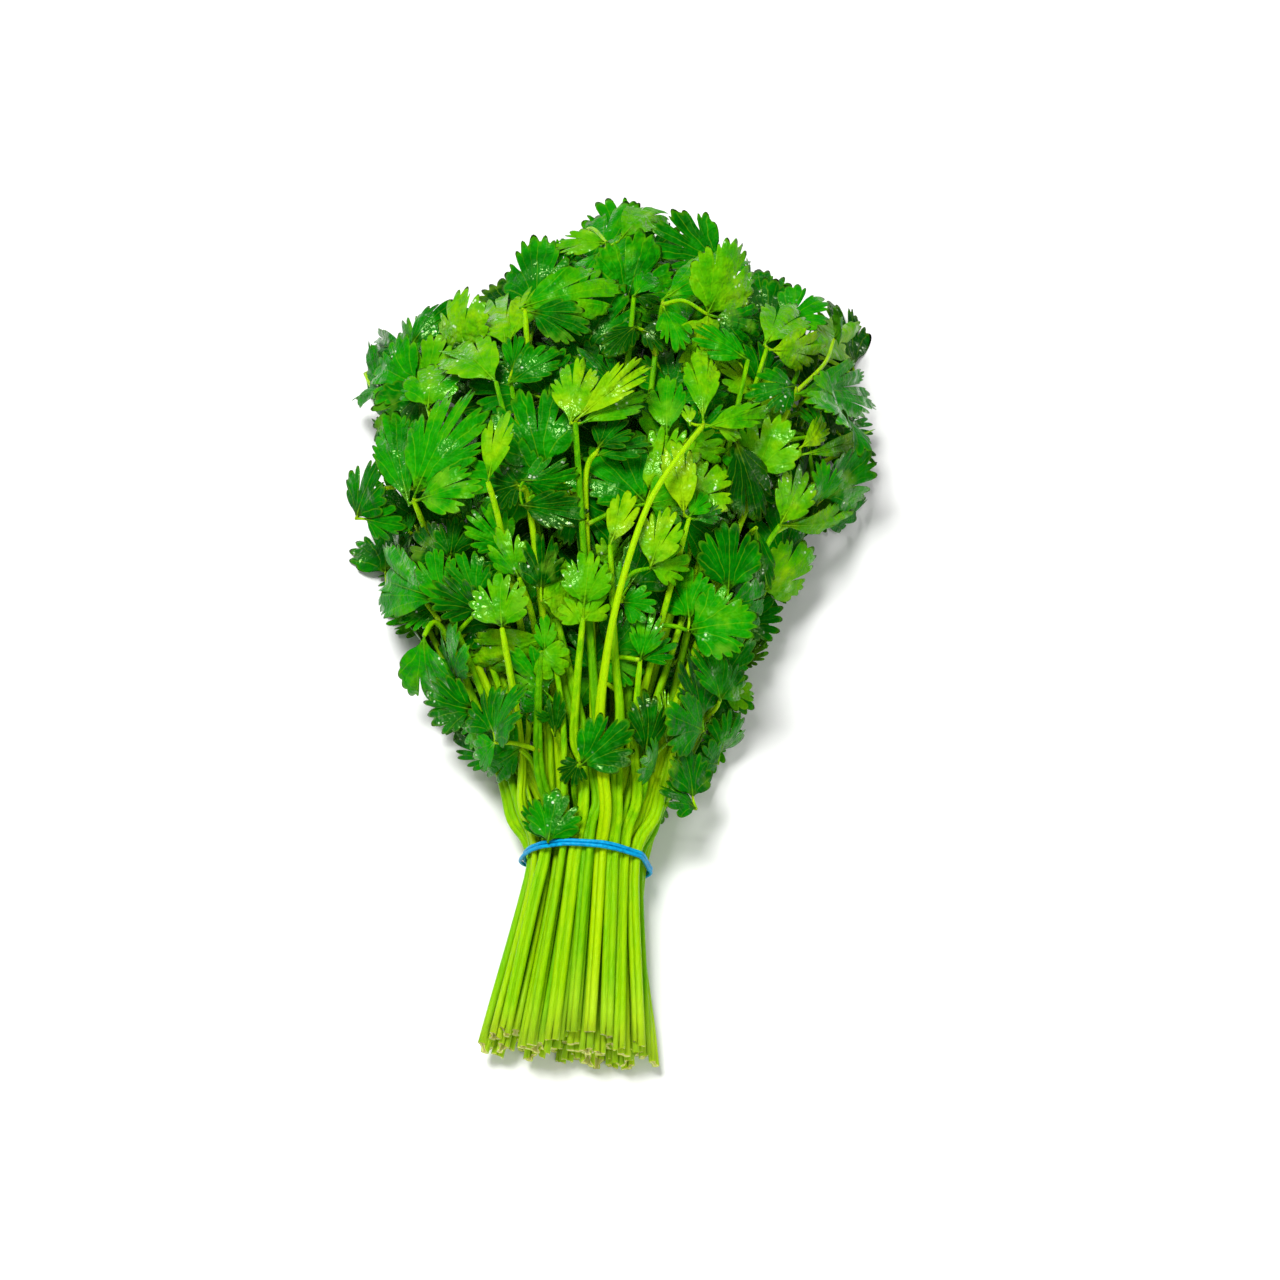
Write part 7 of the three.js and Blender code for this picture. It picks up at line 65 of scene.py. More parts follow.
    [[[27.392, -141.816, 8.786, 1.493], [20.381, -87.38, 14.359, 1.493], [23.583, -77.38, 15.806, 1.423], [26.513, -65.38, 18.88, 1.339], [35.891, -31.38, 26.105, 1.082], [48.726, 3.783, 35.942, 0.828], [53.647, 13.245, 39.69, 0.747]], [[0, [53.65, 13.24, 39.69], [[53.64, 13.04, 40.04, 59.97, 29.79, 45.53, 0.434, -0.424, 0.795, 13.46, 0.075, 0.036, 1, 3, 1], [53.65, 13.45, 39.34, 76.68, 35.69, 11.61, 0.817, -0.509, 0.271, 8.36, 0.088, -0.186, 1, 3, 1]]], [[[52.66, 11.35, 38.94], [60.13, 20.25, 32.29], [66.34, 26.08, 20.37]], [66.34, 26.08, 20.37], [[66.34, 26.08, 20.37, 79.44, 45.4, 4.28, 0.879, -0.437, 0.191, 13.04, 0.054, -0.122, 2, 1, 1]]], [[[30.98, -49.26, 22.32], [34.07, -48.76, 24.26], [36.13, -48.75, 26.3]], [36.13, -48.75, 26.3], [[35.69, -45.96, 27.82, 31.36, -29.65, 37.77, 0.786, -0.156, 0.598, 20.05, -0.012, 0.066, 2, 1, 0], [36.13, -48.75, 26.3, 25.58, -51.93, 41.5, 0.813, -0.294, 0.503, 18.14, 0.034, 0.014, 1, 1, 0]]], [[[34.66, -35.85, 25.16], [38.13, -33.57, 22.13], [40.88, -31.95, 19.48]], [40.88, -31.95, 19.48], [[41.38, -28.91, 20.31, 43.29, -11.46, 25.13, 0.54, -0.278, 0.794, 15.68, -0.002, -0.067, 0, 1, 0], [40.88, -31.95, 19.48, 49.98, -29.39, 14.3, 0.535, -0.313, 0.785, 10.29, 0.008, 0.156, 1, 3, 0]]]]],
    [[[-2.752, -142.959, 11.73, 1.604], [0.55, -87.38, 16.685, 1.604], [-1.015, -77.38, 19.121, 1.535], [-5.683, -50.38, 30.173, 1.325], [-10.35, -31.38, 39.752, 1.166], [-18.646, 4.545, 58.996, 0.883], [-20.671, 4.165, 63.893, 0.802]], [[0, [-20.67, 4.16, 63.89], [[-20.43, 6.16, 65.94, -4.63, 8.28, 68, 0.042, -0.84, 0.541, 13.61, 0.098, -0.11, 2, 1, 1], [-20.6, 0.77, 61.09, -1.59, -0.78, 61.47, -0.056, -0.47, 0.881, 10.8, 0.059, 0.075, 0, 0, 1], [-20.98, 5.56, 64.65, -30.18, 4.09, 60.26, -0.344, -0.394, 0.852, 13.1, 0.076, -0.13, 2, 0, 1]]], [[[-18.65, 4.54, 59], [-14.95, 8.83, 62.08], [-9.09, 9.36, 60.89]], [-9.09, 9.36, 60.89], [[-6.93, 7.5, 59.43, 7.61, -5.01, 49.23, 0.287, -0.383, 0.878, 22.4, -0.014, 0.031, 2, 1, 0], [-9.09, 9.36, 60.89, -15.22, -1.46, 57.32, 0.376, -0.475, 0.796, 13.54, 0.002, 0.02, 2, 3, 0]]], [[[-4.48, -57.88, 27.06], [-1.17, -53.82, 25.32], [1.16, -50.84, 23.5]], [1.16, -50.84, 23.5], [[-0.29, -48.2, 24.58, -10.9, -28.7, 31.98, 0.077, -0.317, 0.945, 21.58, -0.001, 0.194, 0, 2, 0], [1.16, -50.84, 23.5, -12.81, -50.25, 25.34, 0.106, -0.37, 0.923, 12.37, 0.101, 0.195, 2, 1, 0]]]]],
    [[[14.833, -141.791, 12.77, 1.396], [11.501, -87.38, 18.591, 1.396], [14.586, -65.38, 27.238, 1.242], [20.649, -31.38, 41.15, 0.965], [27.618, 2.502, 58.384, 0.698]], [[0, [27.62, 2.5, 58.38], [[26.1, 2.25, 59.33, 22.08, 22.52, 67.18, 0.146, -0.332, 0.932, 10.26, 0.106, -0.125, 1, 4, 1], [27.78, 2.74, 58.75, 31.72, 11.03, 58.84, 0.286, -0.146, 0.947, 7.42, 0.086, 0.152, 0, 2, 1], [28.97, 2.51, 57.08, 36.63, 8.38, 53.94, 0.514, -0.229, 0.826, 5.72, 0.091, 0.097, 2, 1, 1]]], [[[21.89, -25.31, 44.21], [26.31, -25.83, 44.97], [29.71, -26.69, 44.83]], [29.71, -26.69, 44.83], [[29.93, -23.55, 45.41, 27.82, -7.95, 47.18, -0.412, -0.157, 0.898, 14.48, 0.059, -0.123, 1, 2, 0], [29.71, -26.69, 44.83, 48.69, -23.85, 47.85, -0.125, -0.201, 0.972, 20.79, 0.072, 0.183, 1, 2, 0]]]]],
    [[[12.007, -141.676, 10.53, 1.589], [10.611, -87.38, 15.387, 1.589], [12.876, -77.38, 18.553, 1.524], [12.688, -65.38, 23.814, 1.447], [15.019, -31.38, 38.022, 1.199], [19.225, 26.233, 63.055, 0.794]], [[0, [19.23, 26.23, 63.05], [[19.23, 26.23, 63.05, 17.5, 47.05, 63.66, -0.138, -0.04, 0.99, 11.57, 0.053, 0.088, 1, 2, 1]]], [[[15.73, -21.56, 42.25], [12.55, -20.21, 46.13], [10.49, -19.68, 49.5]], [10.49, -19.68, 49.5], [[11.92, -17.19, 50.92, 22.14, -0.57, 54.56, 0.462, -0.451, 0.763, 18.5, 0.02, 0.191, 2, 1, 0], [10.49, -19.68, 49.5, 4.17, -12.85, 55.29, 0.124, -0.572, 0.811, 10.01, 0.034, -0.09, 2, 2, 0]]], [[[16.67, -8.47, 47.89], [13.23, -2.22, 45.72], [11.52, -1.22, 41.66]], [11.52, -1.22, 41.66], [[13.5, -3.41, 40.44, 22.04, -13.38, 33.21, 0.473, -0.215, 0.855, 14.63, -0.002, -0.228, 0, 1, 0], [11.52, -1.22, 41.66, 9.15, -13.88, 40.3, 0.258, -0.151, 0.954, 11.55, 0.103, 0, 2, 0, 0], [11.52, -1.22, 41.66, 28.84, 3.6, 30.26, 0.577, -0.207, 0.79, 19.24, 0.013, -0.227, 1, 2, 0]]], [[[18.62, 18, 59.44], [20.07, 20.48, 55], [20.22, 21.47, 51.08]], [20.22, 21.47, 51.08], [[18.86, 23.96, 52.56, 12.85, 35.34, 61.4, 0.361, -0.446, 0.819, 14.93, 0.094, -0.011, 0, 3, 0], [20.22, 21.47, 51.08, 32.67, 34.78, 51.09, 0.343, -0.321, 0.883, 16.98, 0.047, -0.019, 2, 0, 0], [20.22, 21.47, 51.08, -0.54, 15.39, 56.2, 0.32, -0.351, 0.88, 22.75, 0.033, 0.101, 0, 0, 0]]]]],
    [[[25.111, -140.666, 11.684, 1.469], [19.513, -87.38, 17.545, 1.469], [22.784, -77.38, 18.937, 1.422], [25.501, -50.38, 25.281, 1.289], [27.911, -31.38, 30.551, 1.195], [40.605, 55.577, 61.251, 0.735]], [[0, [40.6, 55.58, 61.25], [[40.6, 55.58, 61.25, 24.15, 62.51, 64.52, 0.109, -0.2, 0.974, 11.13, 0.097, -0.194, 2, 2, 1]]], [[[23.29, -70.83, 20.46], [30.98, -70.82, 22.36], [36.03, -72.12, 23.35]], [36.03, -72.12, 23.35], [[34.84, -69.17, 23.71, 30.41, -54.56, 26.95, 0.689, 0.049, 0.723, 16.02, 0.062, -0.019, 1, 1, 0], [36.03, -72.12, 23.35, 25.53, -70.99, 31.01, 0.574, 0.361, 0.735, 11.55, 0.07, -0.084, 0, 1, 0]]], [[[37.01, 33.02, 52.06], [29.23, 39.99, 53.22], [20.21, 45.27, 51.81]], [20.21, 45.27, 51.81], [[19.26, 48.3, 51.39, 14.72, 66.77, 49.02, -0.139, 0.092, 0.986, 19.22, -0.019, 0.152, 2, 1, 0], [20.21, 45.27, 51.81, 31, 60.32, 47.1, 0.032, 0.278, 0.96, 19.52, -0.01, -0.072, 0, 2, 0]]]]],
    [[[5.597, -139.479, 7.577, 1.626], [6.107, -87.38, 12.28, 0.55], [1.128, -77.38, 12.567, 0.55], [2.086, -65.38, 13.674, 0.781], [2.227, -31.38, 21.582, 1.391], [0.72, 18.62, 31.879, 1.18], [-0.676, 44.62, 36.734, 1.072], [-4.944, 103.384, 46.785, 0.813]], [[0, [-4.94, 103.38, 46.79], [[-2.27, 105.44, 46.18, 9.72, 132.93, 30.34, 0.28, 0.385, 0.88, 13.08, 0.101, -0.17, 1, 3, 1], [-5.29, 104.78, 46.21, -22.69, 104.88, 41.42, -0.264, 0.097, 0.96, 10.46, 0.077, 0.037, 1, 3, 1], [-7.27, 99.93, 47.97, -12.87, 83.31, 53.88, 0.059, 0.317, 0.947, 9.09, 0.031, -0.19, 0, 2, 1]]], [[[-4.61, 99.21, 46.1], [-9.1, 101.76, 39.21], [-11.2, 102.48, 32.8]], [-11.2, 102.48, 32.8], [[-9.94, 105.42, 32.97, 1.35, 129.91, 31.78, -0.225, 0.151, 0.963, 23.82, -0.001, -0.059, 1, 2, 0], [-11.2, 102.48, 32.8, 11.4, 101.39, 42.65, -0.396, 0.064, 0.916, 26.49, 0.067, -0.012, 1, 2, 0], [-11.2, 102.48, 32.8, -21.88, 115.5, 29.43, -0.254, 0.042, 0.966, 18.09, 0.018, 0.051, 2, 1, 0]]], [[[-1.51, 57.05, 38.92], [-7.03, 58.54, 43.69], [-10.53, 58.91, 47.53]], [-10.53, 58.91, 47.53], [[-9.33, 61.86, 47.86, 1.17, 82.57, 54.41, -0.035, -0.285, 0.958, 24.25, 0.1, -0.115, 0, 1, 0], [-10.53, 58.91, 47.53, 8.13, 56.39, 46.06, 0.082, 0.026, 0.996, 16.31, -0.02, -0.199, 0, 1, 0], [-10.53, 58.91, 47.53, -20.97, 69.18, 45.48, -0.182, 0.011, 0.983, 13.23, 0.085, -0.063, 2, 1, 0]]], [[[-2.95, 77.6, 42.48], [1.38, 87.4, 36.72], [10.46, 89.81, 31.16]], [10.46, 89.81, 31.16], [[13.63, 89.51, 31.5, 32.44, 87.35, 35.82, -0.238, -0.146, 0.96, 19.96, 0.088, -0.004, 1, 2, 0], [10.46, 89.81, 31.16, 16.34, 100.62, 33.55, -0.117, -0.154, 0.981, 13.15, 0.009, 0.162, 1, 1, 0]]], [[[-1.81, 61.58, 39.71], [-13.8, 68.48, 37.19], [-19.63, 70.57, 34.24]], [-19.63, 70.57, 34.24], [[-16.63, 71.64, 34.43, 6.54, 79.08, 32.33, 0.139, -0.158, 0.978, 22.59, 0.001, -0.098, 0, 2, 0], [-19.63, 70.57, 34.24, -11.56, 56.39, 31.93, -0.211, -0.272, 0.939, 15.94, 0.052, -0.014, 1, 2, 0]]], [[[-4.27, 95.04, 45.42], [-19.51, 106.33, 37.54], [-35.16, 98.93, 23.69]], [-35.16, 98.93, 23.69], [[-36.56, 96.87, 21.68, -46.22, 83.43, 8.44, -0.868, 0.472, 0.155, 19.29, 0.044, 0.063, 2, 1, 0], [-35.16, 98.93, 23.69, -36.33, 101.45, 10.81, -0.875, 0.454, 0.168, 10.33, 0.042, 0.106, 0, 0, 0]]], [[[-3.3, 82.25, 43.26], [-8.65, 89.37, 22.98], [-13.33, 90.17, 9.6]], [-13.33, 90.17, 9.6], [[-13.33, 90.17, 9.6, -29.06, 89.69, 15.48, -0.294, 0.61, -0.736, 13.38, 0.077, -0.08, 2, 1, 0], [-13.33, 90.17, 9.6, -4.78, 98.36, 10.35, -0.471, 0.554, -0.686, 11.01, -0.011, 0.185, 1, 0, 0]]], [[[-2.5, 71.78, 41.5], [-3.25, 71.62, 45.19], [-3.42, 70.87, 47.64]], [-3.42, 70.87, 47.64], [[-3.42, 70.87, 47.64, 6.45, 73.92, 47.8, -0.07, 0.175, 0.982, 10.35, 0.083, -0.089, 1, 0, 0], [-3.42, 70.87, 47.64, -12.89, 80.75, 44.74, 0.005, 0.286, 0.958, 13.48, 0.04, -0.052, 1, 0, 0]]], [[[-3.47, 84.58, 43.65], [-11.22, 88.23, 38.02], [-19, 88.57, 29.48]], [-19, 88.57, 29.48], [[-19, 88.57, 29.48, -1.56, 103.24, 30.98, -0.417, 0.414, 0.809, 22.11, 0.041, -0.027, 1, 1, 0], [-19, 88.57, 29.48, -29.88, 83.43, 27.02, -0.386, 0.425, 0.819, 9.75, 0.053, -0.108, 0, 1, 0]]], [[[-4.94, 103.38, 46.79], [-12.94, 118.8, 33.41], [-19.94, 115.14, 14.17]], [-19.94, 115.14, 14.17], [[-20.32, 112.89, 11.92, -21.6, 102.41, 1.99, 0.747, -0.503, 0.434, 14.17, 0.102, 0.032, 2, 1, 0], [-19.94, 115.14, 14.17, -28.93, 103.14, 19.96, 0.822, -0.44, 0.362, 12.77, 0.096, -0.105, 0, 0, 0]]], [[[-3.92, 90.39, 44.63], [-12.49, 91.6, 41.98], [-19.55, 91.23, 39.42]], [-19.55, 91.23, 39.42], [[-19.75, 94.4, 39.86, -20.04, 107.18, 40.61, -0.421, -0.063, 0.905, 10.5, 0.002, 0.166, 2, 2, 0], [-19.55, 91.23, 39.42, -10.54, 95.14, 45.29, -0.481, -0.18, 0.858, 9.12, 0.088, 0.084, 0, 1, 0]]]]],
    [[[-0.251, -143.501, 14.275, 1.645], [2.23, -87.38, 21.512, 1.57], [-8.104, -71.553, 27.73, 1.334], [-10.904, -49.142, 40.088, 1.002], [-10.538, -38.318, 46.961, 0.822]], [[0, [-10.54, -38.32, 46.96], [[-11.21, -38.54, 47.26, -3.51, -42.6, 44.1, 0.052, -0.551, 0.833, 11.85, 0.067, -0.217, 1, 3, 1], [-9.86, -38.1, 46.66, -10.77, -28.24, 50.31, -0.052, -0.351, 0.935, 6.78, 0.094, -0.021, 0, 2, 1]]], [[[-9.25, -62.38, 32.79], [-15.82, -62.06, 35.73], [-21.72, -62.33, 35.81]], [-21.72, -62.33, 35.81], [[-22.45, -59.3, 35.07, -27.8, -45.48, 33.81, -0.543, -0.135, 0.829, 14.71, 0.082, -0.121, 2, 1, 0], [-21.72, -62.33, 35.81, -15.48, -51.38, 49.9, -0.874, -0.111, 0.474, 19.67, 0.089, -0.015, 0, 1, 0], [-21.72, -62.33, 35.81, -27.12, -63.83, 25.24, -0.829, -0.309, 0.467, 10.47, 0.024, 0.163, 0, 2, 0]]]]],
    [[[-8.695, -139.89, 12.237, 1.6], [-4.064, -87.38, 18.191, 0.55], [-9.531, -77.38, 23.526, 0.55], [-13.514, -65.38, 23.913, 0.55], [-13.646, -50.38, 29.121, 0.978], [-16.953, -31.38, 38.3, 1.113], [-25.931, -4.663, 59.287, 0.888], [-29.761, 3.614, 67.686, 0.8]], [[0, [-29.76, 3.61, 67.69], [[-29.76, 3.61, 67.69, -25.82, 22.51, 75.43, -0.255, -0.321, 0.912, 9.63, 0.084, 0.064, 1, 3, 1]]], [[[-22.94, -13.57, 52.29], [-21.05, -10.53, 50.02], [-20.18, -9, 47.32]], [-20.18, -9, 47.32], [[-22.73, -7.45, 48.47, -34.83, 0.16, 55.59, 0.039, -0.648, 0.76, 13.99, 0.006, 0.156, 2, 2, 0], [-20.18, -9, 47.32, -30.82, -13.77, 41.08, 0.044, -0.829, 0.557, 11.82, 0.028, -0.12, 2, 1, 0]]]]],
    [[[16.882, -138.472, 17.122, 1.593], [14.802, -105.38, 21.981, 1.593], [13.706, -87.38, 24.137, 1.593], [13.889, -77.38, 27.894, 1.5], [12.965, -65.38, 31.849, 1.389], [12.453, -50.364, 37.117, 1.236], [9.793, -36.214, 44.522, 1.091], [6.01, -9.154, 59.488, 0.796]], [[0, [6.01, -9.15, 59.49], [[6.01, -9.15, 59.49, 10.96, 5.62, 64.78, 0.046, -0.351, 0.935, 8.5, 0.093, 0.057, 1, 4, 1]]], [[[11.5, -45.31, 39.76], [8.07, -42.16, 37.81], [4.66, -39.81, 35.58]], [4.66, -39.81, 35.58], [[3.48, -37.04, 36.65, -2.45, -25.83, 39.35, -0.108, -0.287, 0.952, 11.54, -0.012, -0.073, 0, 1, 0], [4.66, -39.81, 35.58, 15.13, -27.24, 36.09, 0.265, -0.258, 0.929, 14.57, 0.017, -0.226, 2, 2, 0]]]]],
    [[[7.867, -141.803, 13.77, 1.505], [7.54, -87.38, 19.223, 1.504], [9.793, -77.38, 22.49, 1.44], [7.164, -65.38, 27.913, 1.365], [2.703, -31.38, 42.715, 1.116], [-2.81, 10.36, 61.644, 0.828], [-0.066, 16.972, 66.49, 0.753]], [[0, [-0.07, 16.97, 66.49], [[0.13, 17.98, 67.06, 6.64, 28.35, 67.62, 0.065, -0.095, 0.993, 12.01, 0.078, 0.046, 1, 1, 1], [-0.26, 15.96, 65.92, 14.59, 23.02, 65.35, 0.059, -0.043, 0.997, 9.14, 0.044, -0.024, 1, 1, 1]]], [[[-1.19, -1.12, 56.4], [6.73, 3.28, 57.59], [15.05, 6.12, 58.03]], [15.05, 6.12, 58.03], [[15.67, 9.02, 59.24, 23.01, 26.49, 66.34, -0.018, -0.37, 0.929, 20.1, -0.014, -0.223, 2, 3, 0], [15.05, 6.12, 58.03, 28.13, 10.17, 58.45, 0.169, -0.623, 0.764, 14.37, 0.071, -0.186, 1, 2, 0], [15.05, 6.12, 58.03, -1.7, 20.59, 62.76, 0.01, -0.3, 0.954, 20.03, 0.007, -0.09, 1, 1, 0]]]]],
    [[[4.556, -139.973, 15.297, 1.52], [5.698, -87.38, 22.043, 1.459], [5.327, -77.38, 25.988, 1.402], [3.416, -65.38, 28.94, 1.372], [-1.647, -50.38, 33.399, 1.309], [-28.078, 43.007, 61.638, 0.76]], [[0, [-28.08, 43.01, 61.64], [[-28.32, 40.26, 62.59, -14.43, 53.2, 62.85, 0.077, -0.103, 0.992, 11.09, 0.045, 0.136, 1, 1, 1], [-27.83, 45.75, 60.69, -27.14, 60.23, 58.2, 0.164, 0.16, 0.973, 8.82, 0.065, 0.076, 0, 1, 1]]], [[[-18.13, 8.09, 50.91], [-15.98, 9.92, 54.72], [-14.26, 11.05, 57.96]], [-14.26, 11.05, 57.96], [[-15.58, 13.84, 58.81, -24.21, 35.96, 66.58, -0.011, -0.335, 0.942, 24.48, 0.018, 0.192, 2, 1, 0], [-14.26, 11.05, 57.96, -37.55, 11.66, 55.01, -0.126, -0.364, 0.923, 23.71, 0.057, -0.028, 1, 2, 0]]], [[[-21.84, 21.35, 54.9], [-30.4, 24.03, 53.67], [-39.37, 22.62, 48.51]], [-39.37, 22.62, 48.51], [[-41.66, 23.67, 46.54, -59.01, 29.37, 34.3, -0.579, -0.617, 0.533, 21.04, 0.009, -0.04, 0, 0, 0], [-39.37, 22.62, 48.51, -44.57, 34.36, 55.89, -0.663, -0.586, 0.465, 15.01, 0.016, 0.052, 0, 1, 0], [-39.37, 22.62, 48.51, -38.83, 7.92, 36.54, -0.675, -0.48, 0.56, 17.6, -0.005, 0.161, 0, 2, 0]]], [[[-22.76, 24.66, 55.9], [-31.95, 29.72, 52.94], [-37.93, 33.68, 48.14]], [-37.93, 33.68, 48.14], [[-37.93, 33.68, 48.14, -25.56, 34.19, 54.04, -0.426, 0.237, 0.873, 11.41, 0.105, 0.134, 1, 1, 0], [-37.93, 33.68, 48.14, -49.42, 36.21, 42.12, -0.411, 0.231, 0.882, 10.62, 0.048, -0.037, 1, 1, 0]]]]],
    [[[-10.56, -141.174, 7.109, 1.389], [-5.191, -87.38, 11.831, 1.327], [-10.717, -77.38, 14.736, 1.304], [-17.096, -65.38, 15.048, 1.283], [-21.268, -50.38, 18.596, 1.223], [-27.628, -31.38, 22.109, 1.135], [-62.099, 66.192, 38.589, 0.695]], [[0, [-62.1, 66.19, 38.59], [[-62.1, 66.19, 38.59, -50.63, 82.1, 42.58, -0.24, -0.07, 0.968, 11.55, 0.105, -0.213, 0, 1, 1], [-62.1, 66.19, 38.59, -77.82, 82.95, 9.61, -0.886, -0.029, 0.464, 11.14, 0.102, 0.132, 2, 1, 1]]], [[[-56.66, 50.96, 36.07], [-62.95, 52.99, 35.59], [-68.54, 53.47, 32.83]], [-68.54, 53.47, 32.83], [[-68.4, 52.93, 33.67, -77.15, 76.66, 22.32, -0.779, 0.013, 0.627, 7.97, 0.072, 0.081, 1, 1, 1], [-68.68, 54.01, 31.98, -81.04, 64.93, 10.25, -0.833, 0.129, 0.538, 9.24, 0.079, -0.152, 1, 2, 1]]], [[[-56.66, 50.96, 36.07], [-55.69, 50.75, 40.11], [-55.17, 49.37, 42.43]], [-55.17, 49.37, 42.43], [[-57.38, 51.29, 41.13, -72.79, 62.53, 33.93, -0.547, -0.235, 0.803, 21.65, 0.088, 0.187, 0, 2, 0], [-55.17, 49.37, 42.43, -54.22, 65.36, 47.9, -0.612, -0.223, 0.759, 17.48, -0.017, 0.045, 1, 3, 0], [-55.17, 49.37, 42.43, -69.39, 37.11, 30.86, -0.378, -0.365, 0.851, 20.79, 0.048, 0.088, 0, 1, 0]]], [[[-60.94, 62.95, 38.05], [-60.2, 64.1, 34.57], [-59.5, 64.19, 30.79]], [-59.5, 64.19, 30.79], [[-60.89, 66.88, 29.75, -68.85, 83.3, 22.93, -0.705, -0.048, 0.708, 20.37, -0.02, 0.059, 0, 2, 0], [-59.5, 64.19, 30.79, -56.93, 72.69, 38.06, -0.791, -0.242, 0.562, 12.3, 0.009, -0.206, 2, 1, 0]]], [[[-57.46, 53.19, 36.44], [-57.59, 61.12, 28.9], [-55.49, 66.74, 24.14]], [-55.49, 66.74, 24.14], [[-55.05, 69.11, 26.25, -48.5, 83.81, 35.66, -0.164, -0.479, 0.862, 19.31, -0.006, 0.194, 1, 1, 0], [-55.49, 66.74, 24.14, -40.67, 66.62, 28.25, -0.218, -0.601, 0.769, 14.68, 0.064, 0.072, 0, 1, 0]]], [[[-49.12, 29.77, 32.54], [-59.32, 32.71, 25.81], [-65.56, 34.44, 19.47]], [-65.56, 34.44, 19.47], [[-65.56, 34.44, 19.47, -65.06, 37.23, 29.38, -0.988, 0.156, 0.006, 10.11, 0.036, 0.189, 2, 0, 0], [-65.56, 34.44, 19.47, -63.28, 40.03, 5.16, -0.98, 0.179, -0.086, 13.9, 0.093, 0.038, 2, 0, 0]]], [[[-55.07, 46.5, 35.33], [-55.65, 53.44, 27.23], [-54.78, 55, 22.81]], [-54.78, 55, 22.81], [[-54.78, 55, 22.81, -49.9, 39.94, 27.52, -0.95, -0.311, -0.009, 15.33, -0, -0.107, 2, 1, 0]]]]],
    [[[7.941, -142.027, 10.214, 1.646], [7.056, -87.38, 15.765, 1.364], [9.459, -77.38, 19.109, 1.345], [7.635, -65.38, 22.22, 1.447], [5.872, -31.38, 30.6, 1.372], [5.173, -7.38, 36.667, 1.254], [4.821, 18.62, 43.315, 1.127], [5.173, 77.276, 58.44, 0.823]], [[0, [5.17, 77.28, 58.44], [[5.22, 76.79, 59.13, 10.28, 87.68, 54.71, 0.159, 0.307, 0.938, 7.18, 0.108, -0.023, 1, 2, 1], [5.13, 77.76, 57.75, 12.91, 77.88, 56.48, 0.162, -0.151, 0.975, 5.97, 0.074, -0.211, 0, 0, 1]]], [[[5.37, -14.24, 34.93], [2.83, -13.31, 41.67], [2.58, -14.41, 47.97]], [2.58, -14.41, 47.97], [[4.55, -12.4, 49.51, 12.22, -4.31, 56.88, 0.441, -0.796, 0.414, 12.86, 0.01, -0.22, 2, 3, 0], [2.58, -14.41, 47.97, 15.43, -14.02, 38.78, 0.4, -0.749, 0.528, 15.53, 0.102, -0.18, 1, 0, 0]]], [[[5.02, 3.92, 39.56], [2.73, 5.12, 36.81], [1.92, 5.04, 34.24]], [1.92, 5.04, 34.24], [[4.38, 7.03, 34.68, 23.3, 19.16, 35.72, 0.128, -0.282, 0.951, 22.84, 0.017, -0.193, 2, 0, 0], [1.92, 5.04, 34.24, 21.18, -3.41, 29.04, 0.114, -0.318, 0.941, 20.47, 0.068, -0.049, 0, 1, 0], [1.92, 5.04, 34.24, -4.34, 22.44, 38.48, 0.045, -0.221, 0.974, 16.9, 0.106, 0.112, 0, 2, 0]]], [[[4.82, 41.23, 49.13], [7.84, 42.71, 46.91], [12.06, 41.81, 43.88]], [12.06, 41.81, 43.88], [[14.94, 42.98, 43.08, 32.92, 52.06, 37.85, 0.296, -0.036, 0.955, 20.27, 0.077, -0.159, 2, 1, 0], [12.06, 41.81, 43.88, 11.55, 59.43, 39, 0.161, 0.268, 0.95, 17.7, 0.039, -0.156, 0, 1, 0]]], [[[4.82, 24.27, 44.77], [4.08, 25.39, 49.45], [2.8, 25.87, 53.3]], [2.8, 25.87, 53.3], [[1.82, 28.87, 53.83, -3.63, 45.38, 56.68, 0.231, -0.091, 0.969, 17.76, 0.027, -0.089, 2, 0, 0], [2.8, 25.87, 53.3, -10.98, 28.63, 57.57, 0.275, -0.103, 0.956, 12.27, 0.08, -0.025, 1, 0, 0]]], [[[4.86, 48.04, 50.89], [0.87, 48.36, 50.41], [-3.46, 47.37, 49.74]], [-3.46, 47.37, 49.74], [[-5.31, 49.89, 50.44, -16.23, 64.45, 53.7, 0.296, 0.008, 0.955, 16.98, 0.063, 0.082, 0, 1, 0], [-3.46, 47.37, 49.74, 4.74, 56.76, 48.24, 0.273, -0.086, 0.958, 12.09, -0.004, 0.069, 0, 0, 0]]]]],
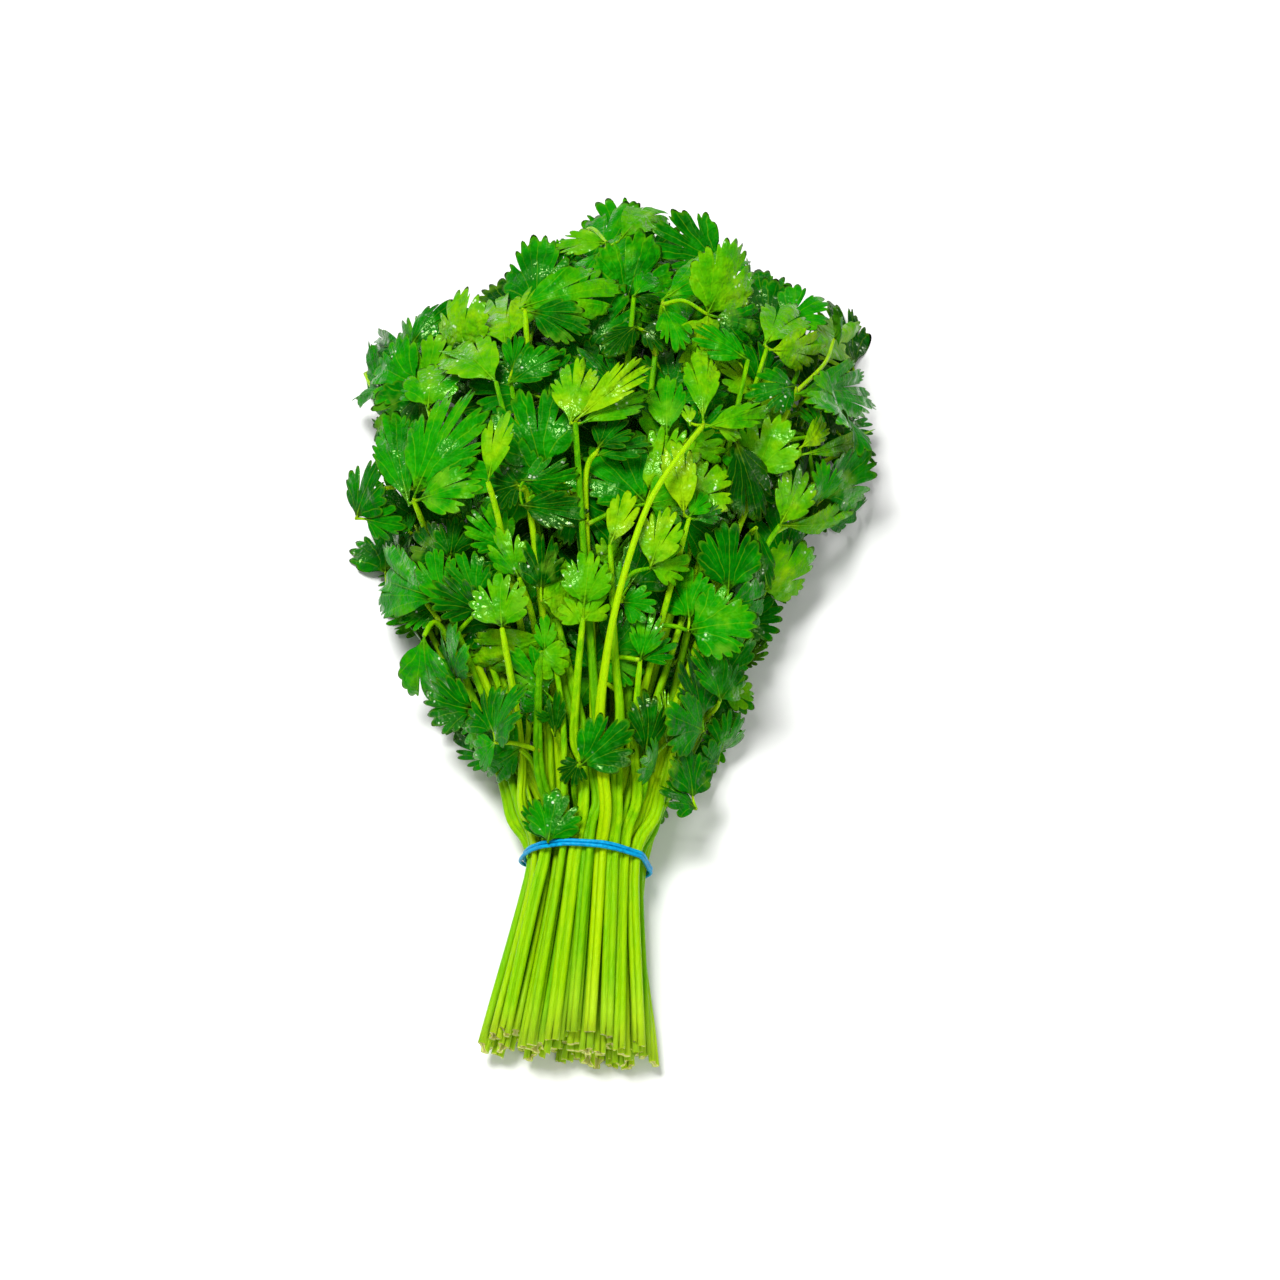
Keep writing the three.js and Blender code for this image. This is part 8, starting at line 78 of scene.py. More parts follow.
    [[[21.904, -140.7, 10.354, 1.467], [16.74, -87.38, 15.801, 1.355], [20.488, -77.38, 16.602, 1.338], [21.86, -65.38, 19.179, 1.343], [35.717, -7.38, 30.897, 1.099], [57.528, 71.654, 44.9, 0.733]], [[0, [57.53, 71.65, 44.9], [[57.53, 71.65, 44.9, 71.51, 102.63, 9.96, 0.808, 0.242, 0.538, 14.2, 0.039, -0.204, 1, 3, 1]]], [[[50.63, 46.8, 40.75], [46.74, 49.25, 45.62], [43.15, 50.62, 49.58]], [43.15, 50.62, 49.58], [[44, 53.69, 49.93, 46.16, 69.56, 50.42, 0.56, -0.102, 0.822, 16.06, 0.087, 0.018, 0, 1, 0], [43.15, 50.62, 49.58, 56.77, 53.6, 47.18, 0.24, -0.376, 0.895, 14.11, 0.043, -0.192, 1, 3, 0], [43.15, 50.62, 49.58, 34.98, 61.39, 54.15, 0.478, -0.01, 0.878, 13.16, 0.037, 0.06, 2, 3, 0]]], [[[57.53, 71.65, 44.9], [51.85, 78.67, 42.1], [48.2, 83.26, 38.4]], [48.2, 83.26, 38.4], [[50.44, 85.51, 37.94, 62.02, 97.01, 36.78, 0.102, -0.002, 0.995, 16.96, 0.088, 0.168, 0, 2, 0], [48.2, 83.26, 38.4, 34.31, 99.36, 37.52, 0.086, 0.128, 0.988, 21.79, -0.009, 0.153, 0, 1, 0]]], [[[44.67, 25.4, 36.97], [54.28, 28.58, 31.65], [64.11, 29.2, 25.94]], [64.11, 29.2, 25.94], [[66.08, 31.72, 25.95, 80.02, 47.7, 26.44, 0.704, -0.624, 0.339, 21.93, -0.007, 0.19, 1, 1, 0], [64.11, 29.2, 25.94, 65.13, 34.97, 40.07, 0.736, -0.644, 0.209, 14.78, 0.092, 0.075, 0, 2, 0]]], [[[51.84, 51.16, 41.49], [42.7, 60.6, 45.21], [37.13, 64.74, 45.56]], [37.13, 64.74, 45.56], [[39.9, 65.47, 44.13, 56.96, 69.76, 36.29, 0.432, -0.078, 0.898, 19.16, 0.096, 0.173, 0, 0, 0], [37.13, 64.74, 45.56, 41.65, 85.27, 41.32, 0.518, 0.062, 0.853, 18.72, 0.1, -0.209, 1, 2, 0]]], [[[51.23, 48.98, 41.12], [62.04, 55.6, 38.07], [69.07, 54.6, 38.11]], [69.07, 54.6, 38.11], [[68.13, 53.11, 40.78, 63.35, 43.09, 61.05, 0.863, 0.342, 0.372, 18.53, 0.099, 0.15, 0, 2, 0], [69.07, 54.6, 38.11, 75.78, 39.34, 41.2, 0.786, 0.434, 0.439, 14.36, 0.109, 0.199, 1, 1, 0]]], [[[53.64, 57.7, 42.6], [58.93, 58.97, 39.32], [62.5, 59.39, 35.38]], [62.5, 59.39, 35.38], [[62.5, 59.39, 35.38, 61.08, 63.69, 43.74, 0.988, 0.038, 0.148, 7.89, 0.049, 0.078, 1, 1, 0]]]]],
    [[[11.733, -143.352, 6.818, 1.64], [10.15, -87.38, 11.848, 1.622], [11.532, -77.38, 14.803, 1.571], [21.198, -31.38, 31.117, 1.295], [36.284, 36.666, 55.876, 0.867], [38.754, 28.565, 59.911, 0.82]], [[0, [38.75, 28.57, 59.91], [[38.75, 28.57, 59.91, 47.85, 13.15, 40.85, 0.455, -0.574, 0.681, 15.5, 0.066, -0.185, 1, 0, 1]]], [[[36.59, 35.65, 56.38], [28.97, 27.11, 58.64], [23.66, 26.07, 59.48]], [23.66, 26.07, 59.48], [[25.9, 28.24, 60.19, 35.28, 36.55, 64.41, 0.037, -0.485, 0.874, 12.95, 0.077, -0.211, 2, 1, 0], [23.66, 26.07, 59.48, 35.94, 24.53, 57.72, -0.006, -0.774, 0.634, 13.07, 0.06, 0.08, 1, 3, 0]]], [[[29.41, 5.83, 44.62], [25.58, 6.95, 50.31], [23.31, 6.73, 54.38]], [23.31, 6.73, 54.38], [[25.46, 9.08, 54.71, 37.66, 20.2, 56.2, 0.198, -0.341, 0.919, 16.05, 0.033, 0.067, 0, 3, 0], [23.31, 6.73, 54.38, 37.38, 2.91, 42.26, 0.493, -0.482, 0.724, 17.36, -0.015, 0.042, 2, 1, 0]]], [[[31.86, 16.85, 48.64], [25.2, 26.75, 44.57], [20.87, 27.29, 38.89]], [20.87, 27.29, 38.89], [[20.87, 27.29, 38.89, 14.32, 16.96, 38.63, 0.082, -0.077, 0.994, 12.43, 0.084, -0.103, 2, 1, 0], [20.87, 27.29, 38.89, 35.18, 30.5, 36.9, 0.145, -0.033, 0.989, 14.9, 0.105, -0.083, 2, 2, 0]]]]],
    [[[25.682, -139.877, 14.903, 1.452], [19.426, -87.38, 20.805, 1.452], [24.161, -77.38, 23.315, 1.387], [25.946, -65.38, 24.283, 1.309], [28.527, -50.38, 26.263, 1.207], [32.375, -31.38, 29.282, 1.079], [38.438, -7.38, 33.458, 0.92], [43.201, 15.614, 23.238, 0.771], [46.74, 8.575, 44.878, 0.726]], [[0, [46.74, 8.58, 44.88], [[46.74, 8.58, 44.88, 48.64, -7.28, 30.59, 0.555, -0.519, 0.65, 9.89, 0.086, 0.042, 1, 1, 1]]], [[[39.52, -2.15, 31.14], [43.2, -2.51, 27.16], [47.29, -3.7, 24.86]], [47.29, -3.7, 24.86], [[49.32, -1.23, 24.83, 63.66, 15.03, 23.84, 0.662, -0.553, 0.507, 19.07, 0.069, -0.173, 1, 3, 0], [47.29, -3.7, 24.86, 44.64, 3.86, 36.7, 0.805, -0.402, 0.437, 15.17, 0.013, -0.042, 1, 1, 0]]], [[[43.2, 15.61, 23.24], [47.77, 19.76, 22.83], [52.23, 23.16, 22]], [52.23, 23.16, 22], [[52.23, 23.16, 22, 55.4, 34.34, 13.51, 0.828, -0.468, -0.308, 11.74, 0.021, -0.036, 1, 0, 0]]], [[[42.98, 14.57, 23.7], [48.09, 16.92, 14.88], [52.08, 18.95, 8.86]], [52.08, 18.95, 8.86], [[52.08, 18.95, 8.86, 58.54, 24.27, 19.13, 0.866, -0.108, -0.488, 11.06, 0.061, 0.142, 0, 2, 0]]], [[[41.69, 8.3, 26.49], [43.48, 5.22, 15.24], [45.67, -0.96, 11.49]], [45.67, -0.96, 11.49], [[45.67, -0.96, 11.49, 44.71, 9.77, 10.83, -0.848, -0.043, 0.529, 9, 0.035, 0.198, 0, 0, 0]]]]],
    [[[18.131, -140.665, 13.522, 1.469], [13.88, -87.38, 20.74, 1.469], [15.698, -77.38, 24.049, 1.385], [20.685, -50.38, 31.082, 1.142], [25.198, -31.38, 36.916, 0.966], [30.819, -9.931, 44.491, 0.778], [32.233, -14.819, 46.372, 0.735]], [[0, [32.23, -14.82, 46.37], [[32.23, -14.82, 46.37, 37.49, -27.99, 35.37, 0.499, -0.43, 0.753, 10.31, 0.032, 0.155, 2, 0, 1]]], [[[29.13, -16.37, 42.22], [35.44, -15.67, 42.94], [40.2, -15.45, 42.75]], [40.2, -15.45, 42.75], [[40.2, -12.26, 43.01, 39.14, 6.49, 50.27, 0.33, -0.324, 0.886, 18.1, 0.043, -0.033, 1, 1, 0], [40.2, -15.45, 42.75, 51.79, -10.88, 28.02, 0.766, -0.442, 0.466, 17.21, 0.062, 0.088, 1, 1, 0]]], [[[18.75, -60.02, 28.63], [21.51, -61.99, 29.54], [23.4, -64.62, 29.96]], [23.4, -64.62, 29.96], [[23.4, -64.62, 29.96, 22.03, -65.9, 44.19, 0.959, -0.277, 0.067, 12.16, 0.011, -0.074, 1, 2, 0]]]]],
    [[[-16.262, -142.195, 6.737, 1.502], [-8.466, -87.38, 11.746, 1.477], [-15.719, -77.38, 13.245, 1.394], [-19.978, -65.38, 16.191, 1.29], [-27.08, -50.38, 21.016, 1.115], [-42.38, -23.011, 31.592, 0.808], [-46.205, -29.467, 34.201, 0.751]], [[0, [-46.2, -29.47, 34.2], [[-46.2, -29.47, 34.2, -40.61, -43.61, 13.04, -0.478, -0.783, 0.397, 19.75, 0.1, 0.113, 0, 2, 1]]], [[[-38.01, -30.83, 28.57], [-43.96, -19.25, 22.45], [-45.31, -18.02, 14.13]], [-45.31, -18.02, 14.13], [[-45.31, -18.02, 14.13, -40.29, -19.39, 3.9, -0.884, -0.24, -0.402, 11.1, 0.092, 0.003, 1, 1, 0]]], [[[-42.38, -23.01, 31.59], [-49.07, -15.89, 33.3], [-52.4, -12.56, 31.19]], [-52.4, -12.56, 31.19], [[-52.4, -12.56, 31.19, -59.64, -7.71, 18.36, -0.883, -0.109, 0.457, 12.85, 0.086, 0.089, 2, 1, 0]]]]],
    [[[-17.218, -143.503, 9.947, 1.614], [-8.675, -87.38, 15.195, 1.614], [-12.842, -77.38, 17.399, 1.506], [-17.478, -65.38, 18.219, 1.37], [-24.148, -50.38, 23.877, 1.153], [-40.061, -23.518, 44.149, 0.807]], [[0, [-40.06, -23.52, 44.15], [[-40.23, -22.96, 44.9, -69.37, 2.55, 11.61, -0.808, -0.199, 0.555, 21.14, 0.086, -0.085, 1, 2, 1], [-39.9, -24.08, 43.4, -45.68, -7.38, 48.03, -0.177, -0.319, 0.931, 12.62, 0.109, -0.118, 1, 2, 1]]], [[[-36.14, -30.2, 39.26], [-32.72, -28.02, 43.57], [-29.45, -26.21, 46.43]], [-29.45, -26.21, 46.43], [[-30.79, -23.44, 47.32, -36.85, -11.07, 51.48, -0.026, -0.33, 0.944, 12.88, 0.076, 0.169, 2, 1, 0], [-29.45, -26.21, 46.43, -43.37, -21.67, 51.1, -0.087, -0.831, 0.549, 13.63, 0.04, 0.088, 2, 1, 0]]], [[[-30.66, -39.44, 32.26], [-33.57, -39.31, 30.71], [-35.9, -39.55, 27.97]], [-35.9, -39.55, 27.97], [[-35.9, -39.55, 27.97, -37.93, -30.19, 43.2, -0.802, -0.55, 0.232, 16.81, 0.063, -0.129, 0, 2, 0]]]]],
    [[[-1.696, -138.469, 1.68, 1.482], [1.319, -87.38, 3.692, 1.252], [-9.769, -68.352, 16.996, 0.918], [-19.674, -61.421, 22.825, 0.737]], [[0, [-19.67, -61.42, 22.83], [[-19.67, -61.42, 22.83, -35.16, -50.42, 11.92, -0.695, -0.362, 0.621, 12.13, 0.065, 0.143, 2, 1, 1]]]]],
    [[[17.501, -140.014, 10.256, 1.359], [13.806, -87.38, 14.611, 1.249], [20.384, -70.437, 25.555, 0.886], [20.591, -62.3, 34.628, 0.673]], [[0, [20.59, -62.3, 34.63], [[20.59, -62.3, 34.63, 19.97, -45.42, 42.45, 0.395, -0.374, 0.839, 11.84, 0.107, -0.136, 0, 0, 1]]], [[[20.52, -65.26, 31.33], [23.36, -60.06, 31.44], [26.24, -54.97, 29.62]], [26.24, -54.97, 29.62], [[25.98, -55.25, 30.15, 24.22, -41.47, 35.43, 0.237, -0.321, 0.917, 6.26, 0.03, 0.105, 2, 3, 1], [26.51, -54.69, 29.09, 31.98, -44.26, 28.33, 0.606, -0.263, 0.751, 7.42, 0.059, -0.031, 2, 1, 1]]]]],
    [[[11.423, -143.426, 3.202, 1.63], [9.438, -87.38, 6.389, 1.211], [0.43, -64.266, 24.685, 0.993], [-5.804, -56.862, 36.796, 0.814]], [[0, [-5.8, -56.86, 36.8], [[-5.16, -59.1, 36.33, -5.57, -47.31, 41.57, -0.339, -0.392, 0.855, 6.79, 0.038, -0.002, 0, 0, 1], [-6.45, -54.62, 37.26, -10.89, -54.12, 40.03, 0.233, -0.819, 0.524, 3.59, 0.095, -0.127, 1, 1, 1]]]]],
    [[[-7.327, -139.261, 6.567, 1.312], [-2.302, -87.38, 10.881, 1.237], [-6.738, -77.38, 14.615, 1.188], [-14.868, -65.38, 16.997, 1.143], [-18.837, -50.38, 22.252, 1.015], [-34.912, -18.34, 38.613, 0.739], [-40.382, -9.721, 44.809, 0.656]], [[0, [-40.38, -9.72, 44.81], [[-40.38, -9.72, 44.81, -53.59, 1.01, 41.67, -0.516, -0.416, 0.749, 12.75, 0.049, 0.067, 0, 0, 1], [-40.38, -9.72, 44.81, -39.95, 1.85, 50.82, 0.16, -0.46, 0.873, 11.53, 0.063, -0.078, 1, 1, 1]]], [[[-28.58, -30.96, 32.17], [-24.18, -28.17, 37.07], [-21.44, -27.63, 39.92]], [-21.44, -27.63, 39.92], [[-24.51, -26.71, 39.83, -40.54, -20.87, 37.91, -0.283, -0.511, 0.812, 18.12, 0.021, 0.038, 2, 0, 0], [-21.44, -27.63, 39.92, -24.8, -16.23, 44.39, 0.215, -0.301, 0.929, 11.79, 0.066, 0.029, 1, 1, 0]]], [[[-26.63, -34.85, 30.18], [-20.03, -25.39, 31.21], [-15.83, -22.24, 30.41]], [-15.83, -22.24, 30.41], [[-18.81, -23.39, 30.61, -30.35, -27.78, 31.28, 0.213, -0.425, 0.88, 10.97, 0.1, 0.099, 2, 0, 0], [-15.83, -22.24, 30.41, -23.5, -14.59, 36.33, 0.406, -0.27, 0.873, 11.69, -0.011, 0.047, 0, 1, 0], [-15.83, -22.24, 30.41, -18.47, -31.59, 24.72, 0.191, -0.549, 0.814, 10.96, 0.082, -0.052, 1, 2, 0]]], [[[-34.43, -19.31, 38.12], [-38.89, -17.92, 35.36], [-42.98, -17.49, 31.38]], [-42.98, -17.49, 31.38], [[-42.98, -17.49, 31.38, -39.59, -5.63, 35.53, -0.37, -0.211, 0.905, 10.59, 0.019, 0.076, 0, 2, 0], [-42.98, -17.49, 31.38, -55.1, -20.65, 27, -0.297, -0.166, 0.94, 12.22, 0.054, 0.196, 1, 1, 0]]]]],
    [[[20.598, -143.067, 16.37, 1.368], [16.644, -87.38, 22.305, 1.368], [19.233, -72.646, 27.174, 1.182], [17.079, -57.743, 34.959, 0.983], [16.973, -37.1, 44.354, 0.684]], [[0, [16.97, -37.1, 44.35], [[16.99, -37.31, 44.76, 19.21, -23.64, 49.66, 0.185, -0.358, 0.915, 9.62, 0.077, -0.103, 2, 2, 1], [16.95, -36.89, 43.95, 26.57, -29.37, 43.5, 0.195, -0.192, 0.962, 9.08, 0.063, -0.084, 0, 1, 1]]], [[[16.97, -37.1, 44.35], [10.71, -35.57, 42.2], [6.9, -35.65, 39.62]], [6.9, -35.65, 39.62], [[8.64, -33.11, 40.5, 15.89, -22.54, 44.85, -0.175, -0.27, 0.947, 14.53, 0.016, 0.05, 1, 2, 0], [6.9, -35.65, 39.62, 17.53, -39.24, 40, -0.117, -0.243, 0.963, 10.86, 0.082, -0.125, 2, 2, 0]]]]],
    [[[-6.254, -141.12, 2.225, 1.47], [-3.37, -105.38, 3.592, 1.388], [-1.781, -87.38, 4.801, 1.238], [-8.894, -77.38, 2.846, 1.223], [-42.487, -28.405, 12.254, 0.735]], [[0, [-42.49, -28.4, 12.25], [[-42.49, -28.4, 12.25, -52.39, -18.71, 22.1, -0.804, -0.506, -0.311, 15.3, 0.021, -0.033, 0, 0, 0], [-42.49, -28.4, 12.25, -46.26, -33.17, 25.36, -0.714, -0.567, -0.412, 13.01, 0.098, 0.156, 2, 1, 0], [-42.49, -28.4, 12.25, -49.19, -16.99, 6.46, -0.706, -0.603, -0.371, 13.01, 0.092, -0.159, 0, 2, 0]]], [[[-13.25, -70.92, 4.1], [-9.23, -69.37, 7.27], [-5.58, -69.24, 9.13]], [-5.58, -69.24, 9.13], [[-7.65, -66.82, 8.9, -18.96, -56.55, 5.56, -0.6, -0.444, 0.666, 13.91, 0.066, -0.227, 0, 2, 0]]], [[[-38.5, -34.18, 11.24], [-39.81, -31.82, 7.98], [-40.89, -30.09, 4.98]], [-40.89, -30.09, 4.98], [[-40.89, -30.09, 4.98, -47.36, -31.59, 12.8, 0.665, 0.405, 0.627, 8.65, -0.019, 0.068, 1, 0, 0]]]]],
    [[[3.974, -143.007, 1.144, 1.414], [4.488, -87.38, 3.042, 1.414], [-3.05, -50.38, 5.1, 1.167], [-17.585, 15.938, 10.194, 0.707]], [[0, [-17.59, 15.94, 10.19], [[-17.59, 15.94, 10.19, -17.53, 33.54, 8.08, -0.609, -0.093, -0.787, 15.96, 0.082, -0.007, 0, 2, 0], [-17.59, 15.94, 10.19, -24.48, 21.12, 13.8, -0.514, -0.09, -0.853, 8.41, 0.006, -0.089, 1, 1, 0], [-17.59, 15.94, 10.19, -6.14, 22.43, 2.85, -0.548, 0.02, -0.836, 13.56, 0.006, 0.017, 2, 0, 0]]], [[[-16.88, 12.77, 9.94], [-20.53, 12.46, 6.44], [-23.8, 11.04, 3.64]], [-23.8, 11.04, 3.64], [[-25.24, 13.86, 4.12, -37.49, 32.97, 5.63, 0.656, 0.369, 0.658, 20.21, 0.088, 0.185, 2, 0, 0], [-23.8, 11.04, 3.64, -34.3, 12.49, 17.86, 0.791, 0.25, 0.559, 17.36, -0.014, -0.166, 2, 0, 0]]], [[[-12.2, -8.46, 8.27], [-7.13, -6.42, 9.22], [-4.07, -8.11, 9.41]], [-4.07, -8.11, 9.41], [[-4.07, -8.11, 9.41, -10, 3.47, 6.84, -0.255, 0.083, 0.963, 13.15, 0, -0.101, 1, 1, 0], [-4.07, -8.11, 9.41, -0.13, -25.9, 11.42, -0.252, 0.054, 0.966, 14.35, 0.047, 0.154, 1, 0, 0]]]]],
    [[[-9.52, -138.528, 4.226, 1.367], [-4.099, -87.38, 7.1, 1.256], [-10.839, -77.38, 5.533, 1.238], [-15.445, -65.38, 8.923, 1.221], [-31.329, -31.38, 11.099, 1.028], [-56.938, 20.156, 15.502, 0.683]], [[0, [-56.94, 20.16, 15.5], [[-56.94, 20.16, 15.5, -51, 32.84, 14.94, -0.898, 0.414, -0.15, 12.62, 0.025, 0.157, 1, 1, 0], [-56.94, 20.16, 15.5, -58.26, 29.29, 27.8, -0.946, 0.202, -0.252, 13.84, 0.04, 0.096, 0, 0, 0], [-56.94, 20.16, 15.5, -54.07, 26.39, 1.75, -0.963, 0.255, -0.086, 13.84, 0.039, 0.073, 1, 1, 0]]], [[[-27.31, -39.82, 10.46], [-28.4, -37.07, 6.55], [-29.75, -35.38, 2.71]], [-29.75, -35.38, 2.71], [[-31.96, -33.08, 2.43, -40.49, -24.3, 2.12, -0.087, -0.049, 0.995, 11.14, -0.003, 0.09, 0, 0, 0], [-29.75, -35.38, 2.71, -25.5, -24.53, 1.53, -0.075, 0.136, 0.988, 11.57, -0.016, 0.155, 2, 0, 0], [-29.75, -35.38, 2.71, -40.04, -37.71, 0.99, -0.162, -0.013, 0.987, 9.17, 0.068, 0.188, 1, 1, 0]]], [[[-46.21, -1.21, 13.62], [-56.13, 0.83, 9.32], [-63.61, 2.25, 5.82]], [-63.61, 2.25, 5.82], [[-64.28, 5.33, 6.36, -67.32, 26.02, 6.17, -0.556, -0.074, 0.828, 22.18, -0.016, 0.167, 0, 1, 0], [-63.61, 2.25, 5.82, -45.46, 12.06, 10.84, -0.167, -0.185, 0.968, 18.3, 0.092, 0.182, 2, 1, 0]]], [[[-31.84, -30.34, 11.19], [-27.19, -27.93, 11.68], [-23.64, -27.4, 12.19]], [-23.64, -27.4, 12.19], [[-26.15, -25.49, 12.72, -40.4, -17.59, 15.93, 0.238, 0.034, 0.971, 15.83, 0.098, 0.168, 0, 0, 0], [-23.64, -27.4, 12.19, -15.47, -10.51, 11.31, 0.181, -0.036, 0.983, 16.99, 0.079, 0.143, 0, 1, 0]]], [[[-34.4, -25.12, 11.62], [-29.41, -14.97, 6.2], [-25.68, -9.27, 3.91]], [-25.68, -9.27, 3.91], [[-25.68, -9.27, 3.91, -22.88, 6.14, 5.68, 0.597, -0.198, 0.778, 14.1, 0.024, -0.231, 1, 1, 0], [-25.68, -9.27, 3.91, -35.42, -19.52, 6.03, 0.543, -0.359, 0.759, 14.49, 0.008, 0.079, 0, 1, 0]]], [[[-49.3, 4.97, 14.15], [-52.41, 8.36, 23.69], [-55.52, 7.39, 28.96]], [-55.52, 7.39, 28.96], [[-55.52, 7.39, 28.96, -57.32, 14.45, 27.79, -0.726, -0.072, 0.684, 6.09, 0.021, -0.031, 2, 2, 0]]]]],
    [[[1.88, -140.089, 9.027, 1.495], [3.629, -87.38, 15.153, 1.495], [1.275, -77.38, 16.384, 1.447], [-0.633, -65.38, 16.37, 1.389], [-10.215, -7.38, 13.056, 1.108], [-23.204, 65.045, 10.235, 0.747]], [[0, [-23.2, 65.04, 10.24], [[-23.2, 65.04, 10.24, -28.48, 83.25, 11.02, -0.543, -0.122, -0.831, 17.07, 0.099, 0.038, 2, 2, 0], [-23.2, 65.04, 10.24, -31.75, 67.59, 14.76, -0.484, -0.078, -0.871, 9, 0.052, -0.173, 0, 2, 0], [-23.2, 65.04, 10.24, -14.28, 76.31, 2.92, -0.576, -0.072, -0.814, 14.51, 0.018, -0.098, 2, 1, 0]]], [[[-20.67, 51.35, 10.74], [-28.93, 55.42, 5.87], [-37.77, 57.46, 1.6]], [-37.77, 57.46, 1.6], [[-39.48, 60.17, 1.48, -46.5, 71.26, 0.27, -0.057, 0.073, 0.996, 11.07, 0.02, 0.104, 2, 1, 0], [-37.77, 57.46, 1.6, -30.09, 66.98, 0.38, 0.034, 0.1, 0.994, 10.81, 0.076, 0.008, 1, 0, 0], [-37.77, 57.46, 1.6, -50.34, 52.72, 0.53, -0.085, 0.002, 0.996, 12.54, 0.017, 0.167, 1, 1, 0]]], [[[-20.46, 50.19, 10.78], [-19.92, 49.93, 6.24], [-19.59, 48.69, 2.77]], [-19.59, 48.69, 2.77], [[-19.59, 48.69, 2.77, -5.36, 62.85, 3.24, -0.003, -0.03, 1, 18.2, -0.009, 0.189, 0, 1, 0], [-19.59, 48.69, 2.77, -31.93, 49.18, 1.53, -0.102, -0.067, 0.993, 12.39, 0.05, 0.037, 2, 1, 0]]], [[[-23.2, 65.04, 10.24], [-25.04, 73.34, 25.94], [-28.75, 77.89, 38.36]], [-28.75, 77.89, 38.36], [[-30.42, 80.51, 37.58, -40.54, 96.36, 33.17, -0.173, 0.16, 0.972, 20.59, -0.004, 0.004, 1, 0, 0], [-28.75, 77.89, 38.36, -19.8, 91.82, 34.88, -0.33, 0.424, 0.843, 18.18, 0.043, -0.182, 0, 0, 0], [-28.75, 77.89, 38.36, -41.01, 79.27, 39.04, 0.051, -0.04, 0.998, 11.32, -0.017, 0.05, 2, 1, 0]]], [[[-18.57, 39.66, 11.18], [-26.69, 39.59, 9.39], [-33.42, 38.24, 7.83]], [-33.42, 38.24, 7.83], [[-34.07, 41.36, 7.63, -35.67, 53.17, 7.99, -0.592, -0.055, -0.804, 10.02, -0.005, -0.183, 1, 0, 0], [-33.42, 38.24, 7.83, -44.85, 42.28, 17.43, -0.665, -0.142, -0.733, 15.74, 0.035, -0.099, 1, 0, 0]]], [[[-21.09, 53.69, 10.65], [-41.1, 58.27, 5.91], [-58.46, 58.59, 6.75]], [-58.46, 58.59, 6.75], [[-59.13, 61.21, 8.46, -65.63, 77.54, 17.47, 0.807, -0.005, 0.59, 17.75, 0.036, -0.195, 0, 0, 0], [-58.46, 58.59, 6.75, -57.12, 66.34, 2.89, 0.896, 0.063, 0.439, 7.49, 0.033, -0.14, 2, 2, 0]]]]],
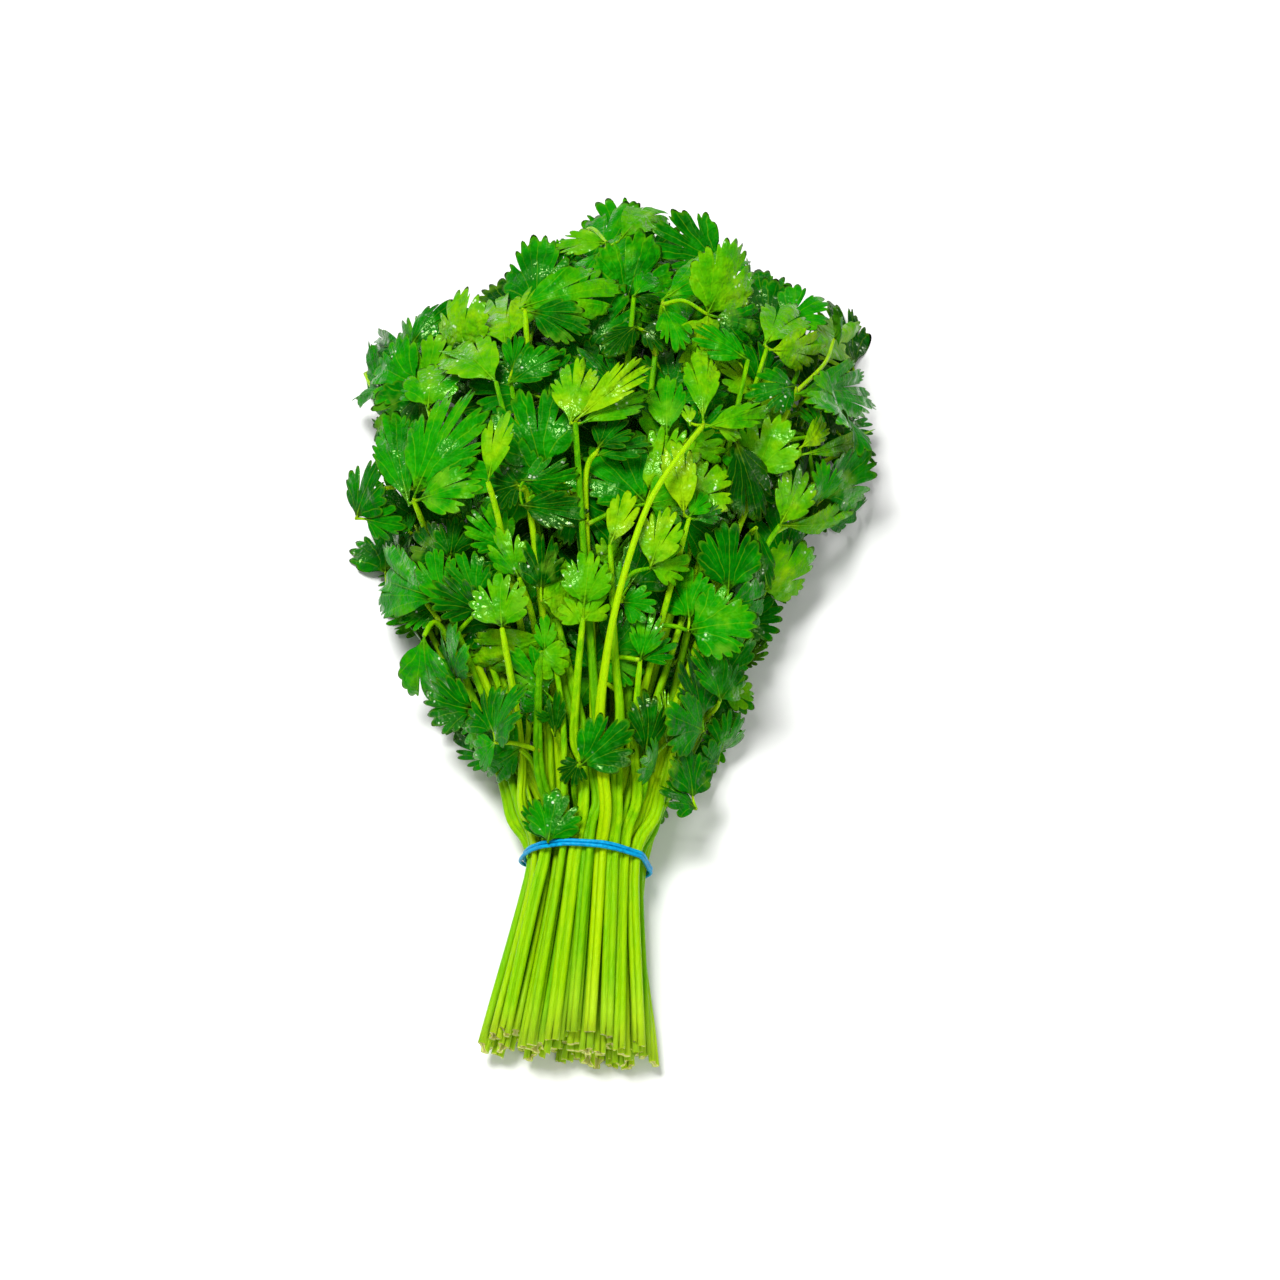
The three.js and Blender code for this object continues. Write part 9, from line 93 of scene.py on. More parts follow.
    [[[2.728, -139.837, 5.391, 1.32], [5.056, -87.38, 8.871, 1.32], [0.399, -7.38, 9.686, 1.027], [-4.946, 91.702, 13.438, 0.66]], [[0, [-4.95, 91.7, 13.44], [[-4.95, 91.7, 13.44, 0, 108.24, 23.94, -0.329, 0.575, -0.749, 18.18, 0.004, 0.068, 0, 1, 0], [-4.95, 91.7, 13.44, -17.5, 100.44, 21.25, -0.259, 0.409, -0.875, 15.46, 0.057, 0.031, 0, 2, 0], [-4.95, 91.7, 13.44, 6.66, 98.3, 10.19, -0.458, 0.421, -0.783, 12.37, 0.046, -0.139, 0, 1, 0]]], [[[-4.57, 84.63, 13.12], [0.84, 88.84, 7.41], [5.54, 91.61, 1.98]], [5.54, 91.61, 1.98], [[5.28, 94.8, 1.81, 3.51, 113.09, 3.37, -0.11, -0.095, 0.989, 16.74, 0.058, 0.095, 2, 1, 0], [5.54, 91.61, 1.98, 21.61, 97.35, 4.54, -0.167, 0.028, 0.986, 14.8, 0.087, 0.049, 2, 0, 0], [5.54, 91.61, 1.98, -2.94, 93.71, 0.21, -0.19, 0.061, 0.98, 7.22, 0.107, -0.108, 2, 2, 0]]], [[[-0.05, 0.89, 9.92], [-0.2, 1.51, 6.07], [-1.74, -0.01, 2.76]], [-1.74, -0.01, 2.76], [[-4.81, 0.85, 2.5, -16.89, 4.26, 0.27, -0.172, 0.037, 0.984, 10.67, 0.093, 0.002, 1, 1, 0], [-1.74, -0.01, 2.76, -4.78, 14.39, 2.74, -0.074, -0.014, 0.997, 12.12, 0.065, -0.108, 0, 1, 0], [-1.74, -0.01, 2.76, -11.53, -12.09, 1.66, -0.098, -0.011, 0.995, 14.1, -0.016, 0.008, 0, 0, 0]]], [[[-4.12, 76.39, 12.75], [-11.5, 81.83, 7.39], [-20.65, 84.56, 2.51]], [-20.65, 84.56, 2.51], [[-22.63, 87.07, 2.57, -33.49, 100.93, 3.64, 0.053, -0.035, 0.998, 13.88, 0.107, 0.199, 2, 0, 0], [-20.65, 84.56, 2.51, -14.28, 97.39, 3.32, -0.001, -0.063, 0.998, 13.16, -0.016, -0.062, 1, 1, 0], [-20.65, 84.56, 2.51, -36.7, 81.87, 0.39, -0.126, -0.03, 0.992, 14.24, 0.008, 0.035, 1, 2, 0]]], [[[-4.95, 91.7, 13.44], [-0.49, 109.18, 8.33], [0.6, 123.6, 5.86]], [0.6, 123.6, 5.86], [[-0.85, 126.24, 6.96, -10.47, 143.79, 14.75, 0.16, -0.326, 0.932, 20.51, 0.097, 0.101, 2, 2, 0], [0.6, 123.6, 5.86, 14.26, 138.32, 11.61, 0.059, -0.41, 0.91, 18.94, 0.005, -0.215, 0, 0, 0], [0.6, 123.6, 5.86, -19.05, 121.47, 11.93, 0.303, -0.099, 0.948, 22.1, 0.048, -0.133, 1, 2, 0]]], [[[-3.93, 72.86, 12.6], [-24.02, 77, 20.48], [-35.28, 75.57, 25.37]], [-35.28, 75.57, 25.37], [[-33.04, 77.77, 24.78, -19.65, 90.99, 20.02, 0.221, 0.124, 0.967, 18.14, 0.057, -0.079, 0, 0, 0], [-35.28, 75.57, 25.37, -42.46, 93.86, 23.3, 0.145, 0.167, 0.975, 18.82, 0.093, 0.066, 0, 2, 0]]], [[[-1.84, 33.98, 11], [-2.53, 36.11, 7.3], [-2.68, 37.55, 4.39]], [-2.68, 37.55, 4.39], [[-2.05, 40.57, 5.23, 0.63, 53.34, 8.83, 0.109, -0.291, 0.951, 11.08, 0.044, 0.025, 0, 2, 0], [-2.68, 37.55, 4.39, 10.99, 42.7, 2.54, 0.221, -0.247, 0.943, 12.64, 0.038, -0.012, 0, 0, 0], [-2.68, 37.55, 4.39, -17.68, 47.91, 7.37, 0.032, -0.234, 0.972, 17.58, 0.084, -0.237, 1, 1, 0]]], [[[-3.3, 61.09, 12.1], [-0.17, 61.43, 11], [3.59, 60.4, 9.96]], [3.59, 60.4, 9.96], [[5.84, 62.68, 9.86, 21.52, 75.87, 11.41, -0.367, 0.527, -0.767, 17.63, -0.015, -0.13, 0, 1, 0], [3.59, 60.4, 9.96, -1.21, 76.42, 25.2, -0.498, 0.514, -0.698, 19.01, 0.035, 0.044, 1, 2, 0], [3.59, 60.4, 9.96, 12.38, 56.5, 0.14, -0.556, 0.471, -0.685, 12.25, 0.016, -0.21, 2, 1, 0]]]]],
    [[[5.741, -141.747, 3.774, 1.408], [5.952, -87.38, 5.938, 1.408], [6.132, -77.38, 5.884, 1.372], [8.001, -50.38, 6.532, 1.274], [9.72, -31.38, 7.439, 1.206], [15.282, 18.62, 10.725, 1.025], [18.548, 44.62, 12.82, 0.931], [26.835, 105.321, 18.615, 0.704]], [[0, [26.84, 105.32, 18.62], [[26.84, 105.32, 18.62, 17.96, 109.66, 4.22, 0.738, 0.619, -0.269, 15.71, 0.026, 0.161, 1, 2, 0], [26.84, 105.32, 18.62, 32.33, 98.03, 2.47, 0.761, 0.648, -0.033, 16.7, 0.034, -0.004, 0, 1, 0], [26.84, 105.32, 18.62, 17.11, 121.12, 18.53, 0.841, 0.517, -0.162, 16.7, 0.064, -0.107, 0, 1, 0]]], [[[9.51, -33.75, 7.33], [9.68, -31.54, 4.16], [9.84, -29.89, 1.22]], [9.84, -29.89, 1.22], [[10.21, -26.71, 1.18, 11.97, -11.22, 0.75, -0.014, 0.03, 0.999, 14.9, 0.01, 0.015, 1, 2, 0], [9.84, -29.89, 1.22, 19.73, -29.58, 0.09, 0.113, 0.017, 0.993, 8.6, 0.074, 0.07, 0, 1, 0], [9.84, -29.89, 1.22, -6.01, -24.95, 0.6, -0.033, 0.018, 0.999, 16.54, 0.101, -0.158, 0, 2, 0]]], [[[7.55, -57.3, 6.4], [3.89, -55.62, 3.28], [-0.77, -55.47, 0.76]], [-0.77, -55.47, 0.76], [[-2.69, -52.92, 1.03, -12.91, -39.3, 2.94, 0.077, -0.081, 0.994, 16.27, 0.017, -0.214, 1, 2, 0], [-0.77, -55.47, 0.76, 7.18, -50.55, 0.83, 0.011, -0.033, 0.999, 8.62, 0.027, 0.189, 2, 2, 0], [-0.77, -55.47, 0.76, -13.8, -60.12, 2.96, 0.173, -0.02, 0.985, 14.61, 0.095, 0.179, 1, 1, 0]]], [[[26.84, 105.32, 18.62], [34.14, 109.57, 16.48], [39.23, 112.09, 16.11]], [39.23, 112.09, 16.11], [[38.31, 114.5, 18, 33.98, 122.83, 24.63, 0.924, 0.341, 0.175, 9.31, 0.045, -0.219, 1, 1, 0], [39.23, 112.09, 16.11, 38.28, 125.2, 10.53, 0.974, 0.145, 0.175, 12.28, 0.012, -0.092, 0, 2, 0], [39.23, 112.09, 16.11, 37.83, 109.53, 25.93, 0.947, 0.251, 0.201, 10.03, 0.01, 0.125, 1, 2, 0]]], [[[20.91, 62.35, 14.43], [23.28, 64.36, 11.12], [25.79, 65.48, 8.63]], [25.79, 65.48, 8.63], [[27.03, 68.23, 9.7, 35.5, 85.8, 15.04, -0.373, -0.101, 0.922, 20.37, 0.009, -0.074, 0, 1, 0], [25.79, 65.48, 8.63, 41.67, 64.37, 16.79, -0.46, -0.164, 0.873, 15.35, 0.03, 0.128, 2, 1, 0]]], [[[23.89, 84.19, 16.51], [30.63, 89.62, 11.98], [38.55, 88.18, 9.73]], [38.55, 88.18, 9.73], [[38.55, 88.18, 9.73, 38, 77.59, 6.78, -0.667, -0.167, 0.726, 9.9, 0.043, 0.001, 2, 2, 0], [38.55, 88.18, 9.73, 44.99, 101.7, 19.46, -0.691, -0.175, 0.701, 17, -0.018, -0.032, 1, 2, 0]]], [[[26.84, 105.32, 18.62], [29.31, 108.74, 9.2], [33, 107.84, 3.36]], [33, 107.84, 3.36], [[33, 107.84, 3.36, 27.54, 122.28, 12.88, 0.493, 0.601, -0.629, 18.04, 0.04, 0.188, 1, 1, 0], [33, 107.84, 3.36, 45.25, 100.36, 6.29, 0.49, 0.532, -0.69, 11.87, 0.086, -0.169, 2, 0, 0]]], [[[15.01, 16.26, 10.56], [5.41, 22.56, 7.29], [-2.69, 26.82, 3.5]], [-2.69, 26.82, 3.5], [[-2, 29.93, 3.18, 1.86, 47.54, 1.54, -0.05, -0.081, -0.995, 17.11, 0.09, 0.02, 0, 1, 0], [-2.69, 26.82, 3.5, -9.96, 32.58, 4.1, -0.115, -0.04, -0.993, 8.17, 0.039, 0.169, 2, 1, 0]]], [[[26.37, 102.05, 18.28], [9.02, 110.69, 16.68], [-3.51, 113.81, 18.05]], [-3.51, 113.81, 18.05], [[-1.83, 115.99, 19.69, 4.5, 127.82, 26.71, 0.716, -0.598, 0.361, 15.33, 0.064, -0.175, 2, 2, 0], [-3.51, 113.81, 18.05, 5.57, 121.71, 10.26, 0.739, -0.64, 0.212, 11.74, 0.044, 0.148, 2, 2, 0], [-3.51, 113.81, 18.05, -8.22, 115.45, 27.85, 0.594, -0.697, 0.402, 10.08, -0.01, -0.079, 0, 2, 0]]]]],
    [[[8.156, -141.852, 1.353, 1.623], [7.963, -105.38, 2.185, 1.623], [7.862, -87.38, 3.161, 1.623], [8.563, -77.38, 2.996, 1.565], [14.705, -31.38, 4.172, 1.298], [22.697, 18.62, 6.623, 1.008], [28.124, 50.372, 8.539, 0.811]], [[0, [28.12, 50.37, 8.54], [[28.12, 50.37, 8.54, 42.12, 63.05, 13.5, 0.551, -0.305, -0.776, 17.57, 0.048, 0.016, 0, 1, 0], [28.12, 50.37, 8.54, 27.28, 60.19, 5.58, 0.618, -0.177, -0.766, 9.26, 0.035, -0.018, 2, 2, 0], [28.12, 50.37, 8.54, 38.91, 46.23, 20.45, 0.671, -0.255, -0.696, 14.93, 0.004, -0.177, 0, 1, 0]]], [[[25.25, 33.63, 7.51], [29.96, 35.62, 4.67], [36.08, 34.25, 1.93]], [36.08, 34.25, 1.93], [[39.22, 34.83, 1.82, 55.79, 38.13, 3.44, -0.113, 0.081, 0.99, 16.84, 0.097, -0.072, 1, 1, 0], [36.08, 34.25, 1.93, 41.76, 24.23, 4.1, -0.032, 0.194, 0.98, 10.95, 0.04, 0.048, 2, 0, 0], [36.08, 34.25, 1.93, 37.78, 46.3, 0.1, 0.023, 0.147, 0.989, 10.45, 0.051, -0.041, 0, 2, 0]]], [[[11.04, -57.3, 3.33], [14.52, -56.89, 2.54], [17.94, -57.27, 1.79]], [17.94, -57.27, 1.79], [[19.44, -54.44, 1.73, 27.01, -38.07, 1.82, 0.082, -0.043, 0.996, 16.88, 0.03, -0.115, 0, 1, 0]]], [[[14.7, -31.38, 4.17], [13.94, -30.12, 7.3], [14.13, -30.02, 10.04]], [14.13, -30.02, 10.04], [[16.78, -28.23, 10.29, 28.42, -22.3, 7.88, 0.45, -0.62, 0.643, 13.07, -0.013, -0.046, 0, 1, 0], [14.13, -30.02, 10.04, 22.88, -34.5, 3.87, 0.282, -0.54, 0.793, 11.49, 0.053, -0.032, 1, 1, 0], [14.13, -30.02, 10.04, 12.2, -17.04, 17.08, 0.28, -0.425, 0.861, 15.76, 0.052, -0.052, 1, 1, 0]]], [[[19.6, -0.29, 5.62], [13.81, 2.49, 3.54], [8.68, 3.93, 2.17]], [8.68, 3.93, 2.17], [[9.17, 7.01, 2.89, 13.28, 25.6, 5.35, -0.53, 0.005, 0.848, 16.91, 0.068, -0.044, 0, 2, 0], [8.68, 3.93, 2.17, 18.18, 6, 9.41, -0.586, -0.112, 0.802, 11.03, 0.024, -0.191, 2, 0, 0]]], [[[25.83, 37.09, 7.71], [22.55, 40.31, 7.55], [20.48, 42.12, 8.04]], [20.48, 42.12, 8.04], [[20.48, 42.12, 8.04, 27.73, 32.66, 20.48, -0.641, 0.383, 0.665, 17.42, 0.04, 0.055, 0, 0, 0], [20.48, 42.12, 8.04, 22.97, 51.93, 2.51, -0.67, 0.487, 0.56, 11.07, -0.02, 0.066, 0, 0, 0]]]]],
    [[[18.297, -143.326, 1.611, 1.451], [14.626, -87.38, 4.489, 1.451], [23.683, -50.38, 5.927, 1.285], [35.777, -7.38, 8.83, 1.088], [43.638, 18.62, 11.073, 0.969], [59.237, 67.6, 16.071, 0.725]], [[0, [59.24, 67.6, 16.07], [[59.24, 67.6, 16.07, 59.89, 90.83, 21.36, 0.973, 0.025, -0.23, 21.45, 0.012, -0.016, 1, 0, 0], [59.24, 67.6, 16.07, 58.02, 76.1, 6.9, 0.985, -0.043, -0.17, 11.31, 0.096, 0.157, 0, 1, 0], [59.24, 67.6, 16.07, 64.61, 72.33, 30.61, 0.94, -0.019, -0.341, 14.59, 0.043, 0.084, 1, 1, 0]]], [[[57.16, 61.27, 15.36], [42.03, 73.4, 9.24], [31.13, 80.03, 2.61]], [31.13, 80.03, 2.61], [[33.32, 82.36, 2.5, 43.84, 93.61, 3.74, -0.059, -0.054, 0.997, 15.15, 0.031, -0.11, 1, 0, 0], [31.13, 80.03, 2.61, 47.24, 70.05, 4.96, -0.085, 0.095, 0.992, 15.22, 0.026, 0.026, 1, 2, 0], [31.13, 80.03, 2.61, 22.35, 90.66, 4.32, 0.105, -0.073, 0.992, 13.39, 0.077, 0.022, 2, 0, 0]]], [[[51.08, 42.36, 13.38], [57.29, 42.22, 7.65], [63.65, 39.53, 2.32]], [63.65, 39.53, 2.32], [[66.03, 41.67, 2.25, 76.14, 50.75, 2.54, -0.008, -0.023, 1, 13.13, 0.019, 0.01, 2, 2, 0], [63.65, 39.53, 2.32, 71.33, 36.75, 2.08, 0.032, 0.001, 0.999, 7.63, 0.075, -0.08, 1, 0, 0], [63.65, 39.53, 2.32, 59.95, 49.9, 2.22, 0.019, 0.016, 1, 10.5, -0.009, -0.107, 1, 1, 0]]], [[[55.38, 55.76, 14.77], [56.56, 62, 26.96], [59.97, 61.42, 34.77]], [59.97, 61.42, 34.77], [[62.74, 61.09, 33.19, 74.26, 59.05, 26.14, 0.525, 0.029, 0.85, 12.82, -0.019, -0.176, 0, 0, 0], [59.97, 61.42, 34.77, 65.92, 74.28, 32.47, 0.467, -0.058, 0.883, 15.22, 0.033, 0.042, 0, 0, 0]]], [[[59.24, 67.6, 16.07], [64.47, 68.12, 15.66], [69.08, 63.36, 14.51]], [69.08, 63.36, 14.51], [[71.03, 60.89, 13.92, 78.99, 50.1, 10.01, 0.412, -0.026, 0.911, 14, 0.099, -0.126, 1, 0, 0], [69.08, 63.36, 14.51, 79.35, 71.46, 9.63, 0.485, -0.09, 0.87, 13.03, 0.038, -0.138, 2, 1, 0]]], [[[46.12, 26.53, 11.84], [43.63, 29.75, 9.77], [40.77, 32.18, 8.29]], [40.77, 32.18, 8.29], [[40.84, 35.24, 9.23, 42.78, 54.9, 13.68, -0.702, -0.091, 0.707, 16.37, 0.057, -0.197, 0, 2, 0], [40.77, 32.18, 8.29, 49.67, 33.86, 18.32, -0.717, -0.196, 0.669, 11.97, 0.039, 0.185, 0, 0, 0]]], [[[39.19, 3.92, 9.8], [38.53, 6.75, 6.23], [38.02, 8.77, 3.3]], [38.02, 8.77, 3.3], [[38.02, 8.77, 3.3, 49.53, 6.41, 9.37, -0.475, -0.058, 0.878, 12.59, 0.042, 0.129, 2, 2, 0], [38.02, 8.77, 3.3, 27.27, 19.42, 0.92, -0.331, -0.125, 0.935, 12.93, 0.07, 0.095, 1, 0, 0]]], [[[57.5, 62.32, 15.48], [61.58, 61.43, 14.46], [63.86, 59.54, 12.27]], [63.86, 59.54, 12.27], [[63.86, 59.54, 12.27, 64.9, 56.14, 4.41, -0.979, -0.2, -0.043, 8.06, 0.019, -0.09, 0, 2, 0]]]]],
    [[[25.952, -138.75, 5.703, 1.65], [19.082, -87.38, 9.617, 1.65], [31.827, -50.38, 10.266, 1.386], [59.689, 22.279, 12.622, 0.825]], [[0, [59.69, 22.28, 12.62], [[59.69, 22.28, 12.62, 61.37, 40.65, 16.28, 0.944, -0.021, -0.328, 16.93, 0.055, 0.169, 2, 1, 0], [59.69, 22.28, 12.62, 55.88, 30.82, 3.89, 0.945, 0.105, -0.31, 11.51, 0.041, 0.131, 0, 1, 0], [59.69, 22.28, 12.62, 61.97, 25.21, 21.81, 0.956, 0.107, -0.272, 8.92, 0.016, -0.194, 0, 0, 0]]], [[[29.16, -57.88, 10.11], [25.97, -55.62, 9.25], [22.79, -57.4, 7.99]], [22.79, -57.4, 7.99], [[23.07, -60.37, 6.82, 23.65, -70.9, 2.26, 0.762, -0.221, 0.609, 10.73, 0.038, 0.015, 0, 1, 0], [22.79, -57.4, 7.99, 29.63, -55.81, 0.58, 0.742, -0.183, 0.645, 9.28, 0.039, 0.051, 1, 1, 0]]], [[[38.46, -32.5, 10.75], [35.31, -27.36, 15.02], [33.49, -26.35, 17.66]], [33.49, -26.35, 17.66], [[36.15, -27.41, 16.23, 49.63, -32.68, 11.44, 0.228, -0.268, 0.936, 15.45, 0.03, -0.058, 0, 1, 0], [33.49, -26.35, 17.66, 32.37, -38.96, 13.61, 0.307, -0.315, 0.898, 12.08, 0.026, -0.017, 1, 0, 0]]], [[[53.95, 7.66, 12.09], [55.93, 7.26, 17.5], [55.72, 5.77, 22.78]], [55.72, 5.77, 22.78], [[55.01, 8.62, 24.04, 52.33, 25.79, 34.41, 0.6, -0.343, 0.723, 18.73, 0.082, -0.233, 1, 1, 0], [55.72, 5.77, 22.78, 44.26, 6.42, 27.95, 0.398, -0.164, 0.903, 11.2, 0.042, -0.201, 1, 1, 0]]], [[[44.31, -17.2, 11.24], [42.21, -13.81, 14.46], [40.99, -11.73, 17.12]], [40.99, -11.73, 17.12], [[43.4, -9.65, 16.89, 55.26, 0.13, 16.95, 0.183, -0.227, 0.957, 16.13, -0.012, -0.166, 1, 1, 0], [40.99, -11.73, 17.12, 35.26, 3.52, 19.55, 0.368, -0.011, 0.93, 16.55, -0.007, 0.028, 2, 1, 0]]], [[[51.01, 0.14, 11.82], [48.36, 4.92, 17.28], [45.45, 6, 19.49]], [45.45, 6, 19.49], [[45.45, 6, 19.49, 47.54, 14.2, 15.52, 0.964, -0.134, 0.23, 7.87, 0.075, -0.085, 2, 0, 0]]], [[[49.33, -4.16, 11.67], [46.13, 0.4, 6.2], [44.06, 1.81, 3.03]], [44.06, 1.81, 3.03], [[44.06, 1.81, 3.03, 51.08, -10.12, 7.71, -0.624, -0.062, 0.779, 12.29, -0.019, 0.132, 1, 1, 0]]]]],
    [[[22.887, -142.941, 3.12, 1.551], [17.517, -87.38, 6.166, 1.551], [44.757, -16.691, 8.634, 0.775]], [[0, [44.76, -16.69, 8.63], [[44.76, -16.69, 8.63, 37.34, -8.31, 0.89, 0.624, -0.156, -0.766, 12.25, 0.01, 0.144, 2, 1, 0], [44.76, -16.69, 8.63, 52.52, -12.87, 14.66, 0.659, -0.19, -0.728, 9.49, 0.038, 0.103, 2, 0, 0]]], [[[35.39, -40.59, 7.7], [35.8, -38.55, 4.47], [36.83, -39.06, 1.53]], [36.83, -39.06, 1.53], [[36.83, -39.06, 1.53, 38.65, -49.57, 3.2, 0.036, 0.163, 0.986, 9.97, 0.039, -0.176, 1, 2, 0], [36.83, -39.06, 1.53, 46.04, -31.12, 1.8, -0.001, -0.033, 0.999, 10.24, 0.061, 0.068, 1, 2, 0]]], [[[31.99, -49.29, 7.37], [37.22, -48.91, 6.3], [40.98, -49.54, 6.75]], [40.98, -49.54, 6.75], [[41.16, -47.33, 9.06, 42.56, -38.26, 19.28, 0.585, -0.645, 0.492, 14.79, 0.11, -0.178, 2, 1, 0], [40.98, -49.54, 6.75, 32.3, -55.27, 19.65, 0.821, -0.447, 0.354, 15.1, 0.099, 0.174, 1, 1, 0]]], [[[43.48, -19.95, 8.5], [39.76, -18.29, 6.65], [36.43, -17.79, 5.45]], [36.43, -17.79, 5.45], [[37.64, -14.92, 6.22, 43.4, -3.09, 9.04, -0.815, 0.275, 0.51, 12.48, 0.034, 0.192, 1, 2, 0], [36.43, -17.79, 5.45, 41.42, -21.07, 15.09, -0.834, 0.218, 0.507, 11.29, 0.03, 0.013, 0, 1, 0]]]]],
    [[[1.274, -140.266, 2.783, 1.337], [2.907, -87.38, 6.422, 1.337], [1.903, -77.38, 7.946, 1.294], [-4.072, -65.38, 8.016, 1.243], [-18.803, -31.38, 9.069, 1.087], [-29.691, -7.38, 10.386, 0.977], [-55.932, 48.54, 14.331, 0.719], [-59.496, 54.962, 14.912, 0.668]], [[0, [-59.5, 54.96, 14.91], [[-59.5, 54.96, 14.91, -58.45, 71.55, 21.38, -0.915, 0.195, -0.353, 16.05, 0.076, 0.167, 0, 0, 0], [-59.5, 54.96, 14.91, -64.01, 57.84, 29.1, -0.889, 0.302, -0.344, 13.64, 0.01, -0.167, 0, 1, 0], [-59.5, 54.96, 14.91, -53.03, 62.81, 9.04, -0.833, 0.404, -0.377, 10.09, 0.005, 0.034, 1, 1, 0]]], [[[-39.77, 14.29, 11.83], [-46.57, 12.73, 6.66], [-52.44, 9.5, 1.8]], [-52.44, 9.5, 1.8], [[-52.44, 9.5, 1.8, -45.02, 20.46, 1.75, -0.058, 0.044, 0.997, 11.35, -0.012, -0.024, 1, 0, 0], [-52.44, 9.5, 1.8, -65.3, 1.88, 3.05, 0.047, 0.083, 0.995, 14.56, 0.107, -0.187, 2, 1, 0]]], [[[-58.99, 54.04, 14.83], [-74.73, 67.17, 10.6], [-80.52, 78.04, 4.28]], [-80.52, 78.04, 4.28], [[-78.6, 80.5, 3.57, -67.02, 93.66, 2.58, -0.097, 0.16, 0.982, 16.3, 0.028, -0.128, 0, 2, 0], [-80.52, 78.04, 4.28, -67.42, 74.66, 0.52, 0.267, -0.038, 0.963, 13.24, 0.043, 0.042, 0, 1, 0]]], [[[-10.92, -49.32, 8.36], [-10.29, -46.56, 11.21], [-10.33, -46.18, 13.57]], [-10.33, -46.18, 13.57], [[-13.26, -47.44, 13.29, -25.3, -52.23, 11.12, -0.165, -0.03, 0.986, 12.94, 0.075, 0.123, 2, 1, 0], [-10.33, -46.18, 13.57, -20.84, -39.14, 12.47, -0.167, -0.097, 0.981, 13.01, 0.059, -0.224, 1, 1, 0]]], [[[-53.41, 43.2, 13.94], [-56.53, 41.27, 17.15], [-58.17, 38.95, 19.35]], [-58.17, 38.95, 19.35], [[-58.17, 38.95, 19.35, -59.08, 42.32, 33.9, -0.981, -0.191, -0.017, 13.97, 0.091, 0.163, 0, 0, 0], [-58.17, 38.95, 19.35, -58.75, 38.22, 3.23, -0.982, -0.186, 0.044, 13.2, 0.012, -0.001, 0, 2, 0]]], [[[-55.43, 47.47, 14.25], [-60.53, 46.86, 16.28], [-64.52, 45.78, 18.24]], [-64.52, 45.78, 18.24], [[-65.66, 48.71, 18.8, -73.2, 69.2, 22.64, -0.921, -0.365, 0.137, 18.85, 0.104, -0.2, 1, 1, 0], [-64.52, 45.78, 18.24, -71.69, 52.98, 4.16, -0.874, -0.43, 0.225, 14.39, 0.085, 0.176, 0, 0, 0]]], [[[-54.42, 45.33, 14.09], [-53.2, 48.98, 9.76], [-52.79, 50.26, 6.79]], [-52.79, 50.26, 6.79], [[-55.52, 50.79, 8.38, -65.96, 52.9, 12.81, -0.366, 0.127, -0.922, 10.77, 0.054, -0.012, 0, 1, 0], [-52.79, 50.26, 6.79, -56.74, 42.95, 7.86, -0.482, 0.134, -0.866, 7.55, 0.01, 0.176, 1, 1, 0]]], [[[-56.44, 49.46, 14.41], [-50.84, 56.69, 9.32], [-44.93, 60.66, 7.42]], [-44.93, 60.66, 7.42], [[-46.09, 62.48, 9.78, -53, 71.31, 22.07, -0.798, -0.603, -0.015, 15.26, -0.02, -0.126, 1, 0, 0], [-44.93, 60.66, 7.42, -39.14, 53.96, 22.42, -0.815, -0.577, 0.058, 15.76, 0.061, 0.119, 2, 0, 0]]], [[[-56.95, 50.38, 14.5], [-63.06, 49.18, 20.65], [-65.28, 47.18, 26.9]], [-65.28, 47.18, 26.9], [[-64.56, 50.03, 28.18, -60.86, 60.91, 33.63, 0.825, -0.452, 0.341, 10.32, 0.04, -0.045, 0, 1, 0], [-65.28, 47.18, 26.9, -59.9, 53.87, 21.09, 0.854, -0.371, 0.364, 8.67, 0.081, -0.006, 0, 0, 0]]]]],
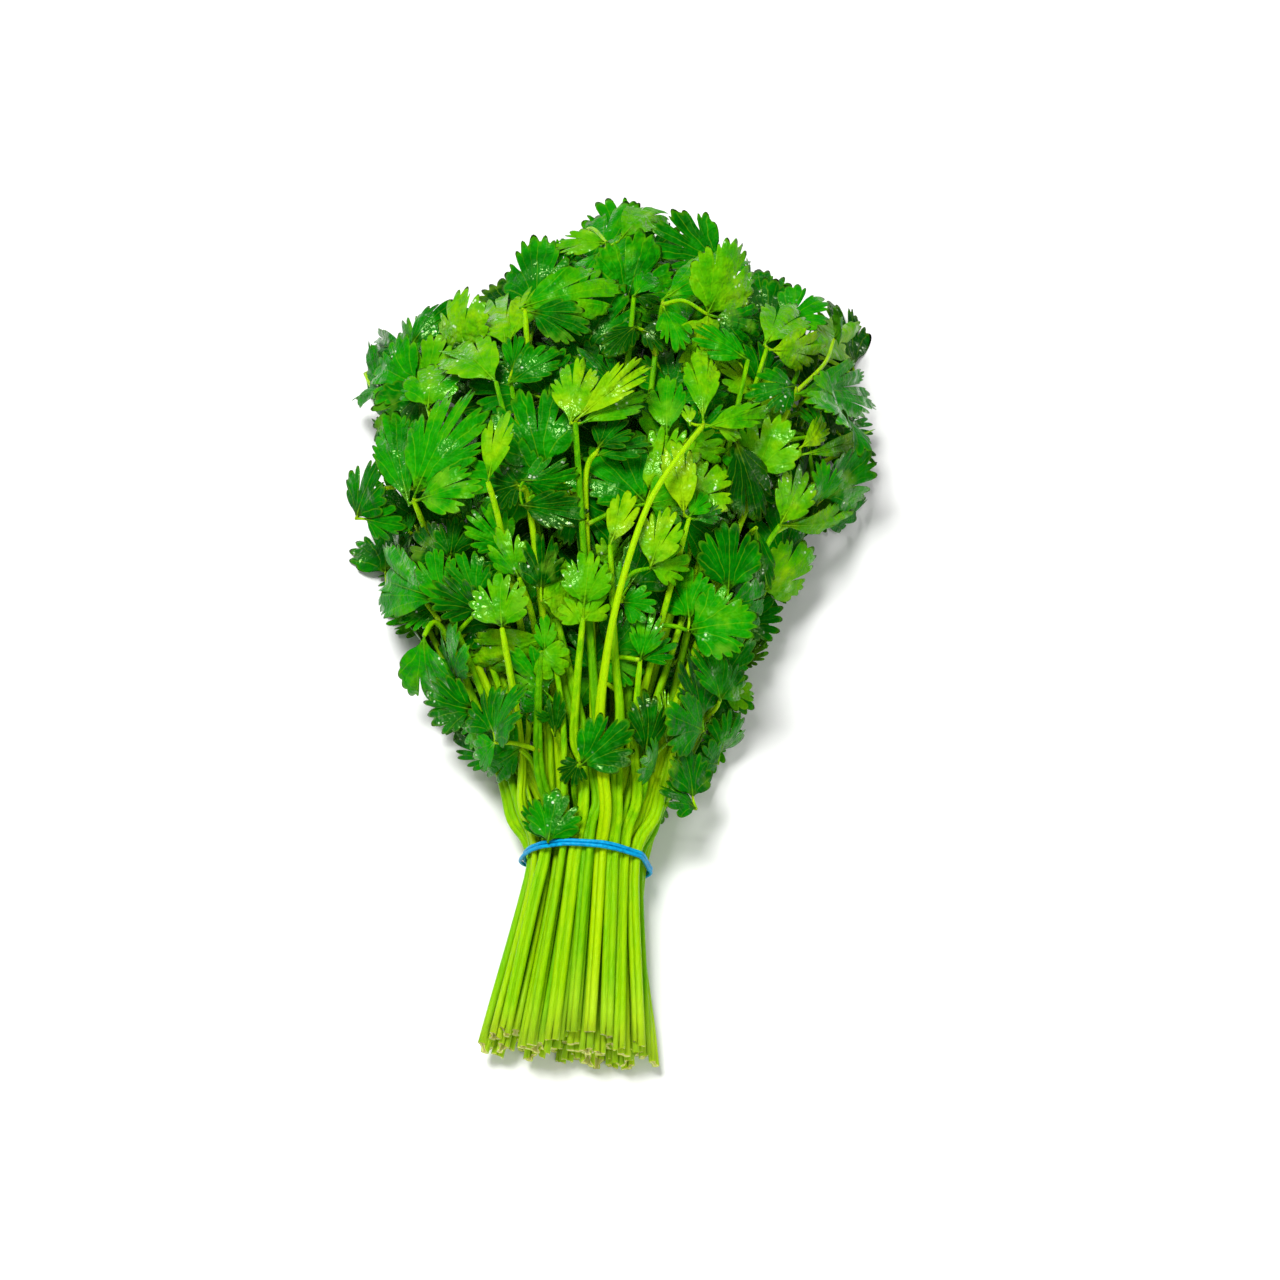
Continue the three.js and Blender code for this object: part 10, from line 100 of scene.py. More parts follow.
    [[[19.22, -142.517, 4.77, 1.578], [16.58, -105.38, 7.364, 1.578], [15.536, -87.38, 9.014, 1.578], [22.167, -50.38, 11.54, 1.416], [30.752, -7.38, 14.361, 1.226], [42.044, 44.62, 17.754, 0.998], [52.193, 88.257, 20.691, 0.789]], [[0, [52.19, 88.26, 20.69], [[52.19, 88.26, 20.69, 48.97, 105.67, 23.99, 0.983, 0.167, 0.077, 16.22, 0.091, -0.064, 0, 0, 0], [52.19, 88.26, 20.69, 49.04, 97.48, 8.88, 0.935, 0.354, 0.027, 13.78, 0.045, -0.012, 0, 1, 0], [52.19, 88.26, 20.69, 48.38, 92.53, 34.89, 0.937, 0.312, 0.158, 13.78, 0.055, 0.185, 0, 2, 0]]], [[[36.29, 18.62, 16.05], [41.55, 20.28, 8.58], [48.73, 16.65, 2.05]], [48.73, 16.65, 2.05], [[48.73, 16.65, 2.05, 54.1, 4.06, 3.68, -0.054, 0.106, 0.993, 12.93, 0.016, 0.168, 2, 1, 0], [48.73, 16.65, 2.05, 47.31, 31.88, 1.26, -0.025, 0.049, 0.998, 14.69, -0.012, -0.041, 1, 2, 0]]], [[[45.7, 60.78, 18.81], [50.06, 67.45, 10.14], [57.45, 67.56, 2.01]], [57.45, 67.56, 2.01], [[60.65, 67.66, 1.94, 77.64, 68.09, 0.57, 0.079, 0.055, 0.995, 14.43, 0.073, 0.075, 1, 1, 0], [57.45, 67.56, 2.01, 62.48, 53.28, 0.73, 0.063, -0.067, 0.996, 14.67, 0.002, 0.174, 1, 1, 0], [57.45, 67.56, 2.01, 63.05, 81.7, 2.3, -0.008, -0.018, 1, 12.7, 0.051, 0.019, 0, 2, 0]]], [[[28.19, -19.95, 13.54], [22.62, -15.34, 10.08], [19.75, -14.11, 6.81]], [19.75, -14.11, 6.81], [[22.86, -13.36, 6.78, 33.64, -10, 4.93, 0.335, -0.815, 0.472, 10.03, 0.087, -0.229, 0, 1, 0], [19.75, -14.11, 6.81, 24.96, -9.36, 18.05, 0.638, -0.769, 0.03, 12.52, 0.012, 0.112, 1, 2, 0]]], [[[52.19, 88.26, 20.69], [66.19, 91.48, 10.28], [74.44, 92.44, 0.95]], [74.44, 92.44, 0.95], [[73.62, 95.53, 1.11, 64.41, 115.06, 7.68, 0.449, -0.087, 0.889, 20.24, 0.063, -0.207, 2, 0, 0], [74.44, 92.44, 0.95, 54.28, 97.94, 1.47, 0.021, -0.018, 1, 19.5, -0.015, 0.17, 2, 0, 0]]], [[[34.36, 9.58, 15.47], [31.39, 13.54, 9.32], [28.16, 14.55, 6.3]], [28.16, 14.55, 6.3], [[28.27, 15.75, 9.26, 28.25, 23.5, 28.46, 0.999, 0.047, -0.018, 17.88, 0.052, -0.226, 0, 2, 0], [28.16, 14.55, 6.3, 30.54, 3.77, 11.78, 0.981, 0.159, -0.113, 10.79, 0.074, 0.147, 0, 1, 0]]], [[[47.53, 68.86, 19.34], [54.77, 71.95, 26.24], [60.67, 71.35, 28.56]], [60.67, 71.35, 28.56], [[60.67, 71.35, 28.56, 58.28, 64.8, 24.13, 0.939, -0.345, 0.002, 6.96, -0.007, -0.222, 0, 1, 0]]], [[[39.04, 31.05, 16.87], [36.53, 34.2, 11.82], [33.92, 36.21, 7.86]], [33.92, 36.21, 7.86], [[33.92, 36.21, 7.86, 30.05, 43.1, 2.07, 0.816, -0.029, -0.578, 9.71, 0.015, 0.173, 1, 1, 0], [33.92, 36.21, 7.86, 40.99, 39.29, 14.27, 0.66, 0.044, -0.75, 9.72, 0.078, -0.083, 1, 1, 0]]], [[[50.73, 82.65, 20.27], [51.6, 84.27, 12.09], [51.65, 84.4, 5.54]], [51.65, 84.4, 5.54], [[52.12, 87.5, 6.17, 53.87, 107.4, 11.07, 0.843, 0.058, -0.535, 16.04, 0.1, 0.156, 2, 2, 0], [51.65, 84.4, 5.54, 56.59, 87.52, 14.66, 0.878, 0.011, -0.479, 9.14, 0.048, 0.063, 1, 1, 0]]], [[[49.1, 75.79, 19.8], [50.84, 77.82, 24.92], [50.37, 78.09, 30.61]], [50.37, 78.09, 30.61], [[50.37, 78.09, 30.61, 47.8, 84.26, 25.5, 0.848, 0.499, 0.177, 6.6, 0.103, 0.009, 0, 2, 0], [50.37, 78.09, 30.61, 51.28, 75.06, 39.56, 0.828, 0.551, 0.102, 8.17, 0.019, 0.034, 2, 1, 0]]]]],
    [[[30.191, -143.157, 6.723, 1.392], [21.887, -87.38, 11.507, 1.392], [39.347, -31.38, 17.304, 1.107], [65.284, 44.693, 25.358, 0.696]], [[[[36.46, -40.32, 16.37], [39.15, -39.42, 22.19], [40.26, -39.52, 28.03]], [40.26, -39.52, 28.03], [[40.26, -39.7, 28.39, 33.35, -28.45, 42.88, 0.634, -0.434, 0.639, 11.43, 0.081, 0.08, 2, 1, 1], [40.25, -39.33, 27.67, 45.81, -26.66, 24.23, 0.783, -0.182, 0.595, 10.4, 0.032, -0.117, 1, 1, 1]]], [0, [65.28, 44.69, 25.36], [[65.28, 44.69, 25.36, 62.89, 62.92, 22.09, 0.953, 0.17, 0.252, 16.8, 0.043, -0, 1, 0, 0], [65.28, 44.69, 25.36, 65.78, 48.05, 16.12, 0.961, 0.24, 0.139, 8.85, 0.003, -0.178, 1, 1, 0], [65.28, 44.69, 25.36, 58.29, 53.7, 36.39, 0.898, 0.277, 0.342, 14.28, 0.005, 0.089, 2, 1, 0]]], [[[45.17, -13.93, 19.13], [41.28, -12.6, 21.21], [36.81, -12.41, 23.02]], [36.81, -12.41, 23.02], [[36.3, -9.32, 23.67, 33.86, 7.47, 24.8, 0.014, -0.065, 0.998, 16.18, 0.098, 0.085, 1, 0, 0], [36.81, -12.41, 23.02, 43.07, -4.24, 21.24, 0.159, 0.093, 0.983, 10.11, 0.038, -0, 2, 1, 0]]], [[[62.94, 38.01, 24.64], [59.6, 46.6, 34.61], [54.48, 44.01, 41.92]], [54.48, 44.01, 41.92], [[54.27, 40.85, 41.43, 54.81, 24.17, 38.12, 0.911, -0.052, 0.41, 16.7, 0.082, -0.218, 2, 1, 0], [54.48, 44.01, 41.92, 59.39, 37.57, 24.95, 0.926, -0.175, 0.334, 18.07, 0.025, -0.052, 2, 0, 0]]], [[[59.58, 28.32, 23.61], [53.01, 36.78, 26.46], [47.32, 43.42, 28.52]], [47.32, 43.42, 28.52], [[48.69, 46.31, 28.55, 54.88, 60.26, 27.21, 0.245, -0.015, 0.969, 13.57, 0.049, -0.124, 2, 2, 0], [47.32, 43.42, 28.52, 31.96, 58.84, 30.8, 0.123, -0.024, 0.992, 20.13, 0.039, 0.185, 1, 1, 0]]], [[[63.72, 40.24, 24.88], [63.42, 43.17, 14.92], [62.7, 43.2, 8.53]], [62.7, 43.2, 8.53], [[62.7, 43.2, 8.53, 52.1, 54.1, 10.44, 0.453, 0.562, -0.693, 12.08, -0.007, -0.029, 0, 0, 0], [62.7, 43.2, 8.53, 72, 39.07, 15.53, 0.658, 0.403, -0.636, 9.68, 0.03, 0.1, 2, 0, 0]]], [[[65.28, 44.69, 25.36], [68.53, 46.31, 26.51], [71.44, 47.43, 26.69]], [71.44, 47.43, 26.69], [[71.44, 47.43, 26.69, 76.07, 47.14, 14.75, 0.924, -0.127, 0.361, 10.07, -0.002, -0.059, 1, 0, 0]]], [[[61.82, 34.78, 24.3], [60.78, 35.3, 27.61], [59.46, 35.27, 30.25]], [59.46, 35.27, 30.25], [[59.46, 35.27, 30.25, 58.57, 39.58, 41, 0.978, -0.154, 0.143, 10.89, 0.079, -0.001, 0, 0, 0]]]]],
    [[[-13.491, -143.418, 4.949, 1.463], [-6.644, -87.38, 8.989, 1.463], [-12.679, -77.38, 9.987, 1.383], [-19.273, -65.38, 12.266, 1.283], [-28.206, -50.38, 14.765, 1.146], [-54.125, -8.126, 21.947, 0.731]], [[0, [-54.13, -8.13, 21.95], [[-54.13, -8.13, 21.95, -61.06, 11.21, 23.49, -0.936, -0.342, 0.078, 18.54, 0.043, -0.039, 0, 0, 0], [-54.13, -8.13, 21.95, -54.95, -0.41, 37.65, -0.957, -0.278, 0.086, 15.76, 0.013, -0.164, 0, 0, 0], [-54.13, -8.13, 21.95, -56.87, -0.8, 10.32, -0.962, -0.265, 0.06, 12.61, 0.024, -0.16, 2, 2, 0]]], [[[-34.28, -40.38, 16.45], [-31.96, -38.94, 19.27], [-29.9, -38.43, 21.51]], [-29.9, -38.43, 21.51], [[-31.97, -36.03, 21.91, -41.95, -25, 22.09, -0.21, -0.206, 0.956, 13.15, 0.054, -0.231, 1, 2, 0]]], [[[-28.21, -50.38, 14.77], [-25.22, -43.69, 15.94], [-23.48, -40.19, 15.88]], [-23.48, -40.19, 15.88], [[-26.57, -40.14, 15.03, -44.3, -41.12, 9.29, -0.277, -0.309, 0.91, 17.95, 0.079, -0.09, 0, 1, 0], [-23.48, -40.19, 15.88, -30.25, -29.87, 15.08, -0.502, -0.266, 0.823, 10.84, 0.036, 0.121, 0, 1, 0]]], [[[-47.57, -18.71, 20.13], [-47.35, -14.79, 14.38], [-47.34, -13.8, 10.55]], [-47.34, -13.8, 10.55], [[-47.34, -13.8, 10.55, -50.42, -6.27, 12.31, -0.659, -0.094, -0.747, 7.55, 0.001, -0.046, 0, 0, 0]]]]],
    [[[14.257, -141.847, 1.292, 1.516], [11.457, -87.38, 3.548, 1.516], [11.395, -77.38, 5.048, 1.459], [10.016, -50.38, 8.76, 1.303], [3.089, 42.957, 21.141, 0.758]], [[0, [3.09, 42.96, 21.14], [[3.09, 42.96, 21.14, -2.6, 60.78, 36.15, 0.05, 0.653, -0.756, 21.59, 0.053, 0.022, 1, 1, 0], [3.09, 42.96, 21.14, -12.54, 45.6, 24.97, -0.068, 0.67, -0.739, 14.68, 0.011, 0.078, 2, 1, 0], [3.09, 42.96, 21.14, 12.17, 48.7, 27.8, 0.104, 0.678, -0.727, 11.38, 0, -0.198, 0, 1, 0]]], [[[9.11, -37.32, 10.42], [10.88, -35.55, 16.65], [15.04, -36.44, 22.37]], [15.04, -36.44, 22.37], [[17.58, -34.76, 23.35, 27.27, -27.4, 25.53, 0.131, -0.436, 0.89, 10.66, -0.007, -0.096, 0, 2, 0], [15.04, -36.44, 22.37, 28.04, -41.55, 18.57, 0.107, -0.404, 0.909, 13.16, 0.031, 0.067, 2, 2, 0]]], [[[8.36, -26.81, 11.77], [6.57, -27.44, 15.5], [5.58, -28.95, 18.81]], [5.58, -28.95, 18.81], [[6.09, -26.01, 19.97, 7.82, -10.36, 22.75, -0.354, -0.126, 0.927, 14.04, 0.008, -0.141, 0, 1, 0], [5.58, -28.95, 18.81, 19.72, -22.19, 23.37, -0.12, -0.371, 0.921, 14.08, 0.073, 0.046, 0, 1, 0]]], [[[3.09, 42.96, 21.14], [0.92, 55.03, 11.07], [2.8, 63.84, 3.05]], [2.8, 63.84, 3.05], [[4.46, 66.37, 4.1, 14.7, 81.62, 10.89, -0.104, 0.462, -0.881, 18.6, 0.026, 0.116, 0, 2, 0], [2.8, 63.84, 3.05, -4.32, 74.01, 10.28, -0.153, 0.5, -0.853, 11.68, 0.077, 0.143, 0, 1, 0]]], [[[4.79, 20.57, 18.08], [8.37, 23.52, 13.69], [11.23, 25.27, 10.11]], [11.23, 25.27, 10.11], [[10.6, 28.29, 10.95, 7.65, 46.55, 14.5, -0.457, -0.241, 0.856, 16.33, 0.015, -0.215, 1, 0, 0], [11.23, 25.27, 10.11, 23.94, 32.85, 22.84, -0.532, -0.379, 0.757, 15.62, 0.093, 0.147, 1, 0, 0]]]]],
    [[[22.581, -143.028, 6.649, 1.632], [16.717, -87.38, 12.362, 1.632], [18.448, -77.38, 13.315, 1.589], [14.245, 103.433, 31.388, 0.816]], [[0, [14.24, 103.43, 31.39], [[14.24, 103.43, 31.39, 16.19, 117.21, 24.36, 0.236, 0.415, 0.879, 14.03, 0.013, -0.103, 1, 0, 0], [14.24, 103.43, 31.39, 29.52, 108.43, 27.36, 0.126, 0.361, 0.924, 14.91, 0.067, 0.021, 1, 1, 0], [14.24, 103.43, 31.39, 6.4, 110.05, 30.87, 0.257, 0.374, 0.891, 9.24, 0.069, 0.175, 1, 0, 0]]], [[[14.3, 101.08, 31.15], [26.57, 104.48, 37.31], [32.71, 102.66, 41.78]], [32.71, 102.66, 41.78], [[29.73, 103.84, 41.71, 8.01, 112.3, 45.79, 0.133, -0.133, 0.982, 21.36, -0.001, 0.105, 2, 1, 0], [32.71, 102.66, 41.78, 17.35, 88.17, 41.64, -0.264, 0.272, 0.925, 22.28, 0.009, 0.045, 2, 2, 0]]], [[[17.11, -16.52, 19.43], [14.93, -13.78, 26.63], [15.76, -14.49, 31.71]], [15.76, -14.49, 31.71], [[18.77, -13.9, 30.79, 34.23, -11.95, 27.27, 0.238, -0.162, 0.958, 14.76, 0.036, -0.235, 2, 0, 0], [15.76, -14.49, 31.71, 21.97, -24.41, 28.76, 0.356, -0.054, 0.933, 10.58, 0.014, -0.026, 1, 0, 0]]], [[[14.58, 89.32, 29.96], [10.95, 89.68, 27.83], [8.54, 89.05, 25.42]], [8.54, 89.05, 25.42], [[9.51, 91.99, 24.61, 15.6, 110.26, 19.62, 0.29, 0.161, 0.943, 17.46, 0.038, -0.185, 1, 1, 0], [8.54, 89.05, 25.42, 22.83, 86.77, 18.89, 0.43, 0.143, 0.891, 14.5, 0.082, -0.13, 2, 0, 0], [8.54, 89.05, 25.42, -2.98, 99.46, 28.98, 0.37, 0.093, 0.924, 15.73, 0.048, -0.003, 1, 2, 0]]], [[[14.58, 89.32, 29.96], [33.59, 91.26, 28.59], [47.32, 89.25, 27.23]], [47.32, 89.25, 27.23], [[46.32, 92.27, 27.59, 40, 111.27, 30.09, -0.173, -0.185, 0.967, 17.75, 0.064, -0.089, 0, 1, 0], [47.32, 89.25, 27.23, 28.98, 91.38, 19.66, -0.393, -0.318, 0.863, 18.46, -0.017, -0.232, 1, 2, 0]]], [[[14.94, 74.13, 28.44], [7.33, 78.21, 35.65], [1.38, 80.61, 42.51]], [1.38, 80.61, 42.51], [[1.8, 83.7, 43.25, 5.62, 105.33, 50.71, 0.32, -0.359, 0.877, 23.89, 0.047, 0.015, 0, 2, 0], [1.38, 80.61, 42.51, 19.71, 83.89, 37.06, 0.281, 0.025, 0.959, 18.27, -0.008, 0.034, 1, 1, 0]]], [[[15.11, 67.07, 27.73], [22.99, 75.83, 32.3], [33.74, 74.7, 34.55]], [33.74, 74.7, 34.55], [[36.18, 72.79, 33.77, 47.95, 62.86, 29.4, 0.622, 0.457, 0.636, 15.92, 0.051, 0.198, 1, 0, 0], [33.74, 74.7, 34.55, 31.81, 64.85, 40.95, 0.57, 0.366, 0.736, 10.62, -0.008, -0.144, 0, 0, 0], [33.74, 74.7, 34.55, 38.71, 83.06, 21.84, 0.614, 0.528, 0.587, 15.12, 0.086, 0.13, 0, 1, 0]]], [[[15.19, 63.53, 27.38], [12.73, 71.3, 38.3], [12.69, 76.14, 44.68]], [12.69, 76.14, 44.68], [[12.69, 76.14, 44.68, 24.69, 72.67, 39.35, 0.466, 0.406, 0.786, 12.45, 0.109, -0.197, 1, 1, 0], [12.69, 76.14, 44.68, 7.06, 83.82, 44.02, 0.466, 0.409, 0.784, 9.45, 0.076, -0.073, 2, 2, 0]]]]],
    [[[-0.808, -138.972, 5.248, 1.497], [1.952, -87.38, 9.448, 1.497], [-0.812, -77.38, 10.012, 1.412], [-5.88, -65.38, 13.242, 1.309], [-27.469, -6.498, 24.995, 0.748]], [[0, [-27.47, -6.5, 25], [[-27.47, -6.5, 25, -24.24, 11.33, 22.35, -0.984, 0.172, -0.045, 16.48, 0.013, -0.096, 1, 1, 0], [-27.47, -6.5, 25, -29.09, 3.23, 37.03, -0.992, -0.004, -0.13, 14, 0.054, -0.083, 1, 1, 0], [-27.47, -6.5, 25, -26.56, -2.03, 13.41, -0.996, 0.081, -0.047, 11.2, 0.088, -0.057, 0, 1, 0]]], [[[-25, -13.01, 23.67], [-23.59, -6.67, 32.9], [-24.77, -4.73, 40.29]], [-24.77, -4.73, 40.29], [[-27.91, -4.13, 40.32, -47.57, -1.04, 41.5, -0.032, -0.528, 0.849, 21, 0.098, 0.083, 2, 1, 0], [-24.77, -4.73, 40.29, -28.75, 9.25, 50.29, -0.072, -0.594, 0.802, 18.92, 0.023, -0.029, 2, 0, 0], [-24.77, -4.73, 40.29, -30.45, -13.21, 36.86, 0.05, -0.404, 0.913, 10.83, 0.003, -0.139, 0, 1, 0]]], [[[-21.36, -22.74, 21.71], [-17.98, -20.99, 23.19], [-14.62, -20.11, 24.56]], [-14.62, -20.11, 24.56], [[-15.19, -17.14, 25.61, -21.77, -1.3, 29.72, -0.486, -0.403, 0.775, 17.91, 0.001, -0.209, 0, 2, 0], [-14.62, -20.11, 24.56, -1.47, -11.01, 33.96, -0.377, -0.344, 0.86, 17.79, 0.092, -0.089, 1, 2, 0]]]]],
]
BAND_LOOP = [[24.47, 11.98], [23.95, 14.22], [23.43, 16.46], [22.92, 18.71], [22.4, 20.95], [21.39, 22.94], [19.41, 24.12], [17.42, 25.27], [15.44, 26.43], [13.32, 27.31], [11.14, 28.05], [8.85, 28.15], [6.56, 28.11], [4.26, 27.95], [1.98, 27.68], [-0.29, 27.32], [-2.38, 26.4], [-4.4, 25.3], [-6.41, 24.19], [-8.01, 22.54], [-9.55, 20.83], [-10.59, 18.81], [-11.37, 16.65], [-11.66, 14.39], [-11.67, 12.09], [-10.84, 10], [-9.52, 8.12], [-7.92, 6.49], [-6.2, 4.95], [-4.49, 3.42], [-2.49, 2.38], [-0.26, 1.83], [1.97, 1.28], [4.21, 0.74], [6.51, 0.66], [8.8, 0.72], [11.08, 1.03], [13.31, 1.56], [15.5, 2.26], [17.56, 3.28], [19.56, 4.4], [20.99, 6.2], [22.37, 8.04], [23.75, 9.88]]
BAND_Y = -87.38

MM = 0.001


def unit(v):
    v = np.asarray(v, float)
    return v / (np.linalg.norm(v) + 1e-12)


def catmull(P, per):
    P = np.asarray(P, float)
    Q = np.vstack([2 * P[0] - P[1], P, 2 * P[-1] - P[-2]])
    out = []
    for i in range(1, len(Q) - 2):
        a, b, c, d = Q[i - 1], Q[i], Q[i + 1], Q[i + 2]
        for k in range(per):
            t = k / per
            out.append(0.5 * (2 * b + (-a + c) * t + (2 * a - 5 * b + 4 * c - d) * t * t + (-a + 3 * b - 3 * c + d) * t ** 3))
    out.append(P[-1])
    return np.array(out)


def bezier(c, n):
    t = np.linspace(0, 1, n)[:, None]
    a, b, d, e = [np.asarray(v, float) for v in c]
    return (1 - t) ** 3 * a + 3 * (1 - t) ** 2 * t * b + 3 * (1 - t) * t * t * d + t ** 3 * e


def eased(P, most=2.8):
    """A stem line with its sharp bends rounded, fully where it leaves the band and lightly further up."""
    Q = P.copy()
    near = np.clip((-50 - P[:, 1]) / 10, 0, 1)
    for k in range(60):
        T = np.diff(Q, axis=0)
        T /= np.linalg.norm(T, axis=1)[:, None] + 1e-9
        turn = np.degrees(np.arccos(np.clip((T[1:] * T[:-1]).sum(1), -1, 1)))
        w = np.clip((np.concatenate([[0], turn, [0]]) - 9) / 12, 0, 1)
        w = np.maximum(w, 0.6 * np.maximum(np.roll(w, 1), np.roll(w, -1)))
        w = w * (near if k >= 7 else np.maximum(near, 0.6))
        w[0] = w[-1] = 0
        mid = Q.copy()
        mid[1:-1] = (Q[:-2] + Q[2:]) / 2
        Q = Q + (mid - Q) * w[:, None] * 0.7
    d = Q - P
    far = np.linalg.norm(d, axis=1)[:, None]
    return P + d * np.minimum(1, most / np.maximum(far, 1e-6))


class Soup:
    """Vertices, faces and two four-number marks a vertex, gathered for one piece."""

    def __init__(self):
        self.v, self.f, self.m, self.a, self.b, self.n = [], [], [], [], [], 0

    def add(self, v, f, mat, a, b):
        v = np.asarray(v, float)
        self.v.append(v)
        self.f.append(np.asarray(f, int) + self.n)
        self.m.append(np.full(len(f), mat))
        self.a.append(np.asarray(a, float))
        self.b.append(np.broadcast_to(np.asarray(b, float), (len(v), 4)))
        self.n += len(v)


def tube(soup, P, R, sides, mat, mark, rib=0.0, ribs=5, cap0=True, cap1=True, seed=0.0, pale0=0.0, fixed=None):
    """A tapering bar along P. Marks: share along, share round, radius, 0.5."""
    P = np.asarray(P, float)
    n = len(P)
    T = np.gradient(P, axis=0)
    T /= np.linalg.norm(T, axis=1)[:, None] + 1e-12
    s = np.array([0, 0, 1.0]) if abs(T[0][2]) < 0.8 else np.array([1.0, 0, 0])
    V = []
    ang = np.linspace(0, 2 * np.pi, sides, endpoint=False)
    shape = 1 + rib * np.cos(ribs * ang + seed * 6.28)
    for i in range(n):
        s = s - T[i] * (s @ T[i])
        s = s / (np.linalg.norm(s) + 1e-12)
        o = np.cross(T[i], s)
        V.append(P[i] + (np.cos(ang)[:, None] * s + np.sin(ang)[:, None] * o) * (R[i] * shape)[:, None])
    V = np.vstack(V)
    V[:, 2] = np.maximum(V[:, 2], 0.05)
    F = []
    k = np.arange(sides)
    k2 = (k + 1) % sides
    for i in range(n - 1):
        a, b = i * sides + k, i * sides + k2
        c, d = (i + 1) * sides + k2, (i + 1) * sides + k
        F.append(np.stack([a, b, c], 1))
        F.append(np.stack([a, c, d], 1))
    along = np.repeat(np.linspace(0, 1, n), sides)
    A = np.stack([along, np.tile(ang / (2 * np.pi), n), np.repeat(R, sides) / 3.0, np.full(n * sides, 0.5)], 1)
    nv = len(V)
    extra, exa = [], []
    if cap0:
        # a cut face: a rim ring, an inner ring a little deeper, and the middle
        c0 = P[0]
        r1 = c0 + (V[:sides] - c0) * 0.80 + T[0] * 0.05
        r2 = c0 + (V[:sides] - c0) * 0.42 + T[0] * (0.15 + 0.5 * pale0)
        extra += [r1, r2, (c0 + T[0] * (0.2 + 0.9 * pale0))[None]]
        exa += [np.tile([0, 0, 0.5, 1.0], (sides, 1)), np.tile([0, 0.5, 0.5, 1.0], (sides, 1)), np.array([[0, 1.0, 0.5, 1.0]])]
        b1, b2, bc = nv, nv + sides, nv + 2 * sides
        F.append(np.stack([k2, k, b1 + k], 1))
        F.append(np.stack([k2, b1 + k, b1 + k2], 1))
        F.append(np.stack([b1 + k2, b1 + k, b2 + k], 1))
        F.append(np.stack([b1 + k2, b2 + k, b2 + k2], 1))
        F.append(np.stack([b2 + k2, b2 + k, np.full(sides, bc)], 1))
        nv += 2 * sides + 1
    else:
        extra.append(P[0][None])
        exa.append(np.array([[0, 0, 0.2, 0.5]]))
        F.append(np.stack([k2, k, np.full(sides, nv)], 1))
        nv += 1
    if cap1:
        e = (n - 1) * sides
        extra.append((P[-1] + T[-1] * R[-1] * 0.6)[None])
        exa.append(np.array([[1, 0, 0.1, 0.5]]))
        F.append(np.stack([e + k, e + k2, np.full(sides, nv)], 1))
        nv += 1
    if extra:
        V = np.vstack([V] + extra)
        A = np.vstack([A] + exa)
    if fixed is not None:
        A = np.tile(fixed, (len(V), 1))
    soup.add(V, np.vstack(F), mat, A, mark)


def section(lobes, ang, turn):
    """Rim of the stem section against angle: two or three stalks grown side by side, as shares of the stem radius."""
    if lobes == 2:
        g = ang - turn
        return 0.45 * np.abs(np.cos(g)) + np.sqrt(0.3025 - 0.2025 * np.sin(g) ** 2)
    step = 2 * np.pi / lobes
    g = (ang - turn + step / 2) % step - step / 2
    round_ = 0.536 * np.cos(g) + np.sqrt(np.maximum(0.2154 - 0.2873 * np.sin(g) ** 2, 0))
    return 0.74 * round_ + 0.26 * (np.cos(g) * 0.76 + 0.24)


